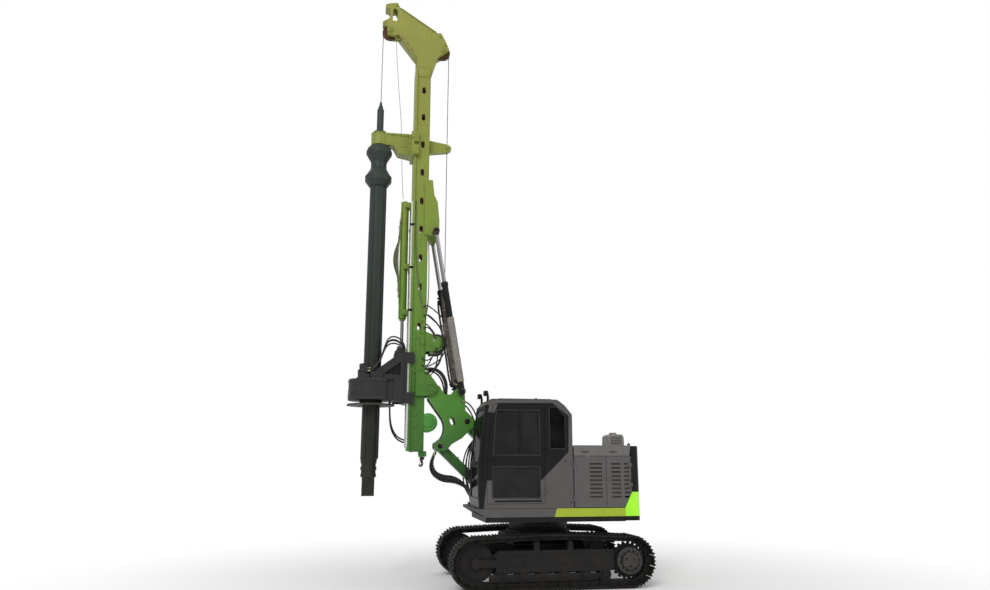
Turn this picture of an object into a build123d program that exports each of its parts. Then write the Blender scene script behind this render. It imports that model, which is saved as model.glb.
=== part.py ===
from build123d import *
import math
import os

# Rotary piling rig: an excavator-type tracked carrier with a parallel-link boom, a box mast with a
# goose-neck head, a crowd cylinder, a rotary drive and a telescopic kelly bar.
# Millimetres. -Y is the front, +X the left (cab) side, +Z up.
# Origin: on the ground, under the slew axis. Points written as pairs are (y, z).

os.makedirs("parts", exist_ok=True)

# ------------------------------------------------------------------ named clearances
running_gap = 6.0        # between pieces that move past each other
seat_gap = 0.3           # between curved faces that rest on each other
panel_gap = 6.0          # around doors and lids
slide_gap = 0.5          # between a sliding shoe and its flat track

# ------------------------------------------------------------------ undercarriage
track_length = 3150.0
track_height = 770.0
track_outer_x = 1175.0
shoe_width = 450.0
shoe_count = 44
shoe_plate = 10.0
grouser_height = 22.0
link_height = 75.0
link_width = 140.0
top_run_rise = 40.0
carrier_y = 260.0
roller_count = 6
roller_radius = 85.0
carrier_radius = 50.0
beam_top_rise = 165.0        # above the wheel centres
beam_bottom_drop = 85.0      # below the wheel centres
beam_width = 210.0
centre_top_rise = 30.0       # above the tracks
centre_radius = 520.0
tow_hole_radius = 26.0
ring_outer_radius = 480.0
ring_inner_radius = 380.0
ring_height = 160.0
wheel_z = track_height / 2
wheel_y = track_length / 2 - track_height / 2
beam_top_z = wheel_z + beam_top_rise
beam_bottom_z = wheel_z - beam_bottom_drop
centre_top_z = track_height + centre_top_rise

# ------------------------------------------------------------------ upperstructure
house_width = 2300.0
skirt_thickness = 12.0
deck_depth = 220.0
deck_front_y = -1210.0
right_front_y = -830.0
tank_near_x = 320.0
deck_rear_y = 1125.0
cab_height = 1630.0
cab_wall = 50.0
cab_rear_y = 300.0
glass_thickness = 6.0
glass_inset = 12.0
door_thickness = 40.0
hood_front_y = 312.0
hood_rear_y = 1240.0
hood_height = 940.0
lid_height = 160.0
hood_panel = 30.0
hood_split_y = 833.0
tail_side_y = 1340.0
tail_centre_y = 1600.0
tail_lip_height = 227.0      # where the counterweight meets the rear doors, above the deck
step_height = 150.0
tool_box_height = 320.0
fuel_tank_height = 680.0
deck_bottom_z = centre_top_z + ring_height
deck_top_z = deck_bottom_z + deck_depth
cab_roof_z = deck_top_z + cab_height
hood_top_z = deck_top_z + hood_height
hood_seam_z = hood_top_z - lid_height

# ------------------------------------------------------------------ parallel-link boom
pin_radius = 30.0
link_foot = (-800.0, deck_top_z + 120)
link_head = (link_foot[0] - 860, link_foot[1] + 820)
boom_head = (link_head[0] + 440, link_head[1] + 400)
boom_foot = (link_foot[0] + boom_head[0] - link_head[0], link_foot[1] + boom_head[1] - link_head[1])
link_half_width = 112.0
link_depth = 150.0
boom_depth = 200.0
luff_foot = (-1020.0, link_foot[1])
luff_pin_share = 0.62
luff_offset = 83.0          # from the links' sides to the luffing cylinders' centres
luff_x = link_half_width + luff_offset
cab_offset = 67.0            # from the luffing cylinders' centres to the cab's inner wall
cab_inner_x = luff_x + cab_offset
luff_barrel_radius = 44.0
luff_rod_radius = 25.0

# ------------------------------------------------------------------ mast
mast_pivot = (boom_head[0] - 610, boom_head[1] + 530)
mast_length = 6760.0
mast_depth = 270.0
mast_bottom_z = mast_pivot[1] - 1010
mast_top_z = mast_bottom_z + mast_length
mast_rear_y = mast_pivot[0] - 100
mast_front_y = mast_rear_y - mast_depth
mast_foot_drop = 90.0
hole_drops = (410, 930, 1450, 1970, 2500, 3010, 3520, 4030, 4710)  # below the mast's top
mast_flange = 40.0
mast_flange_half = 210.0
mast_half_width = 180.0
mast_wall = 14.0
rail_thickness = 25.0
rail_width = 55.0
rail_length = 4180.0
cheek_gap = 8.0             # between the links' sides and the neck frame's cheeks
cheek_thickness = 75.0
cheek_inner_x = link_half_width + cheek_gap
cheek_outer_x = cheek_inner_x + cheek_thickness
cylinder_base = (mast_pivot[0] + 500, mast_pivot[1] - 50)
cylinder_top = (mast_pivot[0] + 30, mast_pivot[1] + 2670)
cylinder_eye_half = 52.0
mast_cylinder_offset = 135.0
mast_cylinder_x = cheek_outer_x + mast_cylinder_offset
mast_barrel_radius = 58.0
mast_rod_radius = 35.0
front_sheave_centre = (mast_front_y - 480, mast_top_z + 760)
rear_sheave_centre = (mast_rear_y + 225, mast_top_z + 450)
sheave_radius = 135.0
rope_radius_at_sheave = 120.0
rope_arm_z = mast_top_z - 1435
winch_centre = (mast_rear_y + 190, mast_bottom_z + 1760)
aux_winch_centre = (mast_rear_y + 70, mast_bottom_z + 460)
aux_winch_radius = 150.0

# ------------------------------------------------------------------ crowd, drive and kelly
kelly_y = front_sheave_centre[0] - rope_radius_at_sheave
crowd_y = mast_front_y - 120
crowd_barrel_radius = 68.0
crowd_rod_radius = 28.0
crowd_barrel_length = 2070.0
crowd_barrel_bottom_z = mast_bottom_z + 2200
crowd_barrel_top_z = crowd_barrel_bottom_z + crowd_barrel_length
drive_height = 340.0
drive_bottom_z = mast_bottom_z + 810
drive_top_z = drive_bottom_z + drive_height
drive_radius = 370.0
motor_offset = 51.0          # from the sleeve's wall to the motors' centres
disc_radius = 390.0
inner_bar_radius = 60.0
rope_bore = 20.0
kelly_radius = 137.0
kelly_bore = 90.0
kelly_neck_radius = inner_bar_radius + 24
key_height = 15.0
key_width = 30.0
drive_bar_gap = 5.0          # between the sleeve's drive bars and the kelly's tube
key_gap = 8.0                # between the kelly's keys and the sleeve's bore
sleeve_wall = 24.0
sleeve_inner_radius = kelly_radius + key_height + key_gap
sleeve_outer_radius = sleeve_inner_radius + sleeve_wall
kelly_bottom_z = drive_bottom_z - 950
foot_ring_height = 54.0
foot_ring_radii = (130, 118, 130, 118, 126)
stub_side = 200.0
stub_bottom_z = kelly_bottom_z - 565
stub_hole_radius = 32.0
guide_height = 430.0
guide_bottom_z = mast_bottom_z + 5090
guide_top_z = guide_bottom_z + guide_height
guide_ring_z = guide_bottom_z + 200


def at(datum, *offsets):
    """Points given as (y, z) offsets from a datum point."""
    return [(datum[0] + y, datum[1] + z) for y, z in offsets]


def prism(points, x_from, x_to, mode=Mode.ADD):
    """A plate with a side outline of (y, z) points, from one x to another."""
    with BuildSketch(Plane.YZ.offset(x_from)) as profile:
        with BuildLine():
            Polyline(*points, close=True)
        make_face()
    extrude(profile.sketch, amount=x_to - x_from, mode=mode)


def pair(points, x_near, x_far, mode=Mode.ADD):
    """The same plate on the left and on the right of the middle plane."""
    prism(points, x_near, x_far, mode)
    prism(points, -x_far, -x_near, mode)


def cross_bar(centre, radius, x_from, x_to, mode=Mode.ADD):
    """A round bar, boss or hole along X at a (y, z) centre."""
    with BuildSketch(Plane.YZ.offset(x_from)) as profile:
        with Locations(centre):
            Circle(radius)
    extrude(profile.sketch, amount=x_to - x_from, mode=mode)


def cross_pair(centre, radius, x_near, x_far, mode=Mode.ADD):
    """The same bar, boss or hole on both sides of the middle plane."""
    cross_bar(centre, radius, x_near, x_far, mode)
    cross_bar(centre, radius, -x_far, -x_near, mode)


def block(x_span, y_span, z_span, mode=Mode.ADD):
    """A box between two x, two y and two z values."""
    middle = [(span[0] + span[1]) / 2 for span in (x_span, y_span, z_span)]
    size = [abs(span[1] - span[0]) for span in (x_span, y_span, z_span)]
    with Locations(tuple(middle)):
        Box(*size, mode=mode)


def block_pair(x_span, y_span, z_span, mode=Mode.ADD):
    """The same box on both sides of the middle plane."""
    block(x_span, y_span, z_span, mode)
    block((-x_span[1], -x_span[0]), y_span, z_span, mode)


def upright(y, x, radius, z_from, z_to, mode=Mode.ADD):
    """A round post or hole along Z."""
    with BuildSketch(Plane.XY.offset(z_from)) as profile:
        with Locations((x, y)):
            Circle(radius)
    extrude(profile.sketch, amount=z_to - z_from, mode=mode)


def between(start, end):
    """Length and unit direction from one (y, z) point to another."""
    dy, dz = end[0] - start[0], end[1] - start[1]
    length = math.hypot(dy, dz)
    return length, (dy / length, dz / length)


def along(start, end, distance):
    """The (y, z) point at a distance from start, towards end."""
    unit = between(start, end)[1]
    return (start[0] + unit[0] * distance, start[1] + unit[1] * distance)


def tube_along(start, end, x, radius, d_from, d_to, mode=Mode.ADD):
    """A round bar on the line from start to end, between two distances from start."""
    unit = between(start, end)[1]
    near = along(start, end, d_from)
    base = Plane(origin=(x, near[0], near[1]), x_dir=(1, 0, 0), z_dir=(0, unit[0], unit[1]))
    with BuildSketch(base) as profile:
        Circle(radius)
    extrude(profile.sketch, amount=d_to - d_from, mode=mode)


def beam_outline(start, end, depth):
    """The four corners of a straight beam between two (y, z) points."""
    unit = between(start, end)[1]
    side = (-unit[1] * depth / 2, unit[0] * depth / 2)
    return [
        (start[0] + side[0], start[1] + side[1]),
        (end[0] + side[0], end[1] + side[1]),
        (end[0] - side[0], end[1] - side[1]),
        (start[0] - side[0], start[1] - side[1]),
    ]


def write(builder, name):
    """Label a finished piece and write its STEP file."""
    builder.part.label = name
    export_step(builder.part, f"parts/{name}.step")


# ================================================================== undercarriage
shoe_seat_radius = wheel_z - shoe_plate - grouser_height
track_x = track_outer_x - shoe_width / 2


def track_loop(radius):
    """The closed side line of a track at a radius from its end wheels, with a raised top run."""
    reach = wheel_y - carrier_y
    lifted = radius + top_run_rise
    slope = math.acos(radius / math.hypot(lifted, reach)) - math.atan2(reach, lifted)
    turn = math.degrees(slope)
    bottom = Line((-wheel_y, wheel_z - radius), (wheel_y, wheel_z - radius))
    rear = CenterArc((wheel_y, wheel_z), radius, -90, 180 - turn)
    top = Line((carrier_y, wheel_z + lifted), (-carrier_y, wheel_z + lifted))
    front = CenterArc((-wheel_y, wheel_z), radius, 90 + turn, 180 - turn)
    rear_run = Line(rear @ 1, top @ 0)
    front_run = Line(top @ 1, front @ 0)
    return Wire([*bottom.edges(), *rear.edges(), *rear_run.edges(), *top.edges(),
                 *front_run.edges(), *front.edges()])


# The tracks: one closed loop each, of links with a triple-grouser shoe on every link.
for side_name, side in (("left", 1), ("right", -1)):
    shoe_line = track_loop(shoe_seat_radius)
    link_line = track_loop(shoe_seat_radius - link_height)
    shoe_pitch = shoe_line.length / shoe_count
    half_shoe = shoe_pitch * 0.48
    tooth = shoe_pitch / 14
    top_of_tooth = shoe_plate + grouser_height
    shoe_profile = [(-half_shoe, -2), (half_shoe, -2), (half_shoe, shoe_plate)]
    for tooth_at in (0.36, 0.0, -0.36):
        middle = tooth_at * shoe_pitch
        shoe_profile += [(middle + tooth, shoe_plate), (middle + tooth / 2, top_of_tooth),
                         (middle - tooth / 2, top_of_tooth), (middle - tooth, shoe_plate)]
    shoe_profile += [(-half_shoe, shoe_plate)]
    with BuildPart() as track:
        with BuildSketch(Plane.YZ.offset(side * track_x - link_width / 2)):
            make_face(shoe_line.edges())
            make_face(link_line.edges(), mode=Mode.SUBTRACT)
        extrude(amount=link_width)
        with BuildSketch(Plane.YZ.offset(side * track_x - shoe_width / 2)):
            for number in range(shoe_count):
                share = (number + 0.5) / shoe_count
                place = shoe_line.position_at(share)
                heading = shoe_line.tangent_at(share)
                angle = math.degrees(math.atan2(heading.Y, heading.X)) + 180
                with Locations(Location((place.X, place.Y, 0), (0, 0, angle))):
                    Polygon(*shoe_profile, align=None)
        extrude(amount=shoe_width)
    write(track, f"{side_name}_track")

link_inner_radius = shoe_seat_radius - link_height
roller_z = wheel_z - link_inner_radius + roller_radius + seat_gap
roller_step = 1.62 * wheel_y / roller_count
roller_ys = [(number - (roller_count - 1) / 2) * roller_step for number in range(roller_count)]
carrier_z = wheel_z + link_inner_radius + top_run_rise - carrier_radius - seat_gap
behind_idler = -wheel_y + link_inner_radius + 20
fork_rear_y = -wheel_y + 480
beam_rear_y = wheel_y - link_inner_radius - 80
beam_near_x = track_x - beam_width / 2
beam_far_x = track_x + beam_width / 2
guard = 15.0
shaft_radius = 25.0
hub_radius = 90.0

# The track frames: a box beam with an idler fork in front, roller brackets below, carrier
# brackets on top and the final drive's mounting ring behind.
for side_name, side in (("left", 1), ("right", -1)):
    with BuildPart() as track_frame:
        fork = [(-wheel_y - 60, wheel_z - 55), (fork_rear_y, wheel_z - 55),
                (fork_rear_y, wheel_z + 55), (-wheel_y - 60, wheel_z + 55)]
        prism([(behind_idler, beam_bottom_z), (beam_rear_y, beam_bottom_z),
               (beam_rear_y + 60, beam_bottom_z + 60), (beam_rear_y + 60, beam_top_z - 60),
               (beam_rear_y, beam_top_z), (behind_idler + 60, beam_top_z),
               (behind_idler, beam_top_z - 60)],
              *sorted((side * (beam_near_x + 45), side * (beam_far_x - 45))))
        for x_near, x_far in ((beam_near_x, beam_near_x + guard), (beam_far_x - guard, beam_far_x)):
            plate = sorted((side * x_near, side * x_far))
            prism([(behind_idler, beam_bottom_z - 50), (beam_rear_y + 110, beam_bottom_z - 50),
                   (beam_rear_y + 110, beam_top_z + 10), (behind_idler + 60, beam_top_z + 10),
                   (behind_idler, beam_top_z - 50)], *plate)
            prism(fork, *plate)
            for roller_y in roller_ys:
                prism([(roller_y - 55, beam_bottom_z), (roller_y - 40, roller_z - 45),
                       (roller_y + 40, roller_z - 45), (roller_y + 55, beam_bottom_z)], *plate)
            for bracket_y in (-carrier_y, carrier_y):
                prism([(bracket_y - 45, beam_top_z), (bracket_y + 45, beam_top_z),
                       (bracket_y + 35, carrier_z + 35), (bracket_y - 35, carrier_z + 35)], *plate)
        beam_span = sorted((side * beam_near_x, side * beam_far_x))
        block(beam_span, (behind_idler + 40, behind_idler + 100), (beam_bottom_z, beam_top_z - 60))
        block(beam_span, (beam_rear_y - 60, beam_rear_y), (beam_bottom_z, beam_top_z))
        ring_span = sorted((side * (beam_near_x - 30), side * (beam_near_x + guard)))
        cross_bar((wheel_y, wheel_z), 190, *ring_span)
        prism([(beam_rear_y - 60, wheel_z - 100), (wheel_y, wheel_z - 150),
               (wheel_y, wheel_z + 150), (beam_rear_y - 60, wheel_z + 130)], *ring_span)
        cross_bar((wheel_y, wheel_z), hub_radius + seat_gap, *ring_span, mode=Mode.SUBTRACT)
    write(track_frame, f"{side_name}_track_frame")

# Front idlers: plain rimmed wheels on a short axle in each fork.
with BuildPart() as front_idlers:
    for side in (1, -1):
        cross_bar((-wheel_y, wheel_z), link_inner_radius - seat_gap,
                  side * track_x - 45, side * track_x + 45)
        cross_bar((-wheel_y, wheel_z), 70, side * track_x - beam_width / 2 + guard,
                  side * track_x + beam_width / 2 - guard)
write(front_idlers, "front_idlers")

# Drive sprockets: toothed rims with the final drive's hub inside and its round cover outside.
tooth_count = 21
with BuildPart() as drive_sprockets:
    for side in (1, -1):
        centre_x = side * track_x
        cross_bar((wheel_y, wheel_z), link_inner_radius - 30, centre_x - 30, centre_x + 30)
        with BuildSketch(Plane.YZ.offset(centre_x - 30)) as teeth:
            with Locations((wheel_y, wheel_z)):
                with PolarLocations(link_inner_radius - 22, tooth_count):
                    RectangleRounded(42, 34, 8)
        extrude(teeth.sketch, amount=60)
        cross_bar((wheel_y, wheel_z), 165, *sorted((centre_x + side * 30, centre_x + side * 120)))
        cross_bar((wheel_y, wheel_z), 130, *sorted((centre_x + side * 120, centre_x + side * 160)))
        inner_end = beam_near_x - 60 - track_x
        cross_bar((wheel_y, wheel_z), hub_radius,
                  *sorted((centre_x - side * 30, centre_x + side * inner_end)))
write(drive_sprockets, "drive_sprockets")

# Track rollers below the beam and carrier rollers on top, each with two flanges and a shaft.
with BuildPart() as track_rollers:
    stations = [(y, roller_z, roller_radius) for y in roller_ys]
    stations += [(y, carrier_z, carrier_radius) for y in (-carrier_y, carrier_y)]
    for side in (1, -1):
        for y, z, radius in stations:
            centre_x = side * track_x
            cross_bar((y, z), radius, centre_x - 70, centre_x + 70)
            if radius == roller_radius:
                cross_bar((y, z), radius + 12, centre_x - 86, centre_x - 71)
                cross_bar((y, z), radius + 12, centre_x + 71, centre_x + 86)
            half_shaft = beam_width / 2 - guard
            cross_bar((y, z), shaft_radius, centre_x - half_shaft, centre_x + half_shaft)
write(track_rollers, "track_rollers")

# The centre frame: a round slew pedestal on two bent cross members that reach the track beams.
leg_y = 430.0
leg_half = 130.0
leg_foot_z = beam_bottom_z + 30
leg_top_z = centre_top_z - 60
tow_z = centre_top_z - 180
with BuildPart() as centre_frame:
    upright(0, 0, centre_radius, centre_top_z - 280, centre_top_z)
    for leg_centre_y in (-leg_y, leg_y):
        with BuildSketch(Plane.XZ.offset(-leg_centre_y - leg_half)):
            with BuildLine():
                Polyline((-beam_near_x, leg_foot_z), (-beam_near_x, beam_top_z),
                         (-centre_radius, leg_top_z), (centre_radius, leg_top_z),
                         (beam_near_x, beam_top_z), (beam_near_x, leg_foot_z),
                         (centre_radius + 120, leg_foot_z), (centre_radius - 90, leg_top_z - 200),
                         (90 - centre_radius, leg_top_z - 200), (-centre_radius - 120, leg_foot_z),
                         close=True)
            make_face()
        extrude(amount=2 * leg_half)
    upright(0, 0, ring_inner_radius - 60, leg_foot_z, centre_top_z, mode=Mode.SUBTRACT)
    for end in (-1, 1):
        lug_span = sorted((end * (leg_y + leg_half + 40), end * (leg_y + leg_half + 160)))
        tow_z_span = (tow_z - 60, tow_z + 60)
        block((-60, 60), sorted((end * (leg_y + leg_half), end * (leg_y + leg_half + 80))), tow_z_span)
        block_pair((35, 60), lug_span, tow_z_span)
        cross_bar((end * (leg_y + leg_half + 110), tow_z), tow_hole_radius, -60, 60,
                  mode=Mode.SUBTRACT)
write(centre_frame, "centre_frame")

# The slew ring, bolted on the pedestal; the deck turns just above it.
with BuildPart() as slew_ring:
    upright(0, 0, ring_outer_radius, centre_top_z, deck_bottom_z - seat_gap)
    upright(0, 0, ring_inner_radius, centre_top_z, deck_bottom_z - seat_gap, mode=Mode.SUBTRACT)
write(slew_ring, "slew_ring")

# ================================================================== upperstructure
half_house = house_width / 2
deck_half = half_house - skirt_thickness

# The deck: the turning platform with the ears that carry the boom, the link and the cylinders.
ear_near_x = link_half_width + running_gap
ear_thickness = 28.0
luff_eye_half = 38.0
luff_eye_near_x = luff_x - luff_eye_half
luff_eye_far_x = luff_x + luff_eye_half
with BuildPart() as deck:
    deck_side = [(deck_front_y, deck_top_z), (deck_front_y, deck_top_z - 40),
                 (deck_front_y + 150, deck_bottom_z + 90), (deck_front_y + 150, deck_bottom_z + 15),
                 (deck_rear_y, deck_bottom_z + 15), (deck_rear_y, deck_top_z)]
    prism(deck_side, -deck_half, deck_half)
    upright(0, 0, ring_outer_radius + 20, deck_bottom_z, deck_bottom_z + 20)
    pair([(boom_foot[0] - 300, deck_top_z), (boom_foot[0] + 240, deck_top_z),
          (boom_foot[0] + 100, boom_foot[1] + 60), (boom_foot[0] + 50, boom_foot[1] + 100),
          (boom_foot[0] - 50, boom_foot[1] + 100), (boom_foot[0] - 100, boom_foot[1] + 60)],
         ear_near_x, ear_near_x + ear_thickness)
    pair([(luff_foot[0] - 90, deck_top_z), (link_foot[0] + 190, deck_top_z),
          (link_foot[0] + 90, link_foot[1] + 60), (link_foot[0] - 50, link_foot[1] + 90),
          (luff_foot[0] + 50, luff_foot[1] + 75), (luff_foot[0] - 60, luff_foot[1] + 60)],
         ear_near_x, ear_near_x + ear_thickness)
    pair([(luff_foot[0] - 90, deck_top_z), (luff_foot[0] + 90, deck_top_z),
          (luff_foot[0] + 55, luff_foot[1] + 55), (luff_foot[0] - 55, luff_foot[1] + 55)],
         luff_eye_far_x + running_gap, luff_eye_far_x + running_gap + 18)
    block((-half_house - 5, -tank_near_x), (deck_front_y - 5, right_front_y),
          (deck_bottom_z - 5, deck_top_z + 5), mode=Mode.SUBTRACT)
    cross_bar(boom_foot, pin_radius, -ear_near_x - 10, ear_near_x + 10)
    cross_bar(link_foot, pin_radius, -ear_near_x - 10, ear_near_x + 10)
    cross_pair(luff_foot, pin_radius, ear_near_x, luff_eye_far_x + running_gap + 18)
write(deck, "deck")

# Side skirts: the painted strips along both deck edges.
with BuildPart() as side_skirts:
    pair([(deck_front_y, deck_top_z - 5), (deck_front_y, deck_top_z - 40),
          (deck_front_y + 150, deck_bottom_z + 90), (deck_rear_y, deck_bottom_z + 90),
          (deck_rear_y, deck_top_z - 5)], deck_half, half_house)
    block((-half_house - 5, -deck_half + 5), (deck_front_y - 5, right_front_y),
          (deck_bottom_z, deck_top_z + 5), mode=Mode.SUBTRACT)
write(side_skirts, "side_skirts")

# Hinges: a door's knuckles at each height, with the body's knuckle just above.
hinge_x = half_house + 12
knuckle_radius = 10.0
knuckle_half = 28.0
cab_hinge_y = -140.0
cab_hinge_zs = (deck_top_z + 220, deck_top_z + 870, cab_roof_z - 210)
front_hinge_y = hood_front_y - 2
front_hinge_zs = (deck_top_z + 120, hood_seam_z - 180)
rear_hinge_zs = (deck_top_z + 340, hood_seam_z - 140)
lid_hinge = (hood_front_y + 4, hood_top_z + 13)
lid_hinge_xs = (-640, 640)


def knuckle_pair(y, z_from, z_to):
    """Hinge knuckles of the same height on both sides of the house."""
    upright(y, hinge_x, knuckle_radius, z_from, z_to)
    upright(y, -hinge_x, knuckle_radius, z_from, z_to)


# The cab shell: floor, pillars, walls and roof around a hollow, with every window cut.
cab_front_y = -1180.0
sill_z = deck_top_z + 670            # where the windscreen starts to lean back
brow = (cab_front_y + 105, cab_roof_z - 90)
door_bottom_z = deck_top_z + 70
door_rear_y = cab_hinge_y - 10
cab_side = [(cab_front_y + 15, deck_top_z), (cab_front_y, deck_top_z + 150), (cab_front_y, sill_z),
            brow, (cab_front_y + 180, cab_roof_z), (80, cab_roof_z), (185, cab_roof_z - 80),
            (cab_rear_y, cab_roof_z - 220), (cab_rear_y, deck_top_z)]
door_side = [(cab_front_y + 140, door_bottom_z), (cab_front_y + 140, sill_z + 30),
             (cab_front_y + 225, cab_roof_z - 110), (cab_front_y + 265, cab_roof_z - 70),
             (door_rear_y, cab_roof_z - 70), (door_rear_y, door_bottom_z)]
quarter_side = [(-70, sill_z + 210), (-70, cab_roof_z - 100), (60, cab_roof_z - 100),
                (195, cab_roof_z - 250), (195, sill_z + 210)]
# Window spans, each used by a cut and by its pane.
front_pane_x = (cab_inner_x + 70, half_house - 70)
screen_z = (sill_z + 30, cab_roof_z - 150)
toe_pane_z = (deck_top_z + 140, sill_z - 50)
right_panes = [((-1020, -420), (sill_z + 50, cab_roof_z - 170)),
               ((-360, 160), (sill_z + 50, cab_roof_z - 250))]
rear_pane_x = (cab_inner_x + 90, half_house - 90)
rear_pane_z = (sill_z + 300, cab_roof_z - 310)
with BuildPart() as cab_shell:
    prism(cab_side, cab_inner_x, half_house)
    with BuildSketch(Plane.YZ.offset(cab_inner_x + cab_wall)) as cab_room:
        with BuildLine():
            Polyline(*cab_side, close=True)
        make_face()
        offset(amount=-cab_wall, kind=Kind.INTERSECTION)
    extrude(cab_room.sketch, amount=half_house - cab_inner_x - 2 * cab_wall, mode=Mode.SUBTRACT)
    with BuildSketch(Plane.YZ.offset(half_house - cab_wall - 5)) as door_way:
        with BuildLine():
            Polyline(*door_side, close=True)
        make_face()
        offset(amount=panel_gap, kind=Kind.INTERSECTION)
    extrude(door_way.sketch, amount=cab_wall + 10, mode=Mode.SUBTRACT)
    prism(quarter_side, half_house - cab_wall - 5, half_house + 5, mode=Mode.SUBTRACT)
    block(front_pane_x, (cab_front_y - 20, cab_front_y + 160), screen_z, mode=Mode.SUBTRACT)
    block(front_pane_x, (cab_front_y - 20, cab_front_y + 70), toe_pane_z, mode=Mode.SUBTRACT)
    for pane_y, pane_z in right_panes:
        block((cab_inner_x - 5, cab_inner_x + cab_wall + 5), pane_y, pane_z, mode=Mode.SUBTRACT)
    block(rear_pane_x, (cab_rear_y - cab_wall - 5, cab_rear_y + 5), rear_pane_z, mode=Mode.SUBTRACT)
    for hinge_z in cab_hinge_zs:
        block((half_house - 5, hinge_x + 3), (cab_hinge_y - 3, cab_hinge_y + 45),
              (hinge_z + knuckle_half + seat_gap, hinge_z + 3 * knuckle_half))
        upright(cab_hinge_y, hinge_x + 3, knuckle_radius, hinge_z + knuckle_half + seat_gap,
                hinge_z + 3 * knuckle_half)
write(cab_shell, "cab_shell")

# Fixed cab panes: windscreen, lower front pane, right side, rear and left quarter windows.
screen_lean = (brow[0] - cab_front_y) / (brow[1] - sill_z)
screen_edge = [(cab_front_y + (z - sill_z) * screen_lean + glass_inset, z) for z in screen_z]
with BuildPart() as cab_glass:
    prism([screen_edge[0], (screen_edge[0][0] + glass_thickness, screen_z[0]),
           (screen_edge[1][0] + glass_thickness, screen_z[1]), screen_edge[1]], *front_pane_x)
    block(front_pane_x, (cab_front_y + 15, cab_front_y + 15 + glass_thickness), toe_pane_z)
    for pane_y, pane_z in right_panes:
        block((cab_inner_x + glass_inset, cab_inner_x + glass_inset + glass_thickness),
              pane_y, pane_z)
    block(rear_pane_x, (cab_rear_y - glass_inset - glass_thickness, cab_rear_y - glass_inset),
          rear_pane_z)
    prism(quarter_side, half_house - glass_inset - glass_thickness, half_house - glass_inset)
write(cab_glass, "cab_glass")

# The cab door, hinged at its rear edge: a full-thickness frame with two window cuts.
upper_pane = [(cab_front_y + 220, sill_z + 110), (cab_front_y + 275, cab_roof_z - 155),
              (door_rear_y - 65, cab_roof_z - 155), (door_rear_y - 65, sill_z + 110)]
lower_pane = [(cab_front_y + 220, door_bottom_z + 80), (cab_front_y + 220, sill_z - 50),
              (door_rear_y - 65, sill_z - 50), (door_rear_y - 65, door_bottom_z + 80)]
with BuildPart() as cab_door:
    prism(door_side, half_house - door_thickness, half_house)
    prism(upper_pane, half_house - door_thickness - 5, half_house + 5, mode=Mode.SUBTRACT)
    prism(lower_pane, half_house - door_thickness - 5, half_house + 5, mode=Mode.SUBTRACT)
    block((half_house, half_house + 28), (cab_front_y + 175, cab_front_y + 195),
          (sill_z + 40, sill_z + 90))
    block((half_house + 14, half_house + 28), (cab_front_y + 175, cab_front_y + 280),
          (sill_z + 50, sill_z + 75))
    for hinge_z in cab_hinge_zs:
        block((half_house, hinge_x), (cab_hinge_y - 65, cab_hinge_y),
              (hinge_z - knuckle_half, hinge_z + knuckle_half))
        upright(cab_hinge_y, hinge_x + 3, knuckle_radius, hinge_z - knuckle_half,
                hinge_z + knuckle_half)
write(cab_door, "cab_door")

with BuildPart() as cab_door_glass:
    prism(upper_pane, half_house - 18 - glass_thickness, half_house - 18)
    prism(lower_pane, half_house - 18 - glass_thickness, half_house - 18)
write(cab_door_glass, "cab_door_glass")

# The operator's seat on its box.
seat_x = (cab_inner_x + half_house) / 2
seat_half = 240.0
floor_z = deck_top_z + cab_wall
with BuildPart() as operator_seat:
    block((seat_x - 200, seat_x + 200), (-420, 30), (floor_z, floor_z + 290))
    block((seat_x - seat_half, seat_x + seat_half), (-480, 20), (floor_z + 290, floor_z + 410))
    prism([(-40, floor_z + 400), (80, floor_z + 400), (170, floor_z + 1000), (70, floor_z + 1000)],
          seat_x - 235, seat_x + 235)
    prism([(80, floor_z + 990), (165, floor_z + 990), (185, floor_z + 1160), (110, floor_z + 1160)],
          seat_x - 130, seat_x + 130)
write(operator_seat, "operator_seat")

# Consoles left and right of the seat with a joystick each, a dash column and the travel pedals.
with BuildPart() as control_consoles:
    room_half = (half_house - cab_inner_x) / 2 - cab_wall
    console_half = (room_half - seat_half - 14) / 2
    console_reach = room_half - console_half - 5
    for console_x in (seat_x - console_reach, seat_x + console_reach):
        block((console_x - console_half, console_x + console_half), (-500, -20),
              (floor_z, floor_z + 560))
        with Locations((console_x, -430, floor_z + 660)):
            Cylinder(16, 210)
        with Locations((console_x, -430, floor_z + 770)):
            Sphere(32)
    block((seat_x - 120, seat_x + 120), (-1070, -930), (floor_z, floor_z + 120))
    for pedal_x in (seat_x - 80, seat_x + 80):
        prism([(-1080, floor_z + 110), (-880, floor_z + 110), (-980, floor_z + 330),
               (-1000, floor_z + 330)], pedal_x - 45, pedal_x + 45)
        with Locations((pedal_x, -990, floor_z + 480)):
            Cylinder(12, 320)
write(control_consoles, "control_consoles")

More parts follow.
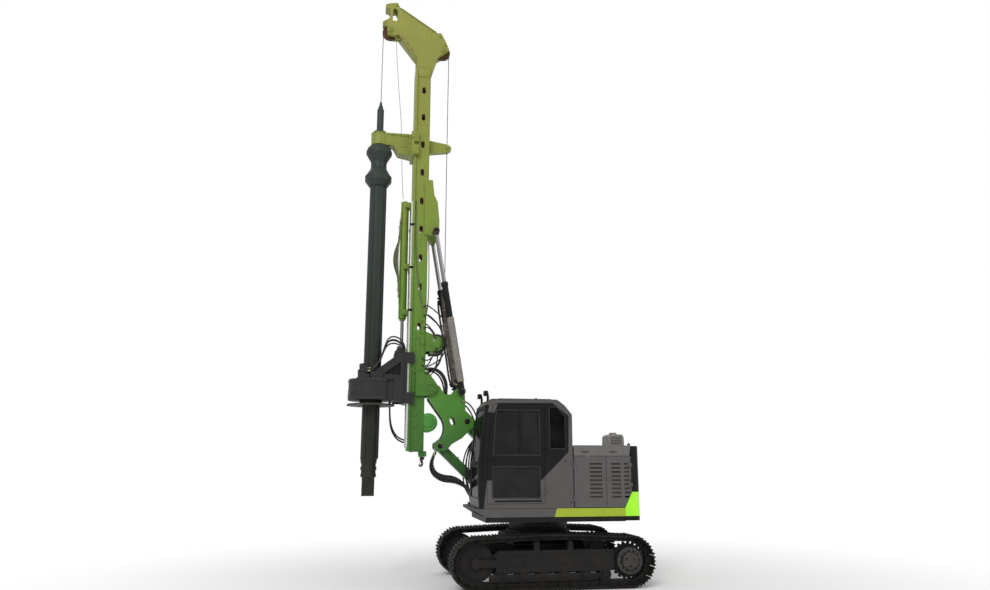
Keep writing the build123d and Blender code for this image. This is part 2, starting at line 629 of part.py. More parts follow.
# The house frame: bulkhead, corner posts and top rails around the engine bay.
post = 40.0
frame_half = half_house - hood_panel - 10
with BuildPart() as house_frame:
    block((-frame_half, frame_half), (hood_front_y, hood_front_y + 20), (deck_top_z, hood_seam_z - 8))
    block((-frame_half, frame_half), (deck_rear_y - 50, deck_rear_y - 10), (deck_top_z, deck_top_z + 60))
    for post_y in (hood_split_y, deck_rear_y - 30):
        block_pair((frame_half - post, frame_half), (post_y - post / 2, post_y + post / 2),
                   (deck_top_z, hood_seam_z - 8))
    block_pair((frame_half - post, frame_half), (hood_front_y, deck_rear_y - 10),
               (hood_seam_z - 48, hood_seam_z - 8))
    block((-frame_half, frame_half), (deck_rear_y - 50, deck_rear_y - 10),
          (hood_seam_z - 48, hood_seam_z - 8))
    for hinge_z in front_hinge_zs:
        knuckle_span = (hinge_z + knuckle_half + seat_gap, hinge_z + 3 * knuckle_half)
        block_pair((frame_half - 20, hinge_x), (hood_front_y - 8, hood_front_y + 1), knuckle_span)
        knuckle_pair(front_hinge_y, *knuckle_span)
    for bracket_x in lid_hinge_xs:
        bracket_span = (bracket_x + knuckle_half + seat_gap, bracket_x + 3 * knuckle_half)
        block(bracket_span, (hood_front_y - 8, hood_front_y + 1), (hood_seam_z - 108, lid_hinge[1]))
        cross_bar(lid_hinge, knuckle_radius, *bracket_span)
write(house_frame, "house_frame")

# The engine: one plain block on the deck.
with BuildPart() as engine_block:
    block((-620, 520), (520, 1050), (deck_top_z, hood_seam_z - 120))
write(engine_block, "engine_block")

# Hood doors: flat panels with a border gap; the left pair and the right rear door are louvred.
rear_door_side = [(hood_split_y + panel_gap / 2, deck_top_z + panel_gap),
                  (deck_rear_y - 7, deck_top_z + panel_gap),
                  (hood_rear_y - 5, deck_top_z + tail_lip_height + 8),
                  (hood_rear_y - 5, hood_seam_z - panel_gap),
                  (hood_split_y + panel_gap / 2, hood_seam_z - panel_gap)]
front_door_side = [(hood_front_y + panel_gap, deck_top_z + panel_gap),
                   (hood_split_y - panel_gap / 2, deck_top_z + panel_gap),
                   (hood_split_y - panel_gap / 2, hood_seam_z - panel_gap),
                   (hood_front_y + panel_gap, hood_seam_z - panel_gap)]
louvre_rows = 9
louvre_pitch = 62.0
louvre_top_z = hood_seam_z - 125
louvre_half = 14.0
front_columns = [(664, 203)]
rear_columns = [(990, 150), (1165, 90)]
hood_doors = [
    # name, side, outline, louvre columns as (y of centre, width), hinge y, leaf end y, hinge heights
    ("left_front_door", 1, front_door_side, front_columns, front_hinge_y, 370, front_hinge_zs),
    ("left_rear_door", 1, rear_door_side, rear_columns, hood_rear_y, 1180, rear_hinge_zs),
    ("right_front_door", -1, front_door_side, front_columns, front_hinge_y, 370, front_hinge_zs),
    ("right_rear_door", -1, rear_door_side, rear_columns, hood_rear_y, 1180, rear_hinge_zs),
]
for door_name, side, outline, columns, hinge_y, leaf_y, hinge_zs in hood_doors:
    with BuildPart() as hood_door:
        door_span = sorted((side * (half_house - hood_panel), side * half_house))
        prism(outline, *door_span)
        for column_y, column_width in columns:
            for row in range(louvre_rows):
                slot_z = louvre_top_z - row * louvre_pitch
                block((door_span[0] - 5, door_span[1] + 5),
                      (column_y - column_width / 2, column_y + column_width / 2),
                      (slot_z - louvre_half, slot_z + louvre_half), mode=Mode.SUBTRACT)
        for hinge_z in hinge_zs:
            knuckle_span = (hinge_z - knuckle_half, hinge_z + knuckle_half)
            block(sorted((side * half_house, side * hinge_x)), sorted((hinge_y, leaf_y)), knuckle_span)
            upright(hinge_y, side * hinge_x, knuckle_radius, *knuckle_span)
    write(hood_door, door_name)

# The hood lid: a shallow tray upside down over the engine bay, hinged along its front edge.
lid_wall = 20.0
lid_front_y = hood_front_y + panel_gap
with BuildPart() as hood_lid:
    prism([(lid_front_y, hood_seam_z), (lid_front_y, hood_top_z - 25), (lid_front_y + 25, hood_top_z),
           (hood_rear_y - panel_gap, hood_top_z), (hood_rear_y - panel_gap, hood_top_z - lid_wall),
           (hood_rear_y - 24, hood_seam_z)], -half_house, half_house)
    block((-half_house + lid_wall, half_house - lid_wall), (lid_front_y + lid_wall, hood_rear_y),
          (hood_seam_z - 5, hood_top_z - lid_wall), mode=Mode.SUBTRACT)
    for leaf_x in lid_hinge_xs:
        leaf_span = (leaf_x - knuckle_half, leaf_x + knuckle_half)
        block(leaf_span, (lid_hinge[0], lid_front_y + 70), (hood_top_z, lid_hinge[1]))
        cross_bar(lid_hinge, knuckle_radius, *leaf_span)
write(hood_lid, "hood_lid")

with BuildPart() as exhaust_housing:
    prism(at((hood_rear_y, hood_top_z), (-290, 0), (-280, 150), (-230, 180), (-50, 180), (-20, 140),
             (-15, 0)), 600, 900)
    with Locations((750, hood_rear_y - 150, hood_top_z + 190)):
        Cylinder(55, 40)
write(exhaust_housing, "exhaust_housing")

# The counterweight: a solid casting with a curved tail, its lower part reaching round the doors.
with BuildPart() as counterweight:
    for z_from, z_to, front_y in ((deck_bottom_z + 25, deck_top_z, deck_rear_y),
                                  (deck_top_z, hood_top_z - 8, hood_rear_y)):
        with BuildSketch(Plane.XY.offset(z_from)):
            with BuildLine():
                Line((-half_house, front_y), (half_house, front_y))
                Line((half_house, front_y), (half_house, tail_side_y))
                ThreePointArc((half_house, tail_side_y), (0, tail_centre_y), (-half_house, tail_side_y))
                Line((-half_house, tail_side_y), (-half_house, front_y))
            make_face()
        extrude(amount=z_to - z_from)
    pair([(deck_rear_y, deck_top_z), (hood_rear_y, deck_top_z),
          (hood_rear_y, deck_top_z + tail_lip_height)],
         half_house - hood_panel, half_house)
    for hinge_z in rear_hinge_zs:
        block_pair((half_house, hinge_x), (hood_rear_y + 3, hood_rear_y + 45),
                   (hinge_z + knuckle_half + seat_gap, hinge_z + 3 * knuckle_half))
        knuckle_pair(hood_rear_y, hinge_z + knuckle_half + seat_gap, hinge_z + 3 * knuckle_half)
    fillet(counterweight.edges().filter_by(Axis.Z).group_by(Axis.Y)[-1], 60)
write(counterweight, "counterweight")

# Right side: tool box with two steps, fuel tank and hydraulic tank.
step_z = deck_top_z + step_height
tool_box_top_z = deck_top_z + tool_box_height
fuel_tank_top_z = deck_top_z + fuel_tank_height
tool_box_rear_y = right_front_y + 330
rail_front_y = right_front_y + 35
rail_rear_y = tool_box_rear_y + 60
with BuildPart() as tool_box:
    prism([(right_front_y, deck_top_z), (right_front_y, step_z), (right_front_y + 150, step_z),
           (right_front_y + 150, tool_box_top_z), (tool_box_rear_y, tool_box_top_z),
           (tool_box_rear_y, deck_top_z)], -half_house, -tank_near_x)
write(tool_box, "tool_box")

with BuildPart() as fuel_tank:
    block((-half_house, -tank_near_x), (tool_box_rear_y + 10, -200), (deck_top_z, fuel_tank_top_z))
    fillet(fuel_tank.edges().filter_by(Axis.Z), 30)
    with Locations((-900, -330, fuel_tank_top_z + 15)):
        Cylinder(45, 30)
write(fuel_tank, "fuel_tank")

with BuildPart() as hydraulic_tank:
    block((-half_house, -tank_near_x), (-190, hood_front_y - 10), (deck_top_z, hood_top_z - 60))
    fillet(hydraulic_tank.edges().filter_by(Axis.Z), 30)
    with Locations((-700, 60, hood_top_z - 45)):
        Cylinder(60, 30)
write(hydraulic_tank, "hydraulic_tank")

# Handrails: a bent tube beside the steps and a low rail on the tank tops.
rail_tube = 17.0
with BuildPart() as handrails:
    for rail_x in (-half_house + 40, -tank_near_x - 40):
        route = [(rail_x, rail_front_y, step_z), (rail_x, rail_front_y, step_z + 720),
                 (rail_x, rail_rear_y, step_z + 920), (rail_x, rail_rear_y, fuel_tank_top_z)]
        with BuildLine() as rail_path:
            FilletPolyline(*route, radius=80)
        with BuildSketch(Plane(origin=route[0], z_dir=(0, 0, 1))):
            Circle(rail_tube)
        sweep(path=rail_path.wires()[0])
write(handrails, "handrails")

# Two work lamps on stalks at the roof's front edge.
with BuildPart() as work_lamps:
    for lamp_x in (cab_inner_x + 140, half_house - 140):
        block((lamp_x - 9, lamp_x + 9), (-1030, -1000), (cab_roof_z - 40, cab_roof_z + 110))
        block((lamp_x - 45, lamp_x + 45), (-1070, -1022), (cab_roof_z + 62, cab_roof_z + 140))
    prism(cab_side, cab_inner_x, half_house, mode=Mode.SUBTRACT)
write(work_lamps, "work_lamps")

# ================================================================== parallel-link boom
def pinned_beam(foot, head, depth, half_width, boss_radius):
    """A box beam between two pins, with a boss round each pin hole."""
    length = between(foot, head)[0]
    start = along(foot, head, boss_radius * 0.4)
    end = along(foot, head, length - boss_radius * 0.4)
    prism(beam_outline(start, end, depth), -half_width, half_width)
    for centre in (foot, head):
        cross_bar(centre, boss_radius, -half_width, half_width)
    for centre in (foot, head):
        cross_bar(centre, pin_radius + seat_gap, -half_width - 5, half_width + 5, mode=Mode.SUBTRACT)


luff_pin = (boom_foot[0] + luff_pin_share * (boom_head[0] - boom_foot[0]),
            boom_foot[1] + luff_pin_share * (boom_head[1] - boom_foot[1]))

with BuildPart() as boom:
    pinned_beam(boom_foot, boom_head, boom_depth, link_half_width, 95)
    cross_pair(luff_pin, 60, link_half_width, luff_eye_near_x - running_gap)
write(boom, "boom")

with BuildPart() as lower_link:
    pinned_beam(link_foot, link_head, link_depth, link_half_width - 12, 82)
write(lower_link, "lower_link")

# The neck frame between links and mast: two cheeks with a nose block at the mast pivot.
nose_radius = 92.0
with BuildPart() as neck_frame:
    with BuildSketch(Plane.YZ.offset(cheek_inner_x)) as cheek:
        outline = [*at(mast_pivot, (-50, 55), (130, 55)),
                   *at(cylinder_base, (-260, -40), (-150, -40), (-70, 60), (60, 60), (68, -40)),
                   *at(boom_head, (-30, 180), (115, 40), (110, -80), (-80, -270)),
                   *at(link_head, (190, 30), (100, -75), (-40, -85), (-95, -30), (-95, 45), (10, 120))]
        throat = at(mast_pivot, (180, -460), (-30, -170))
        with BuildLine():
            Polyline(*outline)
            ThreePointArc(outline[-1], *at(link_head, (70, 280)), throat[0])
            Polyline(*throat, outline[0])
        make_face()
        with Locations(Location((boom_head[0] - 240, boom_head[1], 0), (0, 0, 20))):
            SlotOverall(150, 90, rotation=90, mode=Mode.SUBTRACT)
    extrude(cheek.sketch, amount=cheek_outer_x - cheek_inner_x)
    with BuildSketch(Plane.YZ.offset(-cheek_outer_x)) as cheek_right:
        add(cheek.sketch_local)
    extrude(cheek_right.sketch, amount=cheek_outer_x - cheek_inner_x)
    cross_bar(mast_pivot, nose_radius, -cheek_outer_x, cheek_outer_x)
    prism(at(mast_pivot, (-50, -90), (-30, -150), (170, -150), (170, 40), (70, 55)),
          -cheek_inner_x, cheek_inner_x)
    block((-cheek_inner_x, cheek_inner_x), (mast_pivot[0] + 250, mast_pivot[0] + 290),
          (mast_pivot[1] - 490, mast_pivot[1] - 190))
    cross_bar(link_head, pin_radius, -cheek_inner_x, cheek_inner_x)
    cross_bar(boom_head, pin_radius, -cheek_inner_x, cheek_inner_x)
    cross_pair(cylinder_base, 62, cheek_outer_x, mast_cylinder_x - cylinder_eye_half - running_gap)
    cross_pair(cylinder_base, pin_radius, cheek_outer_x, mast_cylinder_x + cylinder_eye_half - 2)
    cross_bar(mast_pivot, pin_radius + seat_gap, -cheek_outer_x - 5, cheek_outer_x + 5,
              mode=Mode.SUBTRACT)
write(neck_frame, "neck_frame")


def cylinder_barrels(base, tip, x, eye_half, radius, bore, bore_start, length):
    """Two hydraulic barrels, each with an eye at its base and a bore open at the gland."""
    for barrel_x in (x, -x):
        tube_along(base, tip, barrel_x, radius, 0, length)
        tube_along(base, tip, barrel_x, radius + 8, length - 60, length)
        cross_bar(base, radius + 6, barrel_x - eye_half, barrel_x + eye_half)
        cross_bar(base, pin_radius + seat_gap, barrel_x - eye_half - 5, barrel_x + eye_half + 5,
                  mode=Mode.SUBTRACT)
        tube_along(base, tip, barrel_x, bore, bore_start, length + 5, mode=Mode.SUBTRACT)


def cylinder_rods(base, tip, x, eye_half, radius, length):
    """Two rods, each with an eye at its tip that holds its own pin."""
    distance = between(base, tip)[0]
    for rod_x in (x, -x):
        tube_along(base, tip, rod_x, radius, distance - length, distance)
        cross_bar(tip, radius + 24, rod_x - eye_half, rod_x + eye_half)


with BuildPart() as luff_barrels:
    cylinder_barrels(luff_foot, luff_pin, luff_x, luff_eye_half, luff_barrel_radius - 6,
                     luff_rod_radius + seat_gap, 95, 600)
write(luff_barrels, "luff_barrels")

with BuildPart() as luff_rods:
    cylinder_rods(luff_foot, luff_pin, luff_x, luff_eye_half, luff_rod_radius, 620)
write(luff_rods, "luff_rods")

with BuildPart() as mast_barrels:
    cylinder_barrels(cylinder_base, cylinder_top, mast_cylinder_x, cylinder_eye_half,
                     mast_barrel_radius - 6,
                     mast_rod_radius + seat_gap, 200, 1850)
write(mast_barrels, "mast_barrels")

with BuildPart() as mast_rods:
    cylinder_rods(cylinder_base, cylinder_top, mast_cylinder_x, cylinder_eye_half, mast_rod_radius,
                  1900)
write(mast_rods, "mast_rods")

# ================================================================== mast
box_front_y = mast_front_y + mast_flange
box_middle_y = (box_front_y + mast_rear_y) / 2
ear_outer_x = cheek_outer_x + running_gap + 36
hose_bulkhead_z = mast_bottom_z + 380
with BuildPart() as mast_column:
    block((-mast_half_width, mast_half_width), (box_front_y, mast_rear_y), (mast_bottom_z, mast_top_z))
    block((-mast_flange_half, mast_flange_half), (mast_front_y, box_front_y),
          (mast_bottom_z, mast_top_z))
    block((-mast_half_width + mast_wall, mast_half_width - mast_wall),
          (box_front_y + mast_wall, mast_rear_y - mast_wall),
          (mast_bottom_z + 40, mast_top_z - 40), mode=Mode.SUBTRACT)
    for hole_drop in hole_drops:
        with BuildSketch(Plane.YZ.offset(-mast_half_width - 5)) as hole:
            with Locations((box_middle_y, mast_top_z - hole_drop)):
                SlotOverall(130, 66, rotation=90)
        extrude(hole.sketch, amount=2 * mast_half_width + 10, mode=Mode.SUBTRACT)
    ear = at(mast_pivot, (-255, -120), (-70, -120), (60, -100), (105, -40), (105, 40), (60, 120),
             (-70, 280), (-255, 280))
    pair(ear, mast_half_width, ear_outer_x)
    pair(at(mast_pivot, (-95, -150), (130, -150), (130, 350), (-95, 350)),
         mast_half_width - mast_wall - running_gap,
         cheek_outer_x + running_gap, mode=Mode.SUBTRACT)
    cross_bar(mast_pivot, pin_radius, -ear_outer_x, ear_outer_x)
    eye_near_x = mast_cylinder_x - cylinder_eye_half
    bracket_root_y = mast_rear_y - 60
    top_bracket = [(bracket_root_y, cylinder_top[1] - 30),
                   *at(cylinder_top, (-100, -30), (30, -50), (65, 20), (65, 240), (30, 580),
                       (-30, 700), (-60, 970)),
                   (bracket_root_y, cylinder_top[1] + 970)]
    pair(top_bracket, mast_half_width - 40, mast_half_width + 20)
    cross_pair(cylinder_top, 62, mast_half_width + 20, eye_near_x - running_gap)
    block((-60, 60), (mast_rear_y - 70, mast_rear_y + 50), (mast_bottom_z - mast_foot_drop, mast_bottom_z))
    block((-290, -mast_half_width), (box_middle_y - 45, box_middle_y + 15),
          (hose_bulkhead_z, hose_bulkhead_z + 50))
write(mast_column, "mast_column")

# Polished guide rails on the mast's front flange.
with BuildPart() as guide_rails:
    block_pair((mast_flange_half - rail_width, mast_flange_half),
               (mast_front_y - rail_thickness, mast_front_y),
               (mast_bottom_z + 60, mast_bottom_z + 60 + rail_length))
write(guide_rails, "guide_rails")

# The goose-neck head: a plated box with open slots for the two rope sheaves.
head_half = 120.0
sheave_half = 30.0
slot_half = sheave_half + running_gap
with BuildPart() as mast_head:
    prism([(mast_rear_y + 30, mast_top_z),
           *at(rear_sheave_centre, (-165, -355), (-100, -140), (20, -60),
               (110, 25), (45, 180), (-40, 345), (-110, 335)),
           *at(front_sheave_centre, (175, 470), (125, 570), (75, 565), (-20, 545), (-92, 515),
               (-92, 465), (-22, 440), (10, 320), (-15, 245), (-137, 165), (-98, 115),
               (-50, 80), (-45, -78), (125, -90), (155, -70)),
           (mast_front_y + 10, mast_top_z + 255), (mast_front_y + 10, mast_top_z)],
          -head_half, head_half)
    block((-170, 170), (mast_front_y, mast_rear_y), (mast_top_z, mast_top_z + 25))
    for centre in (front_sheave_centre, rear_sheave_centre):
        cross_bar(centre, sheave_radius + 25, -slot_half, slot_half, mode=Mode.SUBTRACT)
    prism(at(front_sheave_centre, (-220, -200), (0, -200), (0, 150), (-220, 150)),
          -slot_half, slot_half, mode=Mode.SUBTRACT)
    prism(at(rear_sheave_centre, (0, -250), (205, -250), (205, 170), (0, 170)),
          -slot_half, slot_half, mode=Mode.SUBTRACT)
    prism(at(front_sheave_centre, (42, 200), (125, 200), (130, 400), (90, 455), (42, 430)),
          -head_half - 5, head_half + 5, mode=Mode.SUBTRACT)
    for centre in (front_sheave_centre, rear_sheave_centre):
        cross_bar(centre, pin_radius, -head_half - 12, head_half + 12)
write(mast_head, "mast_head")

for sheave_name, centre in (("front_sheave", front_sheave_centre), ("rear_sheave", rear_sheave_centre)):
    with BuildPart() as sheave:
        with BuildSketch(Plane.YZ.offset(-sheave_half)) as rim:
            with Locations(centre):
                Circle(sheave_radius)
                Circle(pin_radius + seat_gap, mode=Mode.SUBTRACT)
        extrude(rim.sketch, amount=2 * sheave_half)
        with BuildSketch(Plane.YZ.offset(-11)) as groove:
            with Locations(centre):
                Circle(sheave_radius + 5)
                Circle(rope_radius_at_sheave - 9, mode=Mode.SUBTRACT)
        extrude(groove.sketch, amount=22, mode=Mode.SUBTRACT)
    write(sheave, sheave_name)

# Rear rope guide: an arm off the mast's rear wall with an eye round the main rope.
main_rope_y = rear_sheave_centre[0] + rope_radius_at_sheave - 15
with BuildPart() as rope_guide_arm:
    prism([(mast_rear_y, rope_arm_z - 125), (mast_rear_y, rope_arm_z + 125),
           (main_rope_y, rope_arm_z + 75), (main_rope_y + 70, rope_arm_z + 35),
           (main_rope_y + 70, rope_arm_z - 35), (main_rope_y, rope_arm_z - 75)], -50, 50)
    upright(main_rope_y, 0, 22, rope_arm_z - 165, rope_arm_z + 135, mode=Mode.SUBTRACT)
write(rope_guide_arm, "rope_guide_arm")

# Main winch: side plates bolted to the mast's rear wall, with the rope drum between them.
winch_half = 185.0
with BuildPart() as winch_frame:
    pair([(mast_rear_y, winch_centre[1] - 130), (mast_rear_y, winch_centre[1] + 200),
          (winch_centre[0] - 60, winch_centre[1] + 150), (winch_centre[0] + 70, winch_centre[1] + 70),
          (winch_centre[0] + 70, winch_centre[1] - 70), (winch_centre[0] - 60, winch_centre[1] - 130)],
         winch_half + running_gap, winch_half + running_gap + 18)
    block((-winch_half - running_gap, winch_half + running_gap), (mast_rear_y, mast_rear_y + 12),
          (winch_centre[1] - 130, winch_centre[1] + 200))
    cross_bar(winch_centre, pin_radius, -winch_half - running_gap, winch_half + running_gap)
write(winch_frame, "winch_frame")

with BuildPart() as winch_drum:
    cross_bar(winch_centre, 125, -winch_half, winch_half)
    for flange_x in (-winch_half, winch_half - 16):
        cross_bar(winch_centre, 165, flange_x, flange_x + 16)
    cross_bar(winch_centre, pin_radius + seat_gap, -winch_half - 5, winch_half + 5, mode=Mode.SUBTRACT)
write(winch_drum, "winch_drum")

# Auxiliary winch: a closed round casing low on the mast's rear wall.
with BuildPart() as aux_winch:
    cross_bar(aux_winch_centre, aux_winch_radius, -160, 160)
    block((-110, 110), (mast_rear_y, aux_winch_centre[0]),
          (aux_winch_centre[1] - 80, aux_winch_centre[1] + 80))
    block((-200, 200), (mast_rear_y - 160, mast_rear_y),
          (aux_winch_centre[1] - 300, aux_winch_centre[1] + 400), mode=Mode.SUBTRACT)
write(aux_winch, "aux_winch")

# The auxiliary hook, parked below the mast's foot.
with BuildPart() as parked_hook:
    hook_top = (mast_rear_y, mast_bottom_z - mast_foot_drop)
    block((-22, 22), (hook_top[0] - 45, hook_top[0] + 5), (hook_top[1] - 50, hook_top[1]))
    prism(at(hook_top, (-45, -50), (5, -50), (15, -120), (-5, -160), (-45, -160), (-65, -135),
             (-55, -115), (-35, -130), (-15, -115)), -16, 16)
write(parked_hook, "parked_hook")

# ================================================================== crowd
crowd_foot_z = drive_top_z + 510
crowd_rod_length = 1500.0
hose_port_z = drive_bottom_z
with BuildPart() as crowd_barrel:
    upright(crowd_y, 0, crowd_barrel_radius, crowd_barrel_bottom_z, crowd_barrel_top_z)
    for clamp_z in (crowd_barrel_top_z - 110, crowd_barrel_bottom_z + 860,
                    crowd_barrel_bottom_z + 60):
        block((-85, 85), (crowd_y, mast_front_y), (clamp_z, clamp_z + 90))
    upright(crowd_y, 0, crowd_rod_radius + seat_gap, crowd_barrel_bottom_z - 5,
            crowd_barrel_top_z - 80, mode=Mode.SUBTRACT)
write(crowd_barrel, "crowd_barrel")

with BuildPart() as crowd_rod:
    upright(crowd_y, 0, crowd_rod_radius, crowd_foot_z, crowd_foot_z + crowd_rod_length)
    block((-45, 45), (crowd_y - 45, crowd_y + 45), (crowd_foot_z - 60, crowd_foot_z + 40))
write(crowd_rod, "crowd_rod")


def carriage(front_y, z_from, z_to, depth):
    """A slide plate in front of the mast with claws hooked behind the mast's flange."""
    block((-mast_flange_half - running_gap - 40, mast_flange_half + running_gap + 40),
          (front_y - depth, front_y), (z_from, z_to))
    for claw_z in (z_from, z_to - 180):
        block_pair((mast_flange_half + running_gap, mast_flange_half + running_gap + 40),
                   (front_y, box_front_y + running_gap + 40), (claw_z, claw_z + 180))
        block_pair((mast_half_width + running_gap, mast_flange_half + running_gap),
                   (box_front_y + running_gap, box_front_y + running_gap + 40),
                   (claw_z, claw_z + 180))


# Drive carriage: the sliding back plate with two triangular webs that carry the gearbox.
plate_y = mast_front_y - rail_thickness - slide_gap
plate_depth = 60.0
plate_bottom_z = drive_bottom_z - 50
plate_top_z = drive_top_z + 450
web_inner_x = 250.0
web_outer_x = 280.0
web_y = kelly_y + 360
with BuildPart() as drive_carriage:
    carriage(plate_y, plate_bottom_z, plate_top_z, plate_depth)
    pair([(plate_y - plate_depth, plate_bottom_z + 20), (plate_y - plate_depth, plate_top_z - 20),
          (plate_y - plate_depth - 70, plate_top_z - 20), (kelly_y + 60, drive_top_z + 140),
          (kelly_y + 60, drive_top_z), (web_y, drive_top_z), (web_y, plate_bottom_z + 20)],
         web_inner_x, web_outer_x)
    pair([(plate_y - 110, drive_top_z + 60), (plate_y - 110, drive_top_z + 290),
          (kelly_y + 180, drive_top_z + 80)], web_inner_x - 10, web_outer_x + 10,
         mode=Mode.SUBTRACT)
    block((-40, 40), (crowd_y - 40, plate_y - 50), (plate_top_z - 80, crowd_foot_z - 60))
    block((-web_outer_x - 70, -web_outer_x), (web_y - 65, web_y + 40), (hose_port_z, hose_port_z + 60))
write(drive_carriage, "drive_carriage")

# Rotary drive: the gearbox round the kelly with two hydraulic motors on top.
with BuildPart() as rotary_drive:
    upright(kelly_y, 0, drive_radius, drive_bottom_z, drive_top_z)
    block((-web_inner_x, web_inner_x), (kelly_y, plate_y - plate_depth), (drive_bottom_z, drive_top_z))
    upright(kelly_y, 0, sleeve_outer_radius + running_gap, drive_bottom_z - 5, drive_top_z + 5,
            mode=Mode.SUBTRACT)
    motor_far_x = sleeve_outer_radius + motor_offset
    for motor_x in (-motor_far_x, motor_far_x):
        upright(kelly_y - 150, motor_x, 75, drive_top_z, drive_top_z + 130)
        upright(kelly_y - 150, motor_x, 55, drive_top_z + 130, drive_top_z + 230)
    block((-200, 200), (plate_y - 220, plate_y - plate_depth), (drive_top_z, drive_top_z + 140))
write(rotary_drive, "rotary_drive")

# Drive sleeve: the turning tube in the gearbox, its inner drive bars and the spoil disc below.
key_count = 3
first_key_angle = 90.0
bar_lag = 18.0               # the drive bars trail the keys by this angle
bar_reach = sleeve_inner_radius + 4 - (kelly_radius + drive_bar_gap)
with BuildPart() as drive_sleeve:
    upright(kelly_y, 0, sleeve_outer_radius, drive_bottom_z - 35, drive_top_z + 60)
    upright(kelly_y, 0, sleeve_outer_radius + 12, drive_top_z + seat_gap, drive_top_z + 60)
    upright(kelly_y, 0, disc_radius, drive_bottom_z - 83, drive_bottom_z - 69)
    with Locations((0, kelly_y, drive_bottom_z - 52)):
        Cone(sleeve_outer_radius + 70, sleeve_outer_radius + 6, 34)
    upright(kelly_y, 0, sleeve_inner_radius, drive_bottom_z - 100, drive_top_z + 65,
            mode=Mode.SUBTRACT)
    with BuildSketch(Plane.XY.offset(drive_bottom_z - 35)) as bars:
        with Locations((0, kelly_y)):
            with PolarLocations(kelly_radius + drive_bar_gap + bar_reach / 2, key_count,
                                start_angle=first_key_angle + bar_lag):
                Rectangle(bar_reach, key_width - 2)
    extrude(bars.sketch, amount=drive_top_z - drive_bottom_z)
write(drive_sleeve, "drive_sleeve")

# ================================================================== kelly
with BuildPart() as kelly_outer:
    with BuildSketch(Plane.XZ.offset(-kelly_y)) as kelly_profile:
        flange_radius = kelly_neck_radius + 28
        collar_z = guide_ring_z - 8
        rod_hole = inner_bar_radius + running_gap
        with BuildLine():
            Polyline((rod_hole, guide_top_z + 40), (flange_radius, guide_top_z + 40),
                     (flange_radius, guide_top_z + seat_gap),
                     (kelly_neck_radius, guide_top_z + seat_gap), (kelly_neck_radius, collar_z),
                     (kelly_radius + 13, collar_z), (kelly_radius + 63, collar_z - 47),
                     (kelly_radius + 88, collar_z - 102), (kelly_radius + 88, collar_z - 147),
                     (kelly_radius, collar_z - 302), (kelly_radius, collar_z - 422),
                     (kelly_radius + 93, collar_z - 577), (kelly_radius + 93, collar_z - 657),
                     (kelly_radius + 23, collar_z - 752), (kelly_radius, collar_z - 752),
                     (kelly_radius, kelly_bottom_z), (kelly_bore, kelly_bottom_z),
                     (kelly_bore, collar_z - 242), (rod_hole, collar_z - 212), close=True)
        make_face()
    revolve(kelly_profile.sketch, axis=Axis((0, kelly_y, 0), (0, 0, 1)))
    with BuildSketch(Plane.XY.offset(kelly_bottom_z + 20)) as keys:
        with Locations((0, kelly_y)):
            with PolarLocations(kelly_radius + key_height / 2 - 2.5, key_count,
                                start_angle=first_key_angle):
                Rectangle(key_height + 5, key_width)
    extrude(keys.sketch, amount=collar_z - 762 - kelly_bottom_z)
write(kelly_outer, "kelly_outer")

bar_top_z = guide_top_z + 470
ring_top_z = kelly_bottom_z - seat_gap
with BuildPart() as kelly_inner:
    upright(kelly_y, 0, inner_bar_radius, stub_bottom_z + 200, bar_top_z)
    upright(kelly_y, 0, inner_bar_radius - 20, bar_top_z, bar_top_z + 60)
    for ring_number, ring_radius in enumerate(foot_ring_radii):
        ring_z = ring_top_z - foot_ring_height * ring_number
        upright(kelly_y, 0, ring_radius, ring_z - foot_ring_height, ring_z)
    block((-stub_side / 2, stub_side / 2), (kelly_y - stub_side / 2, kelly_y + stub_side / 2),
          (stub_bottom_z, ring_top_z - foot_ring_height * len(foot_ring_radii)))
    upright(kelly_y, 0, rope_bore, ring_top_z - 200, bar_top_z + 70, mode=Mode.SUBTRACT)
    cross_bar((kelly_y, stub_bottom_z + 90), stub_hole_radius, -stub_side / 2 - 5,
              stub_side / 2 + 5, mode=Mode.SUBTRACT)
write(kelly_inner, "kelly_inner")

# Kelly guide: a ring round the kelly's neck on an arm that slides on the mast.
with BuildPart() as kelly_guide:
    guide_y = mast_front_y - slide_gap
    carriage(guide_y, guide_bottom_z, guide_top_z, 50)
    upright(kelly_y, 0, kelly_neck_radius + 62, guide_ring_z, guide_top_z)
    prism([(kelly_y, guide_top_z), (guide_y - 40, guide_top_z), (guide_y - 40, guide_bottom_z + 10),
           (kelly_y + 320, guide_bottom_z + 60), (kelly_y + 240, guide_ring_z),
           (kelly_y, guide_ring_z)], -110, 110)
    upright(kelly_y, 0, kelly_neck_radius + running_gap, guide_ring_z - 10, guide_top_z + 10,
            mode=Mode.SUBTRACT)
write(kelly_guide, "kelly_guide")


# ================================================================== hoses
def hose(route, radius):
    """A hose along straight runs joined by arcs as large as its runs allow."""
    points = [Vector(*point) for point in route]
    radii = []
    for before, here, after in zip(points, points[1:], points[2:]):
        turn = math.radians((here - before).get_angle(after - here))
        shorter = min((here - before).length, (after - here).length)
        radii.append(0.45 * shorter / math.tan(turn / 2))
    print("hose radii", [round(value) for value in radii])
    with BuildLine() as path:
        FilletPolyline(*route, radius=radii)
    start = points[1] - points[0]
    with BuildSketch(Plane(origin=route[0], z_dir=tuple(start))) as section:
        Circle(radius)
    sweep(section.sketch, path=path.wires()[0])


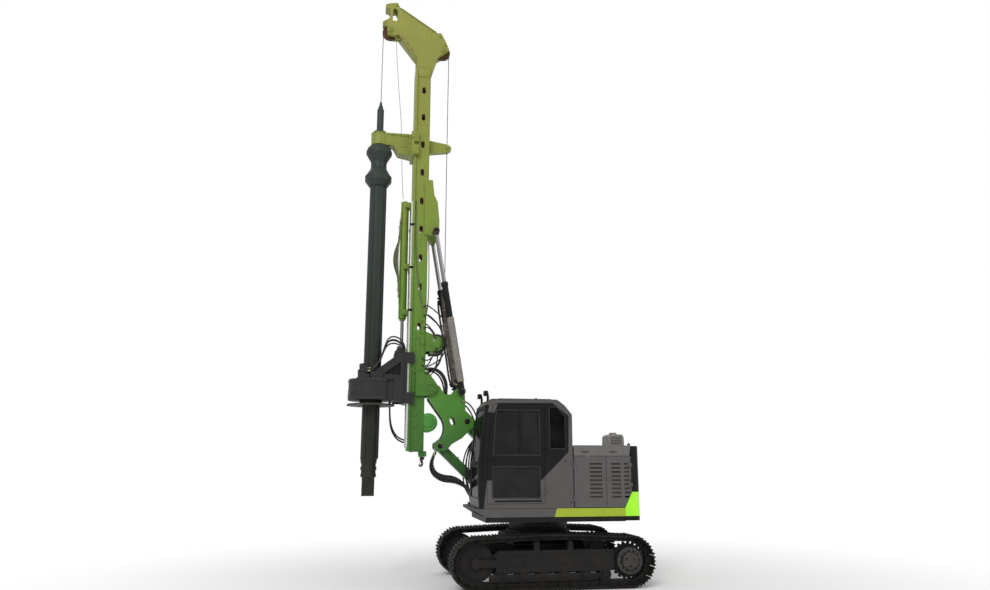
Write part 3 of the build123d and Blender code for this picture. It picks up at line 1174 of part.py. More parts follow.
# Drive hoses: loops from the gearbox's underside down and back up to the mast's side.
with BuildPart() as drive_hoses:
    for hose_x, end_x, reach in ((-298, -216, 0), (-332, -258, 40)):
        hose([(hose_x, -2475, hose_port_z), (hose_x, -2475, 2650 - reach), (hose_x, -2440, 2430 - reach),
              (hose_x, -2340, 2270 - reach), (hose_x, -2180, 2210 - reach), (end_x, -2060, 2290 - reach),
              (end_x, -2060, hose_bulkhead_z)], 14)
write(drive_hoses, "drive_hoses")

# Pivot hoses: slack loops from the mast's rear wall to the neck frame, behind the mast pivot.
with BuildPart() as pivot_hoses:
    for hose_x in (-70, -25, 25, 70):
        hose([(hose_x, mast_rear_y, 3400), (hose_x, -1800, 3400), (hose_x, -1660, 3330),
              (hose_x, -1580, 3190), (hose_x, -1560, 3020), (hose_x, -1560, 2860)], 15)
write(pivot_hoses, "pivot_hoses")

# Link hoses: the bundle that hangs under the lower link, from the neck frame's tip to the deck.
with BuildPart() as link_hoses:
    for hose_x in (-66, -22, 22, 66):
        hose([(hose_x, -1720, 2030), (hose_x, -1790, 1880), (hose_x, -1760, 1700),
              (hose_x, -1600, 1600), (hose_x, -1400, 1590), (hose_x, -1230, 1500),
              (hose_x, -1120, 1350), (hose_x, -1120, deck_top_z)], 16)
write(link_hoses, "link_hoses")
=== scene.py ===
import math
import random

import bmesh
import bpy
from mathutils import Matrix, Vector


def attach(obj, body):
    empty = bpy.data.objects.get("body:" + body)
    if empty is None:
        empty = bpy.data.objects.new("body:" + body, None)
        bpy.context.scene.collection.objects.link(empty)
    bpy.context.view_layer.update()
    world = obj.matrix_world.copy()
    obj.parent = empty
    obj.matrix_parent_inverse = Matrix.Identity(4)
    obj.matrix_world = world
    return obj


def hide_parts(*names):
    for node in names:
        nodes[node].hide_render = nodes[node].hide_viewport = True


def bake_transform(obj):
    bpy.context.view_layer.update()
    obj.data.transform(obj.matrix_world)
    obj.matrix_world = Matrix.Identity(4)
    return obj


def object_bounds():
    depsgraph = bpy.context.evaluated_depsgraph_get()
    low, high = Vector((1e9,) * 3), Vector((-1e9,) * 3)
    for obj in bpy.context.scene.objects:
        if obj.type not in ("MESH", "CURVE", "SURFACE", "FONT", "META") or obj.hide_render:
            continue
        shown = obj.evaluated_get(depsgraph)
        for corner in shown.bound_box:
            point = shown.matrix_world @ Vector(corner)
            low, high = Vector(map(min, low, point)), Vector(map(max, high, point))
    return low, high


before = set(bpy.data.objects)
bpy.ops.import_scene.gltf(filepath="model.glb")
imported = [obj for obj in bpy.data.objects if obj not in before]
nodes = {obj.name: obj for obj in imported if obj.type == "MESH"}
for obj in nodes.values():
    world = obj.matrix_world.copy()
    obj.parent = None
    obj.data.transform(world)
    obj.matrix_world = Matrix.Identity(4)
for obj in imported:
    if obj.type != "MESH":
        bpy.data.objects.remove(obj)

cad_box = [list(corner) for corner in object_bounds()]
upward, downward, rearward, forward = (0, 0, 1), (0, 0, -1), (0, 1, 0), (0, -1, 0)
to_left, to_right = (1, 0, 0), (-1, 0, 0)

# -------------------------------------------------- studio
# A pale seamless floor under soft light, and a camera standing off the machine's left front,
# at eye height and turned up to take in the whole mast.
camera = bpy.data.objects.new("camera", bpy.data.cameras.new("camera"))
bpy.context.scene.collection.objects.link(camera)
camera.data.sensor_width = 36
camera.data.lens = 28
camera.data.clip_end = 300
camera.location = (12.93, -3.0, 1.83)
camera.rotation_euler = (math.radians(102.4), 0, math.radians(80))
bpy.context.scene.camera = camera
bpy.context.scene.view_settings.view_transform = "Standard"


def colour(red, green, blue):
    """A screen colour, 0 to 255, as the shader's linear one."""
    parts = [value / 255 for value in (red, green, blue)]
    return tuple(v / 12.92 if v <= 0.04045 else ((v + 0.055) / 1.055) ** 2.4 for v in parts) + (1,)


def add(tree, kind, inputs=(), **settings):
    """A node with its settings; an input given as a socket is linked, any other value is set."""
    made = tree.nodes.new(kind)
    for key, value in settings.items():
        setattr(made, key, value)
    for key, value in dict(inputs).items():
        if isinstance(value, bpy.types.NodeSocket):
            tree.links.new(value, made.inputs[key])
        else:
            made.inputs[key].default_value = value
    return made


def sums(tree, operation, first, second=0.0, third=0.0, clamp=False):
    """One Math node's result."""
    return add(tree, "ShaderNodeMath", {0: first, 1: second, 2: third}, operation=operation,
               use_clamp=clamp).outputs[0]


def mixed(tree, share, first, second):
    """Two colours mixed by a share."""
    made = tree.nodes.new("ShaderNodeMix")
    made.data_type = "RGBA"
    for socket, value in ((made.inputs[0], share), (made.inputs[6], first),
                          (made.inputs[7], second)):
        if isinstance(value, bpy.types.NodeSocket):
            tree.links.new(value, socket)
        else:
            socket.default_value = value
    return made.outputs[2]


floor_mesh = bpy.data.meshes.new("studio_floor")
rings = bmesh.new()
bmesh.ops.create_circle(rings, cap_ends=True, segments=96, radius=60)
rings.to_mesh(floor_mesh)
rings.free()
floor = bpy.data.objects.new("studio_floor", floor_mesh)
floor.location = (0, 0, cad_box[0][2] - 0.001)
bpy.context.scene.collection.objects.link(floor)
floor_paint = bpy.data.materials.new("studio_floor")
floor_paint.use_nodes = True
tree = floor_paint.node_tree
shader = tree.nodes["Principled BSDF"]
shader.inputs["Base Color"].default_value = colour(240, 240, 240)
shader.inputs["Roughness"].default_value = 0.9
shader.inputs["Specular IOR Level"].default_value = 0.1
place = add(tree, "ShaderNodeTexCoord").outputs["Object"]
far_off = add(tree, "ShaderNodeMapRange", {"Value": add(tree, "ShaderNodeVectorMath", {0: place},
              operation="LENGTH").outputs["Value"], "From Min": 2.5, "From Max": 9.0},
              interpolation_type="SMOOTHSTEP").outputs["Result"]
ray = add(tree, "ShaderNodeLightPath")
seen = sums(tree, "MAXIMUM", ray.outputs["Is Camera Ray"],
            sums(tree, "MAXIMUM", ray.outputs["Is Glossy Ray"], ray.outputs["Is Transmission Ray"]))
white = add(tree, "ShaderNodeEmission", {"Color": (1, 1, 1, 1), "Strength": 1.0}).outputs[0]
blank = add(tree, "ShaderNodeMixShader", {0: sums(tree, "MULTIPLY", far_off, seen),
            1: shader.outputs[0], 2: white}).outputs[0]
tree.links.new(blank, tree.nodes["Material Output"].inputs["Surface"])
floor_mesh.materials.append(floor_paint)

world = bpy.data.worlds.new("studio")
bpy.context.scene.world = world
world.use_nodes = True
tree = world.node_tree
light = tree.nodes["Background"]
light.inputs["Color"].default_value = (1, 1, 1, 1)
light.inputs["Strength"].default_value = 0.62
backdrop = add(tree, "ShaderNodeBackground", {"Color": (1, 1, 1, 1), "Strength": 1.0}).outputs[0]
ray = add(tree, "ShaderNodeLightPath")
seen = sums(tree, "MAXIMUM", ray.outputs["Is Camera Ray"], ray.outputs["Is Transmission Ray"])
tree.links.new(add(tree, "ShaderNodeMixShader",
                   {0: seen, 1: light.outputs[0], 2: backdrop}).outputs[0],
               tree.nodes["World Output"].inputs["Surface"])

for lamp_name, strength, spread, turn in (("key_light", 1.25, 24, (52, 0, 62)),
                                          ("fill_light", 0.45, 50, (64, 0, 150))):
    lamp = bpy.data.objects.new(lamp_name, bpy.data.lights.new(lamp_name, "SUN"))
    lamp.data.energy = strength
    lamp.data.angle = math.radians(spread)
    lamp.rotation_euler = [math.radians(value) for value in turn]
    bpy.context.scene.collection.objects.link(lamp)


# -------------------------------------------------- ropes and hoses
# Hydraulic hoses: two layers of steel braid in black rubber, crimped into plated steel ends.
# Ropes: six-strand galvanised wire, greased. Each lies on one smooth curve between its fixings.
def finish(name, base, roughness=0.5, metallic=0.0, **sockets):
    """A new material: its tree, its shader and its Object coordinates."""
    made = bpy.data.materials.new(name)
    made.use_nodes = True
    shader = made.node_tree.nodes["Principled BSDF"]
    shader.inputs["Base Color"].default_value = colour(*base)
    shader.inputs["Roughness"].default_value = roughness
    shader.inputs["Metallic"].default_value = metallic
    for key, value in sockets.items():
        shader.inputs[key.replace("_", " ")].default_value = value
    spot = add(made.node_tree, "ShaderNodeTexCoord").outputs["Object"]
    return made, made.node_tree, shader, spot


def noise(tree, spot, scale, detail=3.0, stretch=None):
    """Noise at a scale of features a metre; stretch makes it longer along an axis."""
    if stretch:
        spot = add(tree, "ShaderNodeMapping", {"Vector": spot, "Scale": stretch}).outputs[0]
    return add(tree, "ShaderNodeTexNoise", {"Vector": spot, "Scale": scale, "Detail": detail,
               "Roughness": 0.55}).outputs["Fac"]


def between(tree, value, low, high, out_low=0.0, out_high=1.0):
    """A value run from one range to another, held at the ends."""
    return add(tree, "ShaderNodeMapRange", {"Value": value, "From Min": low, "From Max": high,
               "To Min": out_low, "To Max": out_high}).outputs["Result"]


def bump(tree, shader, height, depth):
    """Relief of a depth in metres."""
    made = add(tree, "ShaderNodeBump", {"Height": height, "Distance": depth, "Strength": 1.0})
    tree.links.new(made.outputs[0], shader.inputs["Normal"])


def rubber(name, base, dust):
    """Hose cover: matt black rubber with the cloth mark of its curing and dust caught in it."""
    made, tree, shader, spot = finish(name, base, 0.62)
    wrap = noise(tree, spot, 900, 2)
    dirt = between(tree, noise(tree, spot, 9, 5), 0.45, 0.75)
    tree.links.new(mixed(tree, sums(tree, "MULTIPLY", dirt, 0.45), colour(*base), colour(*dust)),
                   shader.inputs["Base Color"])
    tree.links.new(between(tree, dirt, 0, 1, 0.5, 0.82), shader.inputs["Roughness"])
    bump(tree, shader, wrap, 0.0006)
    return made


def metal(name, base, roughness, grain=700, stretch=None, tarnish=(60, 55, 48), amount=0.3):
    """Bare metal: fine tool marks, a little tarnish in patches."""
    made, tree, shader, spot = finish(name, base, roughness, 1.0)
    marks = noise(tree, spot, grain, 2, stretch)
    patch = between(tree, noise(tree, spot, 14, 5), 0.42, 0.72, 0, amount)
    tree.links.new(mixed(tree, patch, colour(*base), colour(*tarnish)), shader.inputs["Base Color"])
    tree.links.new(between(tree, sums(tree, "ADD", marks, patch), 0.3, 1.2, roughness * 0.7,
                           roughness * 1.6), shader.inputs["Roughness"])
    bump(tree, shader, marks, 0.0002)
    return made


hose_rubber = rubber("hose_rubber", (26, 26, 27), (92, 86, 74))
sleeved_rubber = rubber("sleeved_rubber", (96, 108, 66), (150, 146, 112))
plated_steel = metal("plated_steel", (168, 160, 132), 0.34)
wire_steel = metal("wire_steel", (128, 128, 126), 0.42, 1500, (1, 1, 0.2), (48, 44, 38), 0.6)


def smooth_route(name, points):
    """The curve of a hose or rope: one open spline with the route's points as its controls."""
    route = bpy.data.curves.new(name, "CURVE")
    route.dimensions = "3D"
    route.resolution_u = 10
    route.use_fill_caps = True
    spline = route.splines.new("NURBS")
    spline.points.add(len(points) - 1)
    for control, point in zip(spline.points, points):
        control.co = (*point, 1)
    spline.order_u = 3
    spline.use_endpoint_u = True
    return route


def length_of(line):
    """The length of a line of points."""
    return sum((b - a).length for a, b in zip(line, line[1:]))


def placed(name, mesh):
    """An object of this mesh in the scene."""
    made = bpy.data.objects.new(name, mesh)
    bpy.context.scene.collection.objects.link(made)
    return made


def shaped(made):
    """A new mesh of an object as its modifiers leave it."""
    graph = bpy.context.evaluated_depsgraph_get()
    return bpy.data.meshes.new_from_object(made.evaluated_get(graph))


def tube_on(name, points, diameter, material):
    """A round tube on its smooth route, and the line down its middle."""
    route = smooth_route(name, points)
    bare = bpy.data.objects.new(name + "_line", route)
    line_mesh = bpy.data.meshes.new_from_object(bare)
    line = [vertex.co.copy() for vertex in line_mesh.vertices]
    bpy.data.meshes.remove(line_mesh)
    route.bevel_depth = diameter / 2
    route.bevel_resolution = 3
    tube = bpy.data.meshes.new_from_object(bare)
    bpy.data.objects.remove(bare)
    bpy.data.curves.remove(route)
    tube.name = name
    tube.materials.clear()
    tube.materials.append(material)
    tube.shade_smooth()
    return placed(name, tube), line


def hose(name, points, diameter, body, blend=None, stands_for=None, rubber=hose_rubber):
    """A hose on its route; it rides on one body, or, where a blend is given, stays unattached where
    it lies.
    """
    made, line = tube_on(name, points, diameter, rubber)
    if blend:
        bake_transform(made)
    else:
        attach(made, body)
    if stands_for:
        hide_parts(stands_for)
    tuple(points[0])
    length_of(line)
    [tuple(point) for point in line]
    return made


def turned(build, profile, centre, axis, steps=24):
    """A turned part: a closed profile of (radius, distance along the axis) from a centre."""
    axis = Vector(axis).normalized()
    turn = axis.to_track_quat("Z", "Y").to_matrix()
    rows = []
    for radius, height in profile:
        if radius < 1e-6:
            rows.append([build.verts.new(Vector(centre) + axis * height)])
            continue
        row = []
        for step in range(steps):
            angle = 2 * math.pi * step / steps
            flat = Vector((radius * math.cos(angle), radius * math.sin(angle), height))
            row.append(build.verts.new(Vector(centre) + turn @ flat))
        rows.append(row)
    for low, high in zip(rows, rows[1:]):
        for step in range(steps):
            here, after = step, (step + 1) % steps
            corners = [low[here % len(low)], low[after % len(low)], high[after % len(high)],
                       high[here % len(high)]]
            corners = list(dict.fromkeys(corners))
            if len(corners) > 2:
                build.faces.new(corners)
    for row in (rows[0], rows[-1]):
        if len(row) > 2:
            build.faces.new(row)


def piece(build, name, material, body, edge=0.0):
    """The finished piece: normals outward, edges eased, one material, riding on its body."""
    bmesh.ops.remove_doubles(build, verts=build.verts, dist=1e-6)
    bmesh.ops.recalc_face_normals(build, faces=build.faces)
    if edge:
        sharp = [e for e in build.edges
                 if e.is_manifold and e.calc_face_angle(0) > math.radians(28)]
        bmesh.ops.bevel(build, geom=sharp, offset=edge, segments=2, affect="EDGES",
                        profile=0.6, clamp_overlap=True)
    mesh = bpy.data.meshes.new(name)
    build.to_mesh(mesh)
    build.free()
    mesh.materials.append(material)
    mesh.shade_smooth()
    mesh.set_sharp_from_angle(angle=math.radians(32))
    made = placed(name, mesh)
    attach(made, body)
    return made


def hose_end(build, point, direction, radius):
    """A crimped ferrule with its hexagon nut, pointing out of the port along the hose."""
    turned(build, [(radius * 1.15, 0), (radius * 1.5, radius * 0.2), (radius * 1.5, radius * 1.6),
                   (radius * 1.15, radius * 1.75)], point, direction, 6)
    turned(build, [(radius * 1.2, radius * 1.7), (radius * 1.32, radius * 1.9),
                   (radius * 1.32, radius * 2.6), (radius * 1.24, radius * 2.7),
                   (radius * 1.32, radius * 2.8), (radius * 1.32, radius * 3.5),
                   (radius * 1.24, radius * 3.6), (radius * 1.3, radius * 3.7),
                   (radius * 1.3, radius * 4.4), (radius * 1.05, radius * 4.6)], point, direction,
           14)


def end_of(build, points, which, radius):
    """A ferrule at the first (0) or last (-1) point of a hose's route, in line with it."""
    inner = 1 if which == 0 else -2
    hose_end(build, points[which], Vector(points[inner]) - Vector(points[which]), radius)


def ends_of(build, points, diameter):
    """Ferrules at both ends of a hose's route."""
    end_of(build, points, 0, diameter / 2)
    end_of(build, points, -1, diameter / 2)


kelly_y = -2.80

# Drive hoses: from the port block on the carriage down and round to the mast's bulkhead.
upper_ends, lower_ends = bmesh.new(), bmesh.new()
for number, (port_x, end_x, low) in enumerate(((-0.298, -0.216, 0), (-0.332, -0.258, 0.04))):
    points = [(port_x, -2.475, 2.85), (port_x, -2.475, 2.65 - low), (port_x, -2.44, 2.43 - low),
              (port_x, -2.34, 2.27 - low), (port_x, -2.18, 2.21 - low), (end_x, -2.06, 2.29 - low),
              (end_x, -2.06, 2.42)]
    hose(f"drive_hose_{number + 1}", points, 0.028, "drive", stands_for="drive_hoses",
         blend=("drive", "mast", (0, -2.46, 2.3), (0, -2.12, 2.3)))
    hose_end(upper_ends, points[0], downward, 0.014)
    hose_end(lower_ends, points[-1], downward, 0.014)
piece(upper_ends, "drive_hose_upper_ends", plated_steel, "drive")

# Pivot hoses: slack loops behind the mast's pivot, so that the mast can fold back over the cab.
neck_ends = bmesh.new()
for number, hose_x in enumerate((-0.07, -0.025, 0.025, 0.07)):
    sag = (-0.03, 0.01, 0.035, -0.01)[number]
    points = [(hose_x, -1.93, 3.4), (hose_x, -1.8, 3.4 + 0.6 * sag),
              (hose_x, -1.66 + 0.6 * sag, 3.33 + 0.8 * sag), (hose_x, -1.58 + sag, 3.19),
              (hose_x, -1.56 + 0.5 * sag, 3.02), (hose_x, -1.56, 2.86)]
    hose(f"pivot_hose_{number + 1}", points, 0.03, "mast", stands_for="pivot_hoses",
         blend=("neck", "mast", (0, -1.58, 2.9), (0, -1.72, 3.36)))
    hose_end(lower_ends, points[0], rearward, 0.015)
    hose_end(neck_ends, points[-1], upward, 0.015)
piece(neck_ends, "pivot_hose_ends", plated_steel, "neck")

# Link hoses: the bundle from the deck's manifold that hangs under the lower link.
deck_ends, link_ends = bmesh.new(), bmesh.new()
for number, hose_x in enumerate((-0.066, -0.022, 0.022, 0.066)):
    sag = (-0.045, 0.015, 0.045, -0.015)[number]
    points = [(hose_x, -1.72, 2.03), (hose_x, -1.79 - 0.5 * sag, 1.88),
              (hose_x, -1.76 - 0.7 * sag, 1.7 - 0.4 * sag), (hose_x, -1.6 - 0.3 * sag, 1.6 - sag),
              (hose_x, -1.4, 1.59 - sag), (hose_x, -1.23, 1.5 - 0.6 * sag), (hose_x, -1.12, 1.35),
              (hose_x, -1.12, 1.18)]
    hose(f"link_hose_{number + 1}", points, 0.032, "lower_link", stands_for="link_hoses",
         blend=("upperstructure", "lower_link", (0, -1.14, 1.3), (0, -1.7, 1.72)))
    end_of(link_ends, points, 0, 0.016)
    hose_end(deck_ends, points[-1], upward, 0.016)
piece(link_ends, "link_hose_ends", plated_steel, "lower_link")

# Drive motor hoses: up from the two motors, over in a loop, and down to the carriage's top edge.
motor_ends = bmesh.new()
for number, (side, end_x, high) in enumerate(((1, 0.115, 0), (1, 0.165, 0.05), (-1, 0.115, 0),
                                              (-1, 0.165, 0.05))):
    port_x = 0.215 + 0.05 * (number % 2)
    points = [(side * port_x, -2.885, 3.36 - high), (side * port_x, kelly_y, 3.37 - high),
              (side * port_x, -2.69, 3.46), (side * 0.245, -2.63, 3.64),
              (side * 0.235, -2.56, 3.82 + high), (side * 0.2, -2.44, 3.86 + high),
              (side * end_x, -2.32, 3.80 + high), (side * end_x, -2.262, 3.72),
              (side * end_x, -2.258, 3.64)]
    hose(f"drive_motor_hose_{number + 1}", points, 0.026, "drive")
    ends_of(motor_ends, points, 0.026)
piece(motor_ends, "drive_motor_hose_ends", plated_steel, "drive")

# Crowd hoses: sleeved hoses clamped along the crowd cylinder, with their slack bowed out in front.
for number, hose_x in enumerate((-0.06, -0.02, 0.02, 0.06)):
    bow = (1.15, 0.85, 0.55, 0.25)[number]
    points = [(hose_x, -2.388, 4.62), (hose_x, -2.40, 4.82), (hose_x, -2.408, 4.98),
              (hose_x * 1.1, -2.408 - 0.054 * bow, 5.14), (hose_x * 1.2, -2.408 - 0.074 * bow, 5.3),
              (hose_x * 1.1, -2.408 - 0.054 * bow, 5.46),
              (hose_x, -2.408, 5.62), (hose_x, -2.40, 5.8), (hose_x, -2.388, 6.0)]
    hose(f"crowd_hose_{number + 1}", points, 0.026, "mast", rubber=sleeved_rubber)
    ends_of(lower_ends, points, 0.026)

# Winch hoses: the tangle beside the main winch, from the mast's valve bank down to its foot.
winch_hoses = [(1, 0.222, 4.42, -1.60, 3.42), (1, 0.250, 4.26, -1.66, 3.30),
               (1, 0.232, 4.05, -1.74, 3.52), (-1, 0.222, 4.36, -1.62, 3.36),
               (-1, 0.250, 4.20, -1.69, 3.26), (-1, 0.236, 4.00, -1.75, 3.48)]
for number, (side, hose_x, top_z, back_y, low_z) in enumerate(winch_hoses):
    points = [(side * 0.176, -1.975, top_z), (side * hose_x, -1.94, top_z + 0.03),
              (side * hose_x, -1.85, top_z - 0.01), (side * hose_x, back_y, top_z - 0.22),
              (side * hose_x, back_y + 0.02, (top_z + low_z) / 2),
              (side * hose_x, back_y - 0.02, low_z + 0.16), (side * hose_x, -1.85, low_z),
              (side * hose_x, -1.945, low_z - 0.01), (side * 0.176, -1.985, low_z + 0.02)]
    hose(f"winch_hose_{number + 1}", points, 0.022, "mast")
piece(lower_ends, "mast_hose_ends", plated_steel, "mast")

# Neck hoses: one a side, from the neck's rear edge down in a loop to the boom.
neck_hose_ends, boom_ends = bmesh.new(), bmesh.new()
for number, side in enumerate((1, -1)):
    points = [(side * 0.20, -1.30, 2.86), (side * 0.21, -1.22, 2.83), (side * 0.205, -1.13, 2.74),
              (side * 0.19, -1.06, 2.60), (side * 0.17, -1.02, 2.46), (side * 0.15, -0.99, 2.36),
              (side * 0.118, -0.97, 2.32)]
    hose(f"neck_hose_{number + 1}", points, 0.026, "neck",
         blend=("boom", "neck", (0, -1.00, 2.40), (0, -1.20, 2.80)))
    end_of(neck_hose_ends, points, 0, 0.013)
    end_of(boom_ends, points, -1, 0.013)
piece(neck_hose_ends, "neck_hose_ends", plated_steel, "neck")

# Boom hoses: two a side, hung from the boom in front of the cab and down to the deck.
for number, (side, hose_x, slack) in enumerate(((1, 0.14, 0), (1, 0.165, 0.09), (-1, 0.14, 0),
                                                (-1, 0.165, 0.09))):
    points = [(side * 0.113, -1.03, 2.28), (side * hose_x, -1.055, 2.24),
              (side * hose_x, -1.15 - slack * 0.3, 2.08),
              (side * hose_x, -1.19 - slack * 0.6, 1.84),
              (side * hose_x, -1.17 - slack * 0.6, 1.58 - slack),
              (side * hose_x, -1.13 - slack * 0.2, 1.40 - slack * 0.6),
              (side * hose_x, -1.10, 1.30), (side * hose_x, -1.10, 1.18)]
    hose(f"boom_hose_{number + 1}", points, 0.024, "boom",
         blend=("upperstructure", "boom", (0, -1.15, 1.35), (0, -1.15, 2.1)))
    hose_end(deck_ends, points[-1], upward, 0.012)
    end_of(boom_ends, points, 0, 0.012)
piece(boom_ends, "boom_hose_ends", plated_steel, "boom")
piece(deck_ends, "deck_hose_ends", plated_steel, "upperstructure")

# Main rope: from inside the kelly's hollow inner bar up over both sheaves, down through the rear
# eye and on to the winch drum. Service rope: from the head's small front pulley to the crowd foot.
points = [(0, -2.799, 3.12), (0, -2.799, 5.6), (0, -2.799, 8.6), (0, -2.799, 9.50),
          (0, -2.797, 9.62), (0, -2.745, 9.688), (0, -2.68, 9.696), (0, -2.58, 9.653),
          (0, -2.2, 9.532), (0, -1.83, 9.415), (0, -1.7, 9.385), (0, -1.632, 9.368),
          (0, -1.588, 9.31), (0, -1.588, 9.2), (0, -1.594, 8.4), (0, -1.6, 7.4), (0, -1.603, 5.4),
          (0, -1.607, 4.2), (0, -1.607, 3.8)]
main_rope = tube_on("main_rope", points, 0.014, wire_steel)[0]
points = [(0.05, -2.563, 9.435), (0.05, -2.563, 9.37), (0.05, -2.53, 8.9), (0.05, -2.46, 8.1),
          (0.05, -2.42, 7.7), (0.05, -2.40, 6.9), (0.05, -2.36, 6.36)]
service_rope = tube_on("service_rope", points, 0.009, wire_steel)[0]
for rope in (main_rope, service_rope):
    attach(rope, "mast")

# -------------------------------------------------- tracks
# Rolled steel shoes with three grousers, each held on its link by four bolts; the links are
# forged, joined by pins. Black and brown from soil, rubbed bright where the grousers touch down.
def edge_of(tree, radius):
    """How near a corner a point is: 0 on a flat face, towards 1 at an edge."""
    eased = add(tree, "ShaderNodeBevel", {"Radius": radius}, samples=4).outputs[0]
    true = add(tree, "ShaderNodeNewGeometry").outputs["Normal"]
    facing = add(tree, "ShaderNodeVectorMath", {0: eased, 1: true}, operation="DOT_PRODUCT")
    return between(tree, facing.outputs["Value"], 0.999, 0.86)


def rubbed_steel(name, base, soil, bright, roughness, worn, scale=7):
    """Dark steel: soil in the hollows, bare metal along the edges that rub."""
    made, tree, shader, spot = finish(name, base, roughness, 0.35, Specular_IOR_Level=0.2)
    cloud = noise(tree, spot, scale, 6)
    grit = noise(tree, spot, 180, 3)
    dirty = between(tree, sums(tree, "ADD", cloud, sums(tree, "MULTIPLY", grit, 0.35)), 0.55, 0.95)
    skin = mixed(tree, dirty, colour(*base), colour(*soil))
    edges = sums(tree, "MULTIPLY", edge_of(tree, 0.006), between(tree, cloud, 0.3, 0.6, 0.2, 1))
    edges = sums(tree, "MULTIPLY", edges, worn)
    tree.links.new(mixed(tree, edges, skin, colour(*bright)), shader.inputs["Base Color"])
    tree.links.new(between(tree, sums(tree, "SUBTRACT", grit, edges), -0.4, 0.9, roughness * 0.55,
                           min(1, roughness * 1.25)), shader.inputs["Roughness"])
    tree.links.new(between(tree, edges, 0, 1, 0.25, 0.9), shader.inputs["Metallic"])
    bump(tree, shader, sums(tree, "ADD", grit, cloud), 0.0025)
    return made


track_steel = rubbed_steel("track_steel", (31, 30, 29), (46, 42, 38), (86, 82, 78), 0.66, 0.6)
frame_paint = rubbed_steel("track_frame_paint", (31, 30, 30), (44, 41, 38), (62, 60, 58), 0.58, 0.4,
                           3)


def dress(names, material):
    """A finish for CAD nodes that stay as they are."""
    for name in names:
        mesh = nodes[name].data
        if not mesh.materials:
            mesh.materials.append(material)
        for number in range(len(mesh.materials)):
            mesh.materials[number] = material


dress(("left_track", "right_track"), track_steel)
dress(("left_track_frame", "right_track_frame", "centre_frame", "slew_ring"), frame_paint)


def group_input(tree, sizes):
    """A Geometry Nodes tree's named sizes, with the geometry that it works on."""
    tree.interface.new_socket("Geometry", in_out="INPUT", socket_type="NodeSocketGeometry")
    for label, value in sizes.items():
        tree.interface.new_socket(label, in_out="INPUT",
                                  socket_type="NodeSocketFloat").default_value = value
    tree.interface.new_socket("Geometry", in_out="OUTPUT", socket_type="NodeSocketGeometry")
    return tree.nodes.new("NodeGroupInput").outputs


def joined(tree, parts):
    """Several geometries as one."""
    made = tree.nodes.new("GeometryNodeJoinGeometry")
    for part in parts:
        tree.links.new(part, made.inputs[0])
    return made.outputs[0]


def moved(tree, part, z):
    """A part of a tree, raised by z."""
    shift = add(tree, "ShaderNodeCombineXYZ", {"Z": z}).outputs[0]
    return add(tree, "GeometryNodeTransform", {"Geometry": part, "Translation": shift}).outputs[0]


def set_on_points(name, sizes, shape):
    """A tree that sets one shape on every point, turned as the point's own turn says."""
    tree = bpy.data.node_groups.new(name, "GeometryNodeTree")
    given = group_input(tree, sizes)
    turn = add(tree, "GeometryNodeInputNamedAttribute", {"Name": "turn"}, data_type="FLOAT_VECTOR")
    copies = add(tree, "GeometryNodeInstanceOnPoints", {"Points": given["Geometry"],
                 "Instance": shape(tree, given), "Rotation": turn.outputs["Attribute"]})
    solid = add(tree, "GeometryNodeRealizeInstances", {"Geometry": copies.outputs[0]}).outputs[0]
    dressed = add(tree, "GeometryNodeSetMaterial", {"Geometry": solid})
    dressed.name = "finish"
    out = tree.nodes.new("NodeGroupOutput")
    tree.links.new(dressed.outputs[0], out.inputs[0])
    return tree


def bolt_shape(tree, given):
    """A hexagon head with a chamfered top, standing on its washer."""
    radius = sums(tree, "MULTIPLY", given["Across"], 0.5)
    height = sums(tree, "MULTIPLY", given["Across"], 0.42)
    washer = add(tree, "GeometryNodeMeshCylinder", {"Vertices": 12,
                 "Radius": sums(tree, "MULTIPLY", given["Across"], 0.68),
                 "Depth": sums(tree, "MULTIPLY", given["Across"], 0.14)}).outputs["Mesh"]
    head = add(tree, "GeometryNodeMeshCylinder", {"Vertices": 6, "Radius": radius, "Depth": height})
    cap = add(tree, "GeometryNodeMeshCone", {"Vertices": 6, "Radius Bottom": radius,
              "Radius Top": sums(tree, "MULTIPLY", given["Across"], 0.39),
              "Depth": sums(tree, "MULTIPLY", given["Across"], 0.08)})
    return joined(tree, [moved(tree, washer, sums(tree, "MULTIPLY", given["Across"], 0.07)),
                         moved(tree, head.outputs["Mesh"],
                               sums(tree, "MULTIPLY", given["Across"], 0.33)),
                         moved(tree, cap.outputs["Mesh"],
                               sums(tree, "MULTIPLY", given["Across"], 0.54))])


bolts_tree = set_on_points("bolt_heads", {"Across": 0.024}, bolt_shape)


def grown(made, tree, sizes, material, body):
    """What the tree makes of an object's points or lines, as its plain mesh, riding on its body."""
    bpy.context.scene.collection.objects.link(made)
    seed = made.data
    tree.nodes["finish"].inputs["Material"].default_value = material
    step = made.modifiers.new("grow", "NODES")
    step.node_group = tree
    for item in tree.interface.items_tree:
        if item.item_type == "SOCKET" and item.in_out == "INPUT" and item.name in sizes:
            step[item.identifier] = sizes[item.name]
    bpy.context.view_layer.update()
    solid = shaped(made)
    made.modifiers.clear()
    made.data = solid
    bpy.data.meshes.remove(seed)
    solid.name = made.name
    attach(made, body)
    return made


def repeat(name, tree, places, sizes, material, body):
    """The tree's shape on each (point, facing or turn), as one plain mesh on its body."""
    mesh = bpy.data.meshes.new(name)
    mesh.from_pydata([tuple(point) for point, _ in places], [], [])
    turns = mesh.attributes.new("turn", "FLOAT_VECTOR", "POINT")
    spin = random.Random(len(places))
    for number, (_, facing) in enumerate(places):
        if isinstance(facing, Matrix):
            turn = facing.to_euler()
        else:
            turn = (Vector(facing).to_track_quat("Z", "Y").to_matrix()
                    @ Matrix.Rotation(spin.uniform(0, math.tau), 3, "Z")).to_euler()
        turns.data[number].vector = turn
    return grown(bpy.data.objects.new(name, mesh), tree, sizes, material, body)


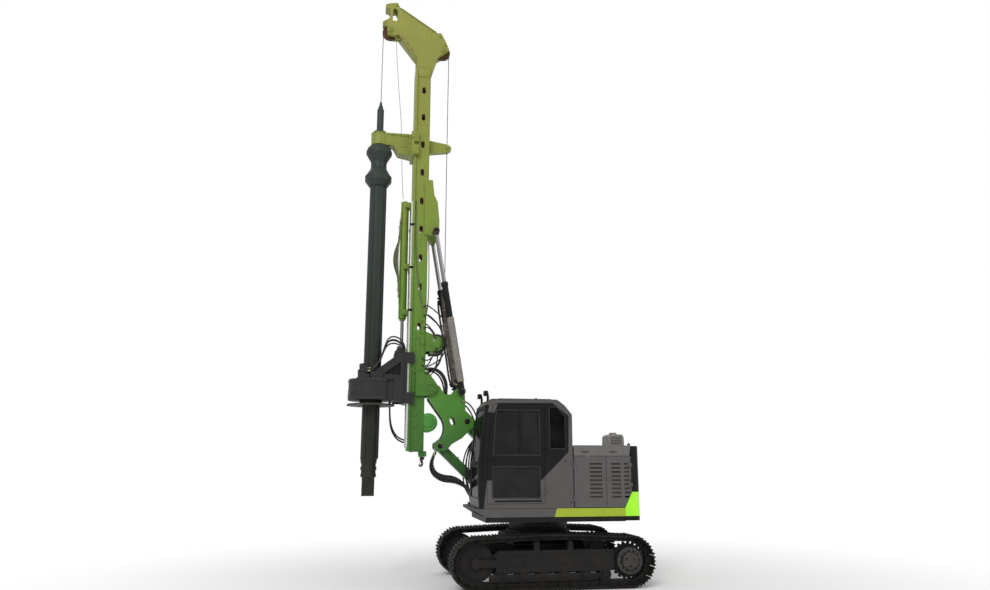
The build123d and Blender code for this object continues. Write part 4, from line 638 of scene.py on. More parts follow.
def bolted(name, bolts, across, material, body):
    """Bolts of one size, measured across their flats."""
    return repeat(name, bolts_tree, bolts, {"Across": across}, material, body)


track_x = 0.95
wheel_y, wheel_z = 1.19, 0.385
shoe_radius, rise, flat_half, shoe_count = 0.353, 0.04, 0.26, 44


def track_line(radius, steps=48):
    """The track's closed side line at a radius from its end wheels, as (y, z) points."""
    reach, lifted = wheel_y - flat_half, radius + rise
    slope = math.acos(radius / math.hypot(lifted, reach)) - math.atan2(reach, lifted)
    points = [(-wheel_y, wheel_z - radius)]
    for step in range(steps + 1):
        angle = -math.pi / 2 + (math.pi - slope) * step / steps
        points.append((wheel_y + radius * math.cos(angle), wheel_z + radius * math.sin(angle)))
    points += [(flat_half, wheel_z + lifted), (-flat_half, wheel_z + lifted)]
    for step in range(steps + 1):
        angle = math.pi / 2 + slope + (math.pi - slope) * step / steps
        points.append((-wheel_y + radius * math.cos(angle), wheel_z + radius * math.sin(angle)))
    return points


def along_track(share, depth=0.0):
    """A point on the track line at a share of its length, sunk by a depth, and its heading."""
    line = track_line(shoe_radius)
    lengths = [math.dist(a, b) for a, b in zip(line, line[1:])]
    left = share * sum(lengths)
    for (a, b), length in zip(zip(line, line[1:]), lengths):
        if left <= length:
            break
        left -= length
    heading = Vector((b[0] - a[0], b[1] - a[1])).normalized()
    y, z = a[0] + heading.x * left, a[1] + heading.y * left
    return (y - heading.y * depth, z + heading.x * depth), heading


track_pitch = sum(math.dist(a, b) for a, b in zip(track_line(shoe_radius),
                                                  track_line(shoe_radius)[1:])) / shoe_count


def link_shape(tree, given):
    """A forged link: a flat bar with round ends, and the pin's end standing out of it."""
    half = sums(tree, "MULTIPLY", given["Pitch"], 0.5)
    bar = add(tree, "GeometryNodeMeshCube", {"Size": add(tree, "ShaderNodeCombineXYZ",
              {"X": given["Thickness"], "Y": given["Pitch"], "Z": given["Depth"]}).outputs[0]})
    parts = [bar.outputs["Mesh"]]
    quarter = (0, math.pi / 2, 0)
    for radius, depth, end in ((0.5, 1.0, -1), (0.5, 1.0, 1), (0.36, 2.4, -1)):
        disc = add(tree, "GeometryNodeMeshCylinder", {"Vertices": 14,
                   "Radius": sums(tree, "MULTIPLY", given["Depth"], radius),
                   "Depth": sums(tree, "MULTIPLY", given["Thickness"], depth)})
        shift = add(tree, "ShaderNodeCombineXYZ",
                    {"Y": sums(tree, "MULTIPLY", half, end)}).outputs[0]
        parts.append(add(tree, "GeometryNodeTransform", {"Geometry": disc.outputs["Mesh"],
                         "Translation": shift, "Rotation": quarter}).outputs[0])
    return joined(tree, parts)


links_tree = set_on_points("track_links", {"Pitch": 0.15, "Thickness": 0.006, "Depth": 0.046},
                           link_shape)
for side_name, side in (("left", 1), ("right", -1)):
    heads, links = [], []
    for number in range(shoe_count):
        for across in (-0.045, 0.045):
            for ahead in (-0.18, 0.18):
                (y, z), heading = along_track((number + 0.5 + ahead) / shoe_count, -0.010)
                heads.append(((side * track_x + across, y, z), (0, heading.y, -heading.x)))
        (y, z), heading = along_track((number + 0.5) / shoe_count, 0.038)
        turn = Matrix.Rotation(math.atan2(heading.y, heading.x), 3, "X")
        for across in (-0.0725, 0.0725):
            links.append(((side * track_x + across, y, z), turn))
    bolted(f"{side_name}_shoe_bolts", heads, 0.022, track_steel,
           "undercarriage")
    repeat(f"{side_name}_track_links", links_tree, links, {"Pitch": track_pitch * 0.98},
           track_steel, "undercarriage")

# -------------------------------------------------- wheels and track frames
# Forged idlers, rollers and sprockets on sealed shafts; box beams of welded plate, painted black,
# with bolted shaft ends, hub covers, a grease port cover and roller guards.
dress(("front_idlers", "track_rollers", "drive_sprockets"), frame_paint)


def closed_between(build, near, far):
    """A solid between two equal outlines of points."""
    first = [build.verts.new(point) for point in near]
    last = [build.verts.new(point) for point in far]
    build.faces.new(first)
    build.faces.new(last[::-1])
    for number in range(len(first)):
        after = (number + 1) % len(first)
        build.faces.new((first[after], first[number], last[number], last[after]))


def slab(build, outline, one, other, axis="x"):
    """A flat part: an outline of (y, z), (x, z) or (x, y) pairs between two faces."""
    low, high = sorted((one, other))
    place = {"x": lambda a, b, d: (d, a, b), "y": lambda a, b, d: (a, d, b),
             "z": lambda a, b, d: (a, b, d)}[axis]
    closed_between(build, [place(a, b, low) for a, b in outline],
                   [place(a, b, high) for a, b in outline])


def box(build, low, high):
    """A straight block between two corners."""
    slab(build, [(low[1], low[2]), (high[1], low[2]), (high[1], high[2]), (low[1], high[2])],
         low[0], high[0])


def rounded(a0, b0, a1, b1, radius, steps=5):
    """A rectangle's outline with round corners."""
    corners = ((a1 - radius, b0 + radius, -90), (a1 - radius, b1 - radius, 0),
               (a0 + radius, b1 - radius, 90), (a0 + radius, b0 + radius, 180))
    return [(a + radius * math.cos(math.radians(start + 90 * step / steps)),
             b + radius * math.sin(math.radians(start + 90 * step / steps)))
            for a, b, start in corners for step in range(steps + 1)]


def bolt_circles(bolts, count, start, *circles):
    """Bolts evenly round circles of (centre, facing, radius), by turns; start is in degrees."""
    for number in range(count):
        angle = math.radians(360 // count * number + start)
        for (x, y, z), facing, radius in circles:
            one, two = radius * math.cos(angle), radius * math.sin(angle)
            bolts.append(((x + one, y + two, z) if facing[2] else (x, y + one, z + two), facing))


cast_cover = rubbed_steel("cast_cover", (36, 35, 35), (104, 102, 98), (96, 94, 90), 0.7, 0.4, 70)
frame_bolts, covers, wheels, drive_covers = [], bmesh.new(), bmesh.new(), bmesh.new()
for side in (1, -1):
    out = (side, 0, 0)
    hub_x, cap_x, beam_x = side * 1.07, side * 1.11, side * 1.055
    turned(drive_covers, [(0.128, -0.001), (0.128, 0.004), (0.118, 0.012), (0.06, 0.016),
                          (0.0, 0.016)],
           (cap_x, wheel_y, wheel_z), out, 40)
    turned(drive_covers, [(0.196, 0), (0.202, 0.002), (0.202, 0.010), (0.190, 0.014), (0.12, 0.014),
                          (0.12, 0)], (hub_x, wheel_y, wheel_z), out, 48)
    bolt_circles(frame_bolts, 12, 8, ((hub_x + side * 0.012, wheel_y, wheel_z), out, 0.149),
                 ((side * (track_x + 0.031), wheel_y, wheel_z), out, 0.205))
    bolt_circles(frame_bolts, 3, 30, ((cap_x + side * 0.014, wheel_y, wheel_z), out, 0.07))
    for ring_x in (side * (track_x + 0.046), side * (track_x - 0.046)):
        way = out if ring_x * side > track_x else (-side, 0, 0)
        turned(wheels, [(0.238, 0), (0.238, 0.008), (0.21, 0.012), (0.12, 0.004), (0, 0.004)],
               (ring_x, -wheel_y, wheel_z), way, 40)
    turned(wheels, [(0.075, 0), (0.075, 0.020), (0.055, 0.026), (0.0, 0.026)],
           (beam_x, -wheel_y, wheel_z), out, 24)
    for number in range(4):
        angle = math.radians(90 * number + 45)
        frame_bolts.append(((beam_x, -wheel_y + 0.095 * math.cos(angle),
                             wheel_z + 0.04 * math.sin(angle)), out))
    for roller_y in (-0.8033, -0.482, -0.1607, 0.1607, 0.482, 0.8033):
        turned(wheels, [(0.034, 0), (0.034, 0.012), (0.028, 0.016), (0.0, 0.016)],
               (beam_x, roller_y, 0.192), out, 18)
        for ahead in (-0.038, 0.038):
            frame_bolts.append(((beam_x, roller_y + ahead, 0.268), out))
    for carrier_y in (-0.26, 0.26):
        turned(wheels, [(0.030, 0), (0.030, 0.012), (0.0, 0.014)], (beam_x, carrier_y, 0.653), out,
               18)
        for ahead in (-0.028, 0.028):
            frame_bolts.append(((beam_x, carrier_y + ahead, 0.585), out))
    plate_x = beam_x + side * 0.008
    for sizes, near, far in (((-0.95, 0.44, 0.45, 0.63, 0.03), side * 0.735, side * 0.745),
                             ((-1.0, 0.115, 0.70, 0.225, 0.02), side * 1.042, side * 1.050),
                             ((-0.66, 0.335, -0.40, 0.455, 0.02), beam_x, plate_x),
                             ((0.02, 0.345, 0.62, 0.375, 0.012), beam_x, plate_x),
                             ((-0.30, 0.49, 0.72, 0.515, 0.010), beam_x, plate_x),
                             ((-0.86, 0.49, -0.42, 0.515, 0.010), beam_x, plate_x)):
        slab(covers, rounded(*sizes), near, far)
    for y in (-0.64, -0.42):
        for z in (0.355, 0.435):
            frame_bolts.append(((plate_x, y, z), out))
    for y in (-0.02, 0.18, 0.38, 0.58):
        frame_bolts.append(((beam_x, y, 0.43), out))
        if y > 0.1:
            frame_bolts.append(((plate_x, y, 0.36), out))
piece(drive_covers, "final_drive_covers", cast_cover, "undercarriage", 0.001)
piece(covers, "track_frame_covers", frame_paint, "undercarriage", 0.0025)
piece(wheels, "wheel_caps", frame_paint, "undercarriage")
bolted("undercarriage_bolts", frame_bolts, 0.026, track_steel, "undercarriage")

# -------------------------------------------------- centre frame and slew ring
# A round pedestal on cast legs, painted black; the slew bearing is bolted down on it through a
# flange and sealed with a rubber lip.
ring_bolts, seal = [], bmesh.new()
bolt_circles(ring_bolts, 36, 5, ((0, 0, 0.800), upward, 0.503))
bolted("slew_ring_bolts", ring_bolts, 0.022, track_steel, "undercarriage")
turned(seal, [(0.481, 0.862), (0.487, 0.868), (0.487, 0.884), (0.481, 0.890), (0.486, 0.915),
              (0.490, 0.925), (0.486, 0.935), (0.479, 0.936), (0.479, 0.862)], (0, 0, 0), upward,
       96)
piece(seal, "slew_seal", hose_rubber, "undercarriage")

# -------------------------------------------------- deck and side skirts
# The turning platform is welded from thick plate and painted black; folded skirts hide its edges,
# sprayed grey forward and lime behind a slanted line. Chequer plate covers the walkways.
def inside(tree, y, z, outline):
    """1 within a convex (y, z) outline, else 0."""
    turn = sum(a[0] * b[1] - b[0] * a[1] for a, b in zip(outline, outline[1:] + outline[:1]))
    nearest = None
    for (ya, za), (yb, zb) in zip(outline, outline[1:] + outline[:1]):
        length = math.dist((ya, za), (yb, zb)) * (1 if turn > 0 else -1)
        across, up = (za - zb) / length, (yb - ya) / length
        far = sums(tree, "MULTIPLY_ADD", y, across, sums(tree, "MULTIPLY_ADD", z, up,
                                                          -(across * ya + up * za)))
        nearest = far if nearest is None else sums(tree, "MINIMUM", nearest, far)
    return between(tree, nearest, -0.0006, 0.0006)


def toned(tree, height, tones):
    """A colour that follows a height: (z, colour) pairs, lowest first."""
    low, high = tones[0][0], tones[-1][0]
    ramp = add(tree, "ShaderNodeValToRGB", {0: between(tree, height, low, high)})
    while len(ramp.color_ramp.elements) < len(tones):
        ramp.color_ramp.elements.new(0.5)
    for element, (z, tone) in zip(ramp.color_ramp.elements, tones):
        element.position = (z - low) / (high - low)
        element.color = colour(*tone)
    return ramp.outputs["Color"]


def paint(name, base, roughness=0.42, areas=(), height_tones=None, dusty=0.22, chip=(74, 70, 66),
          chipped=0.6, gloss=0.25):
    """Sprayed two-pack paint over primer. Areas are (colour, outlines of (y, z)) sprayed over the
    base, and the (z, colour) pairs set a colour that follows height; dust settles on top, and edges
    wear through."""
    made, tree, shader, spot = finish(name, base, roughness, Coat_Weight=gloss, Coat_Roughness=0.2)
    parts = add(tree, "ShaderNodeSeparateXYZ", {0: spot}).outputs
    skin = colour(*base)
    if height_tones:
        skin = toned(tree, parts["Z"], height_tones)
    for tone, outlines in areas:
        share = None
        for outline in outlines:
            part = inside(tree, parts["Y"], parts["Z"], outline)
            share = part if share is None else sums(tree, "MAXIMUM", share, part)
        skin = mixed(tree, share, skin, colour(*tone))
    cloud = noise(tree, spot, 2.6, 6)
    streak = noise(tree, spot, 5, 5, (9, 9, 0.7))
    speck = noise(tree, spot, 95, 4)
    darker = between(tree, sums(tree, "ADD", cloud, sums(tree, "MULTIPLY", streak, 0.6)), 0.55,
                     1.05, 0, 0.20)
    skin = mixed(tree, darker, skin, (0.012, 0.012, 0.012, 1))
    faded = add(tree, "ShaderNodeVectorMath", {0: skin, "Scale": 1.22},
                operation="SCALE").outputs[0]
    skin = mixed(tree, between(tree, cloud, 0.52, 0.78), skin, faded)
    up = add(tree, "ShaderNodeSeparateXYZ",
             {0: add(tree, "ShaderNodeNewGeometry").outputs["Normal"]}).outputs["Z"]
    settled = sums(tree, "MULTIPLY", between(tree, up, 0.25, 0.95),
                   between(tree, cloud, 0.3, 0.62, 0.25, 1.0))
    settled = sums(tree, "ADD", sums(tree, "MULTIPLY", settled, 1.3),
                   sums(tree, "MULTIPLY", between(tree, streak, 0.58, 0.8), 0.35))
    settled = sums(tree, "MULTIPLY", settled, dusty, clamp=True)
    skin = mixed(tree, settled, skin, colour(148, 140, 124))
    bare = sums(tree, "MULTIPLY", edge_of(tree, 0.005), between(tree, speck, 0.42, 0.60))
    bare = sums(tree, "MULTIPLY", bare, chipped)
    skin = mixed(tree, bare, skin, colour(*chip))
    tree.links.new(skin, shader.inputs["Base Color"])
    lightness = add(tree, "ShaderNodeRGBToBW", {0: skin}).outputs[0]
    shine = between(tree, lightness, 0.012, 0.12, 0.10, 0.45)
    tree.links.new(shine, shader.inputs["Specular IOR Level"])
    tree.links.new(sums(tree, "MULTIPLY", shine, gloss * 1.6), shader.inputs["Coat Weight"])
    rough = sums(tree, "ADD", between(tree, speck, 0.3, 0.7, roughness - 0.06, roughness + 0.08),
                 sums(tree, "ADD", sums(tree, "MULTIPLY", settled, 0.9),
                      sums(tree, "MULTIPLY", bare, 0.2)))
    tree.links.new(rough, shader.inputs["Roughness"])
    relief = sums(tree, "ADD", sums(tree, "MULTIPLY", noise(tree, spot, 420, 2), 0.25),
                  sums(tree, "MULTIPLY", bare, -0.6))
    bump(tree, shader, relief, 0.0005)
    return made


grey, black, lime = (83, 80, 79), (27, 26, 27), (168, 250, 40)
deck_paint = paint("deck_paint", (30, 29, 29), 0.5, dusty=0.3)
skirt_paint = paint("skirt_paint", grey, 0.42, dusty=0.12,
                    areas=[((160, 178, 30), [[(-0.02, 1.0), (2, 1.0), (2, 1.3), (0.075, 1.3)]])])
dress(("deck",), deck_paint)
dress(("side_skirts",), skirt_paint)


def chequer(name, base):
    """Chequer plate: raised bars laid both ways, worn bright on top."""
    made, tree, shader, spot = finish(name, base, 0.5, 0.5)
    grain = noise(tree, spot, 60, 4)
    raised = None
    for turn, shift in ((0.785, 0.0), (-0.785, 0.0144)):
        cells = add(tree, "ShaderNodeMapping", {"Vector": spot, "Rotation": (0, 0, turn),
                    "Location": (shift, shift, 0), "Scale": (34.7, 34.7, 34.7)}).outputs[0]
        parts = add(tree, "ShaderNodeSeparateXYZ", {0: cells}).outputs
        x = sums(tree, "ABSOLUTE", sums(tree, "SUBTRACT", sums(tree, "FRACT", parts["X"]), 0.5))
        y = sums(tree, "ABSOLUTE", sums(tree, "SUBTRACT", sums(tree, "FRACT", parts["Y"]), 0.5))
        lozenge = sums(tree, "MULTIPLY", between(tree, x, 0.40, 0.30), between(tree, y, 0.14, 0.07))
        raised = lozenge if raised is None else sums(tree, "MAXIMUM", raised, lozenge)
    worn = sums(tree, "MULTIPLY", raised, between(tree, grain, 0.35, 0.6))
    tree.links.new(mixed(tree, worn, colour(*base), colour(128, 126, 122)),
                   shader.inputs["Base Color"])
    tree.links.new(between(tree, grain, 0.3, 0.7, 0.4, 0.7), shader.inputs["Roughness"])
    bump(tree, shader, raised, 0.0025)
    return made


tread_plate = chequer("tread_plate", (52, 51, 50))
walks = bmesh.new()
slab(walks, rounded(-1.12, -0.48, -0.34, -0.21, 0.02), 1.860, 1.864, "z")
slab(walks, rounded(-1.13, -0.82, -0.34, -0.69, 0.015), 1.330, 1.334, "z")
slab(walks, rounded(-1.13, -0.67, -0.34, -0.51, 0.015), 1.500, 1.504, "z")
slab(walks, rounded(-0.24, -0.62, 0.24, 0.10, 0.02), 1.180, 1.185, "z")
piece(walks, "chequer_plates", tread_plate, "upperstructure", 0.001)

deck_bolts, manifold = [], bmesh.new()
for side in (1, -1):
    for y in (-1.02, -0.72, -0.42, -0.12, 0.18, 0.48, 0.78, 1.02):
        if side > 0 or y > -0.8:
            deck_bolts.append(((side * 1.150, y, 1.075), (side, 0, 0)))
slab(manifold, rounded(-0.105, -1.165, 0.105, -1.075, 0.012), 1.180, 1.222, "z")
for side in (1, -1):
    slab(manifold, rounded(side * 0.152 - 0.034, -1.13, side * 0.152 + 0.034, -1.07, 0.01), 1.180,
         1.200, "z")
piece(manifold, "hose_manifold", deck_paint, "upperstructure", 0.002)

# -------------------------------------------------- cab shell
# Pressed and rolled steel sections, welded and sprayed: black round the glass and at the front,
# grey along the roof and below. Rubber seals hold the panes.
glazing = [[(-0.934, 1.581), (-0.211, 1.581), (0.233, 2.017), (0.244, 2.568), (-0.011, 2.767),
            (-0.874, 2.755), (-0.934, 2.602)],
           [(-0.969, 1.326), (-0.214, 1.321), (-0.214, 1.60), (-0.969, 1.60)],
           [(-1.3, 1.59), (-0.92, 1.59), (-0.92, 2.600), (-1.3, 2.665)],
           [(-1.3, 1.1), (-1.100, 1.1), (-1.046, 1.60), (-1.3, 1.60)],
           [(-1.3, 2.60), (-1.041, 2.60), (-1.010, 2.72), (-1.3, 2.78)]]
cab_paint = paint("cab_paint", grey, 0.38, areas=[(black, glazing)], dusty=0.16, chipped=0.4)
black_paint = paint("black_paint", black, 0.36, dusty=0.18)
dress(("cab_shell", "cab_door"), cab_paint)


def tinted(name, tint, dirt, see_through, glare=0.5):
    """Toughened glass, tinted through, with a film of dust wiped thin in the middle."""
    made, tree, shader, spot = finish(name, tint, 0.06, IOR=1.2, Alpha=see_through,
                                       Specular_IOR_Level=glare)
    film = between(tree, noise(tree, spot, 3.2, 6), 0.42, 0.8, 0.0, dirt)
    tree.links.new(mixed(tree, film, colour(*tint), colour(150, 146, 138)),
                   shader.inputs["Base Color"])
    tree.links.new(between(tree, film, 0, dirt, 0.02, 0.16), shader.inputs["Roughness"])
    return made


glass = tinted("tinted_glass", (14, 15, 16), 0.04, 0.94, 0.04)
door_glass = tinted("door_glass", (36, 37, 38), 0.06, 0.8)
dress(("cab_glass",), glass)
dress(("cab_door_glass",), door_glass)
trim_rubber = rubber("trim_rubber", (20, 20, 21), (70, 66, 60))


def frame_strip(build, outline, one, other, width, axis="x"):
    """A flat strip following a closed outline, inset by its width; open in the middle."""
    low, high = sorted((one, other))
    count = len(outline)
    centre = Vector((sum(a for a, _ in outline) / count, sum(b for _, b in outline) / count))
    inner = []
    for number, point in enumerate(outline):
        before, after = Vector(outline[number - 1]), Vector(outline[(number + 1) % count])
        here = Vector(point)
        back, ahead = (here - before).normalized(), (after - here).normalized()
        side_one, side_two = Vector((-back.y, back.x)), Vector((-ahead.y, ahead.x))
        if side_one.dot(centre - here) < 0:
            side_one, side_two = -side_one, -side_two
        lean = (side_one + side_two).normalized()
        inner.append(here + lean * width / max(0.3, lean.dot(side_one)))
    place = {"x": lambda a, b, d: (d, a, b), "y": lambda a, b, d: (a, d, b)}[axis]
    rows = [[build.verts.new(place(p[0], p[1], d)) for p in line]
            for line, d in ((outline, low), (outline, high), (inner, high), (inner, low))]
    for row, following in zip(rows, rows[1:] + rows[:1]):
        for number in range(count):
            after = (number + 1) % count
            build.faces.new((row[number], row[after], following[after], following[number]))


quarter_pane = [(-0.07, 2.06), (-0.07, 2.71), (0.06, 2.71), (0.195, 2.56), (0.195, 2.06)]
seals = bmesh.new()
frame_strip(seals, quarter_pane, 1.128, 1.144, 0.014)
for y0, y1, z0, z1 in ((-1.02, -0.42, 1.90, 2.64), (-0.36, 0.16, 1.90, 2.56)):
    frame_strip(seals, rounded(y0, z0, y1, z1, 0.008, 1), 0.266, 0.284, 0.014)
frame_strip(seals, rounded(0.352, 2.15, 1.06, 2.50, 0.008, 1), 0.278, 0.296, 0.014, "y")
frame_strip(seals, rounded(0.332, 1.32, 1.08, 1.80, 0.008, 1), -1.176, -1.160, 0.014, "y")
piece(seals, "cab_window_seals", trim_rubber, "upperstructure", 0.002)

roof, cab_bolts = bmesh.new(), []
slab(roof, rounded(0.34, -0.86, 1.07, 0.02, 0.05), 2.810, 2.826, "z")
slab(roof, rounded(0.46, -0.74, 0.95, -0.20, 0.04), 2.826, 2.842, "z")
for x in (0.40, 1.01):
    slab(roof, rounded(x - 0.018, -0.84, x + 0.018, 0.0, 0.015), 2.826, 2.838, "z")
for x in (0.285, 1.127):
    slab(roof, rounded(x - 0.012, -0.98, x + 0.012, 0.07, 0.010), 2.810, 2.822, "z")
piece(roof, "cab_roof_panel", cab_paint, "upperstructure", 0.006)
fittings = bmesh.new()
for x in (0.50, 0.91):
    slab(fittings, rounded(x - 0.03, -0.235, x + 0.03, -0.205, 0.01), 2.842, 2.856, "z")
wiper = bmesh.new()
turned(wiper, [(0.020, 0), (0.020, 0.018), (0.012, 0.024), (0, 0.024)], (0.93, -1.181, 1.845),
       (0, -1, 0.12), 18)
for start, end, half, deep in (((0.93, -1.196, 1.85), (0.70, -1.140, 2.42), 0.006, 0.005),
                               ((0.79, -1.168, 2.10), (0.62, -1.108, 2.62), 0.007, 0.010)):
    run = Vector(end) - Vector(start)
    side_way = run.cross(Vector((0, -1, 0.12))).normalized() * half
    out_way = Vector((0, -1, 0.12)).normalized() * deep
    corners = [Vector(start) - side_way, Vector(start) + side_way, Vector(end) + side_way * 0.7,
               Vector(end) - side_way * 0.7]
    near = [wiper.verts.new(corner) for corner in corners]
    far = [wiper.verts.new(corner + out_way) for corner in corners]
    wiper.faces.new(near[::-1])
    wiper.faces.new(far)
    for number in range(4):
        after = (number + 1) % 4
        wiper.faces.new((near[number], near[after], far[after], far[number]))
piece(wiper, "windscreen_wiper", trim_rubber, "upperstructure")
piece(fittings, "roof_hatch_latches", trim_rubber, "upperstructure", 0.003)


def bar(build, points, radius, sides=12):
    """A round bar bent along points, with closed ends."""
    line = [Vector(point) for point in points]
    across, rows = None, []
    for number, point in enumerate(line):
        before, after = line[max(number - 1, 0)], line[min(number + 1, len(line) - 1)]
        ahead = (after - before).normalized()
        across = ahead.orthogonal().normalized() if across is None else \
            (across - ahead * across.dot(ahead)).normalized()
        other = ahead.cross(across)
        rows.append([build.verts.new(point + (across * math.cos(math.tau * k / sides)
                                              + other * math.sin(math.tau * k / sides)) * radius)
                     for k in range(sides)])
    for low, high in zip(rows, rows[1:]):
        for k in range(sides):
            build.faces.new((low[k], low[(k + 1) % sides], high[(k + 1) % sides], high[k]))
    build.faces.new(rows[0][::-1])
    build.faces.new(rows[-1])


def bent(points, radius, steps=5):
    """Points with their corners rounded, for a bent bar or pipe."""
    line = [Vector(point) for point in points]
    made = [line[0]]
    for before, here, after in zip(line, line[1:], line[2:]):
        back, on = before - here, after - here
        cut = min(radius, back.length * 0.45, on.length * 0.45)
        start, end = here + back.normalized() * cut, here + on.normalized() * cut
        for step in range(steps + 1):
            share = step / steps
            made.append(start.lerp(here, share).lerp(here.lerp(end, share), share))
    return made + [line[-1]]


grab = bmesh.new()
bar(grab, bent([(1.146, -1.108, 1.62), (1.166, -1.108, 1.62), (1.166, -1.098, 2.30),
                (1.140, -1.098, 2.30)],
               0.03), 0.009)
piece(grab, "cab_grab_bars", black_paint, "upperstructure")
for y, z in ((0.186, 1.885), (0.262, 1.262)):
    cab_bolts.append(((1.150, y, z), to_left))
for y in (-0.95, -0.55, -0.15, 0.22):
    cab_bolts.append(((0.262, y, 1.24), to_right))
for x in (0.36, 0.55, 0.86, 1.05):
    cab_bolts.append(((x, 0.300, 1.26), rearward))
    cab_bolts.append(((x, -0.02, 2.826), upward))
    cab_bolts.append(((x, -0.82, 2.826), upward))
bolted("cab_bolts", cab_bolts, 0.017, black_paint, "upperstructure")
bolted("skirt_bolts", deck_bolts, 0.014, skirt_paint, "upperstructure")

# -------------------------------------------------- cab door
# A welded tube frame with two bonded panes; the upper one slides, so a dark bar divides it. A
# paddle handle with a lock, a rubber bulb seal and a kick strip along the bottom.
door_seals, door_trim = bmesh.new(), bmesh.new()
upper_pane = [(-0.96, 1.96), (-0.905, 2.655), (-0.215, 2.655), (-0.215, 1.96)]
lower_pane = [(-0.96, 1.33), (-0.96, 1.80), (-0.215, 1.80), (-0.215, 1.33)]
for pane in (upper_pane, lower_pane):
    frame_strip(door_seals, pane, 1.136, 1.1515, 0.016)
    frame_strip(door_seals, pane, 1.111, 1.122, 0.016)
piece(door_seals, "door_window_seals", trim_rubber, "cab_door", 0.002)
box(door_trim, (1.1345, -0.546, 1.976), (1.146, -0.516, 2.640))
box(door_trim, (1.1345, -0.944, 1.976), (1.142, -0.230, 1.990))
box(door_trim, (1.1500, -0.93, 1.272), (1.1525, -0.20, 1.300))
turned(door_trim, [(0.015, 0), (0.015, 0.006), (0.009, 0.008), (0, 0.008)], (1.150, -0.945, 1.885),
       to_left, 18)
slab(door_trim, rounded(-1.012, 1.862, -0.885, 1.952, 0.02), 1.1495, 1.1525)
box(door_trim, (1.097, -0.58, 1.50), (1.110, -0.30, 1.53))
piece(door_trim, "door_trim", black_paint, "cab_door", 0.0015)

# -------------------------------------------------- inside the cab
# Suspension seat with foam cushions in woven cloth, moulded consoles and a monitor, a rubber mat.
# Each cushion is cut foam under a sewn cover, fuller in the middle and drawn in at its piping.
moulded = rubber("moulded_plastic", (44, 44, 46), (84, 82, 78))
dress(("control_consoles",), moulded)


def cloth(name, base, thread):
    """Woven seat cloth: crossed threads with a soft sheen, faded where it is sat on."""
    made, tree, shader, spot = finish(name, base, 0.85, Sheen_Weight=0.35, Sheen_Roughness=0.5)
    weave = None
    for axis in ("X", "Y", "Z"):
        part = add(tree, "ShaderNodeSeparateXYZ", {0: spot}).outputs[axis]
        wave = sums(tree, "SINE", sums(tree, "MULTIPLY", part, 1700))
        weave = wave if weave is None else sums(tree, "MULTIPLY", weave, wave)
    raised = between(tree, weave, -0.6, 0.6)
    worn = between(tree, noise(tree, spot, 7, 5), 0.4, 0.75)
    cloth_colour = mixed(tree, raised, colour(*base), colour(*thread))
    tree.links.new(mixed(tree, sums(tree, "MULTIPLY", worn, 0.3), cloth_colour,
                         colour(112, 108, 100)),
                   shader.inputs["Base Color"])
    bump(tree, shader, raised, 0.0008)
    return made


seat_cloth = cloth("seat_cloth", (38, 39, 43), (62, 63, 68))
seat_vinyl = rubber("seat_vinyl", (30, 30, 32), (72, 70, 66))


def cushion(name, outline, low_x, high_x, swell, grooves=()):
    """A foam pad: its side outline (y, z) across x, blown up by cloth simulation, then sewn in."""
    shape = bmesh.new()
    slab(shape, outline, low_x + 0.012, high_x - 0.012)
    bmesh.ops.recalc_face_normals(shape, faces=shape.faces)
    bmesh.ops.bevel(shape, geom=list(shape.edges), offset=0.028, segments=3, affect="EDGES",
                    profile=0.5)
    mesh = bpy.data.meshes.new(name)
    shape.to_mesh(mesh)
    shape.free()
    pad = placed(name, mesh)
    remesh = pad.modifiers.new("even_faces", "REMESH")
    remesh.mode = "VOXEL"
    remesh.voxel_size = 0.012
    bpy.context.view_layer.update()
    even = shaped(pad)
    pad.modifiers.clear()
    pad.data = even
    start = [vertex.co.copy() for vertex in even.vertices]
    blown = pad.modifiers.new("blown", "CLOTH")
    blown.settings.use_pressure = True
    blown.settings.uniform_pressure_force = 4
    blown.settings.effector_weights.gravity = 0
    blown.point_cache.frame_end = 20
    for frame_number in range(1, 21):
        bpy.context.scene.frame_set(frame_number)
    puffed = shaped(pad)
    pad.modifiers.clear()
    places = [vertex.co.copy() for vertex in puffed.vertices]
    bpy.data.meshes.remove(puffed)
    bpy.context.scene.frame_set(1)
    for vertex, first, last in zip(even.vertices, start, places):
        step = last - first
        vertex.co = first + step * min(1.0, swell / max(step.length, 1e-6))
        for value, direction in grooves:
            near = abs(vertex.co.dot(direction) - value)
            if near < 0.02:
                vertex.co -= vertex.normal * 0.007 * (1 - near / 0.02) ** 2
    even.materials.clear()
    even.materials.append(seat_cloth)
    round_off = pad.modifiers.new("soften", "SUBSURF")
    round_off.levels = round_off.render_levels = 1
    even.shade_smooth()
    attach(pad, "upperstructure")
    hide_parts("operator_seat")
    return pad


seat_x = 0.706
width_way, rise_way = Vector((1, 0, 0)), Vector((0, 0, 1))
cushion("seat_cushion", [(-0.455, 1.545), (-0.455, 1.60), (-0.42, 1.625), (-0.05, 1.615),
                         (0.0, 1.60), (0.0, 1.545)],
        0.466, 0.946, 0.014, [(seat_x - 0.13, width_way), (seat_x + 0.13, width_way)])
cushion("seat_backrest", [(-0.02, 1.65), (0.055, 1.65), (0.150, 2.21), (0.085, 2.21),
                          (0.015, 1.95)],
        0.471, 0.941, 0.014, [(seat_x - 0.13, width_way), (seat_x + 0.13, width_way),
                                   (1.93, rise_way)])
cushion("seat_headrest", [(0.098, 2.245), (0.152, 2.245), (0.170, 2.375), (0.122, 2.375)], 0.576,
        0.836, 0.010)
carcase, seat_steel = bmesh.new(), bmesh.new()
slab(carcase, rounded(0.520, -0.41, 0.892, 0.02, 0.03), 1.232, 1.27, "z")
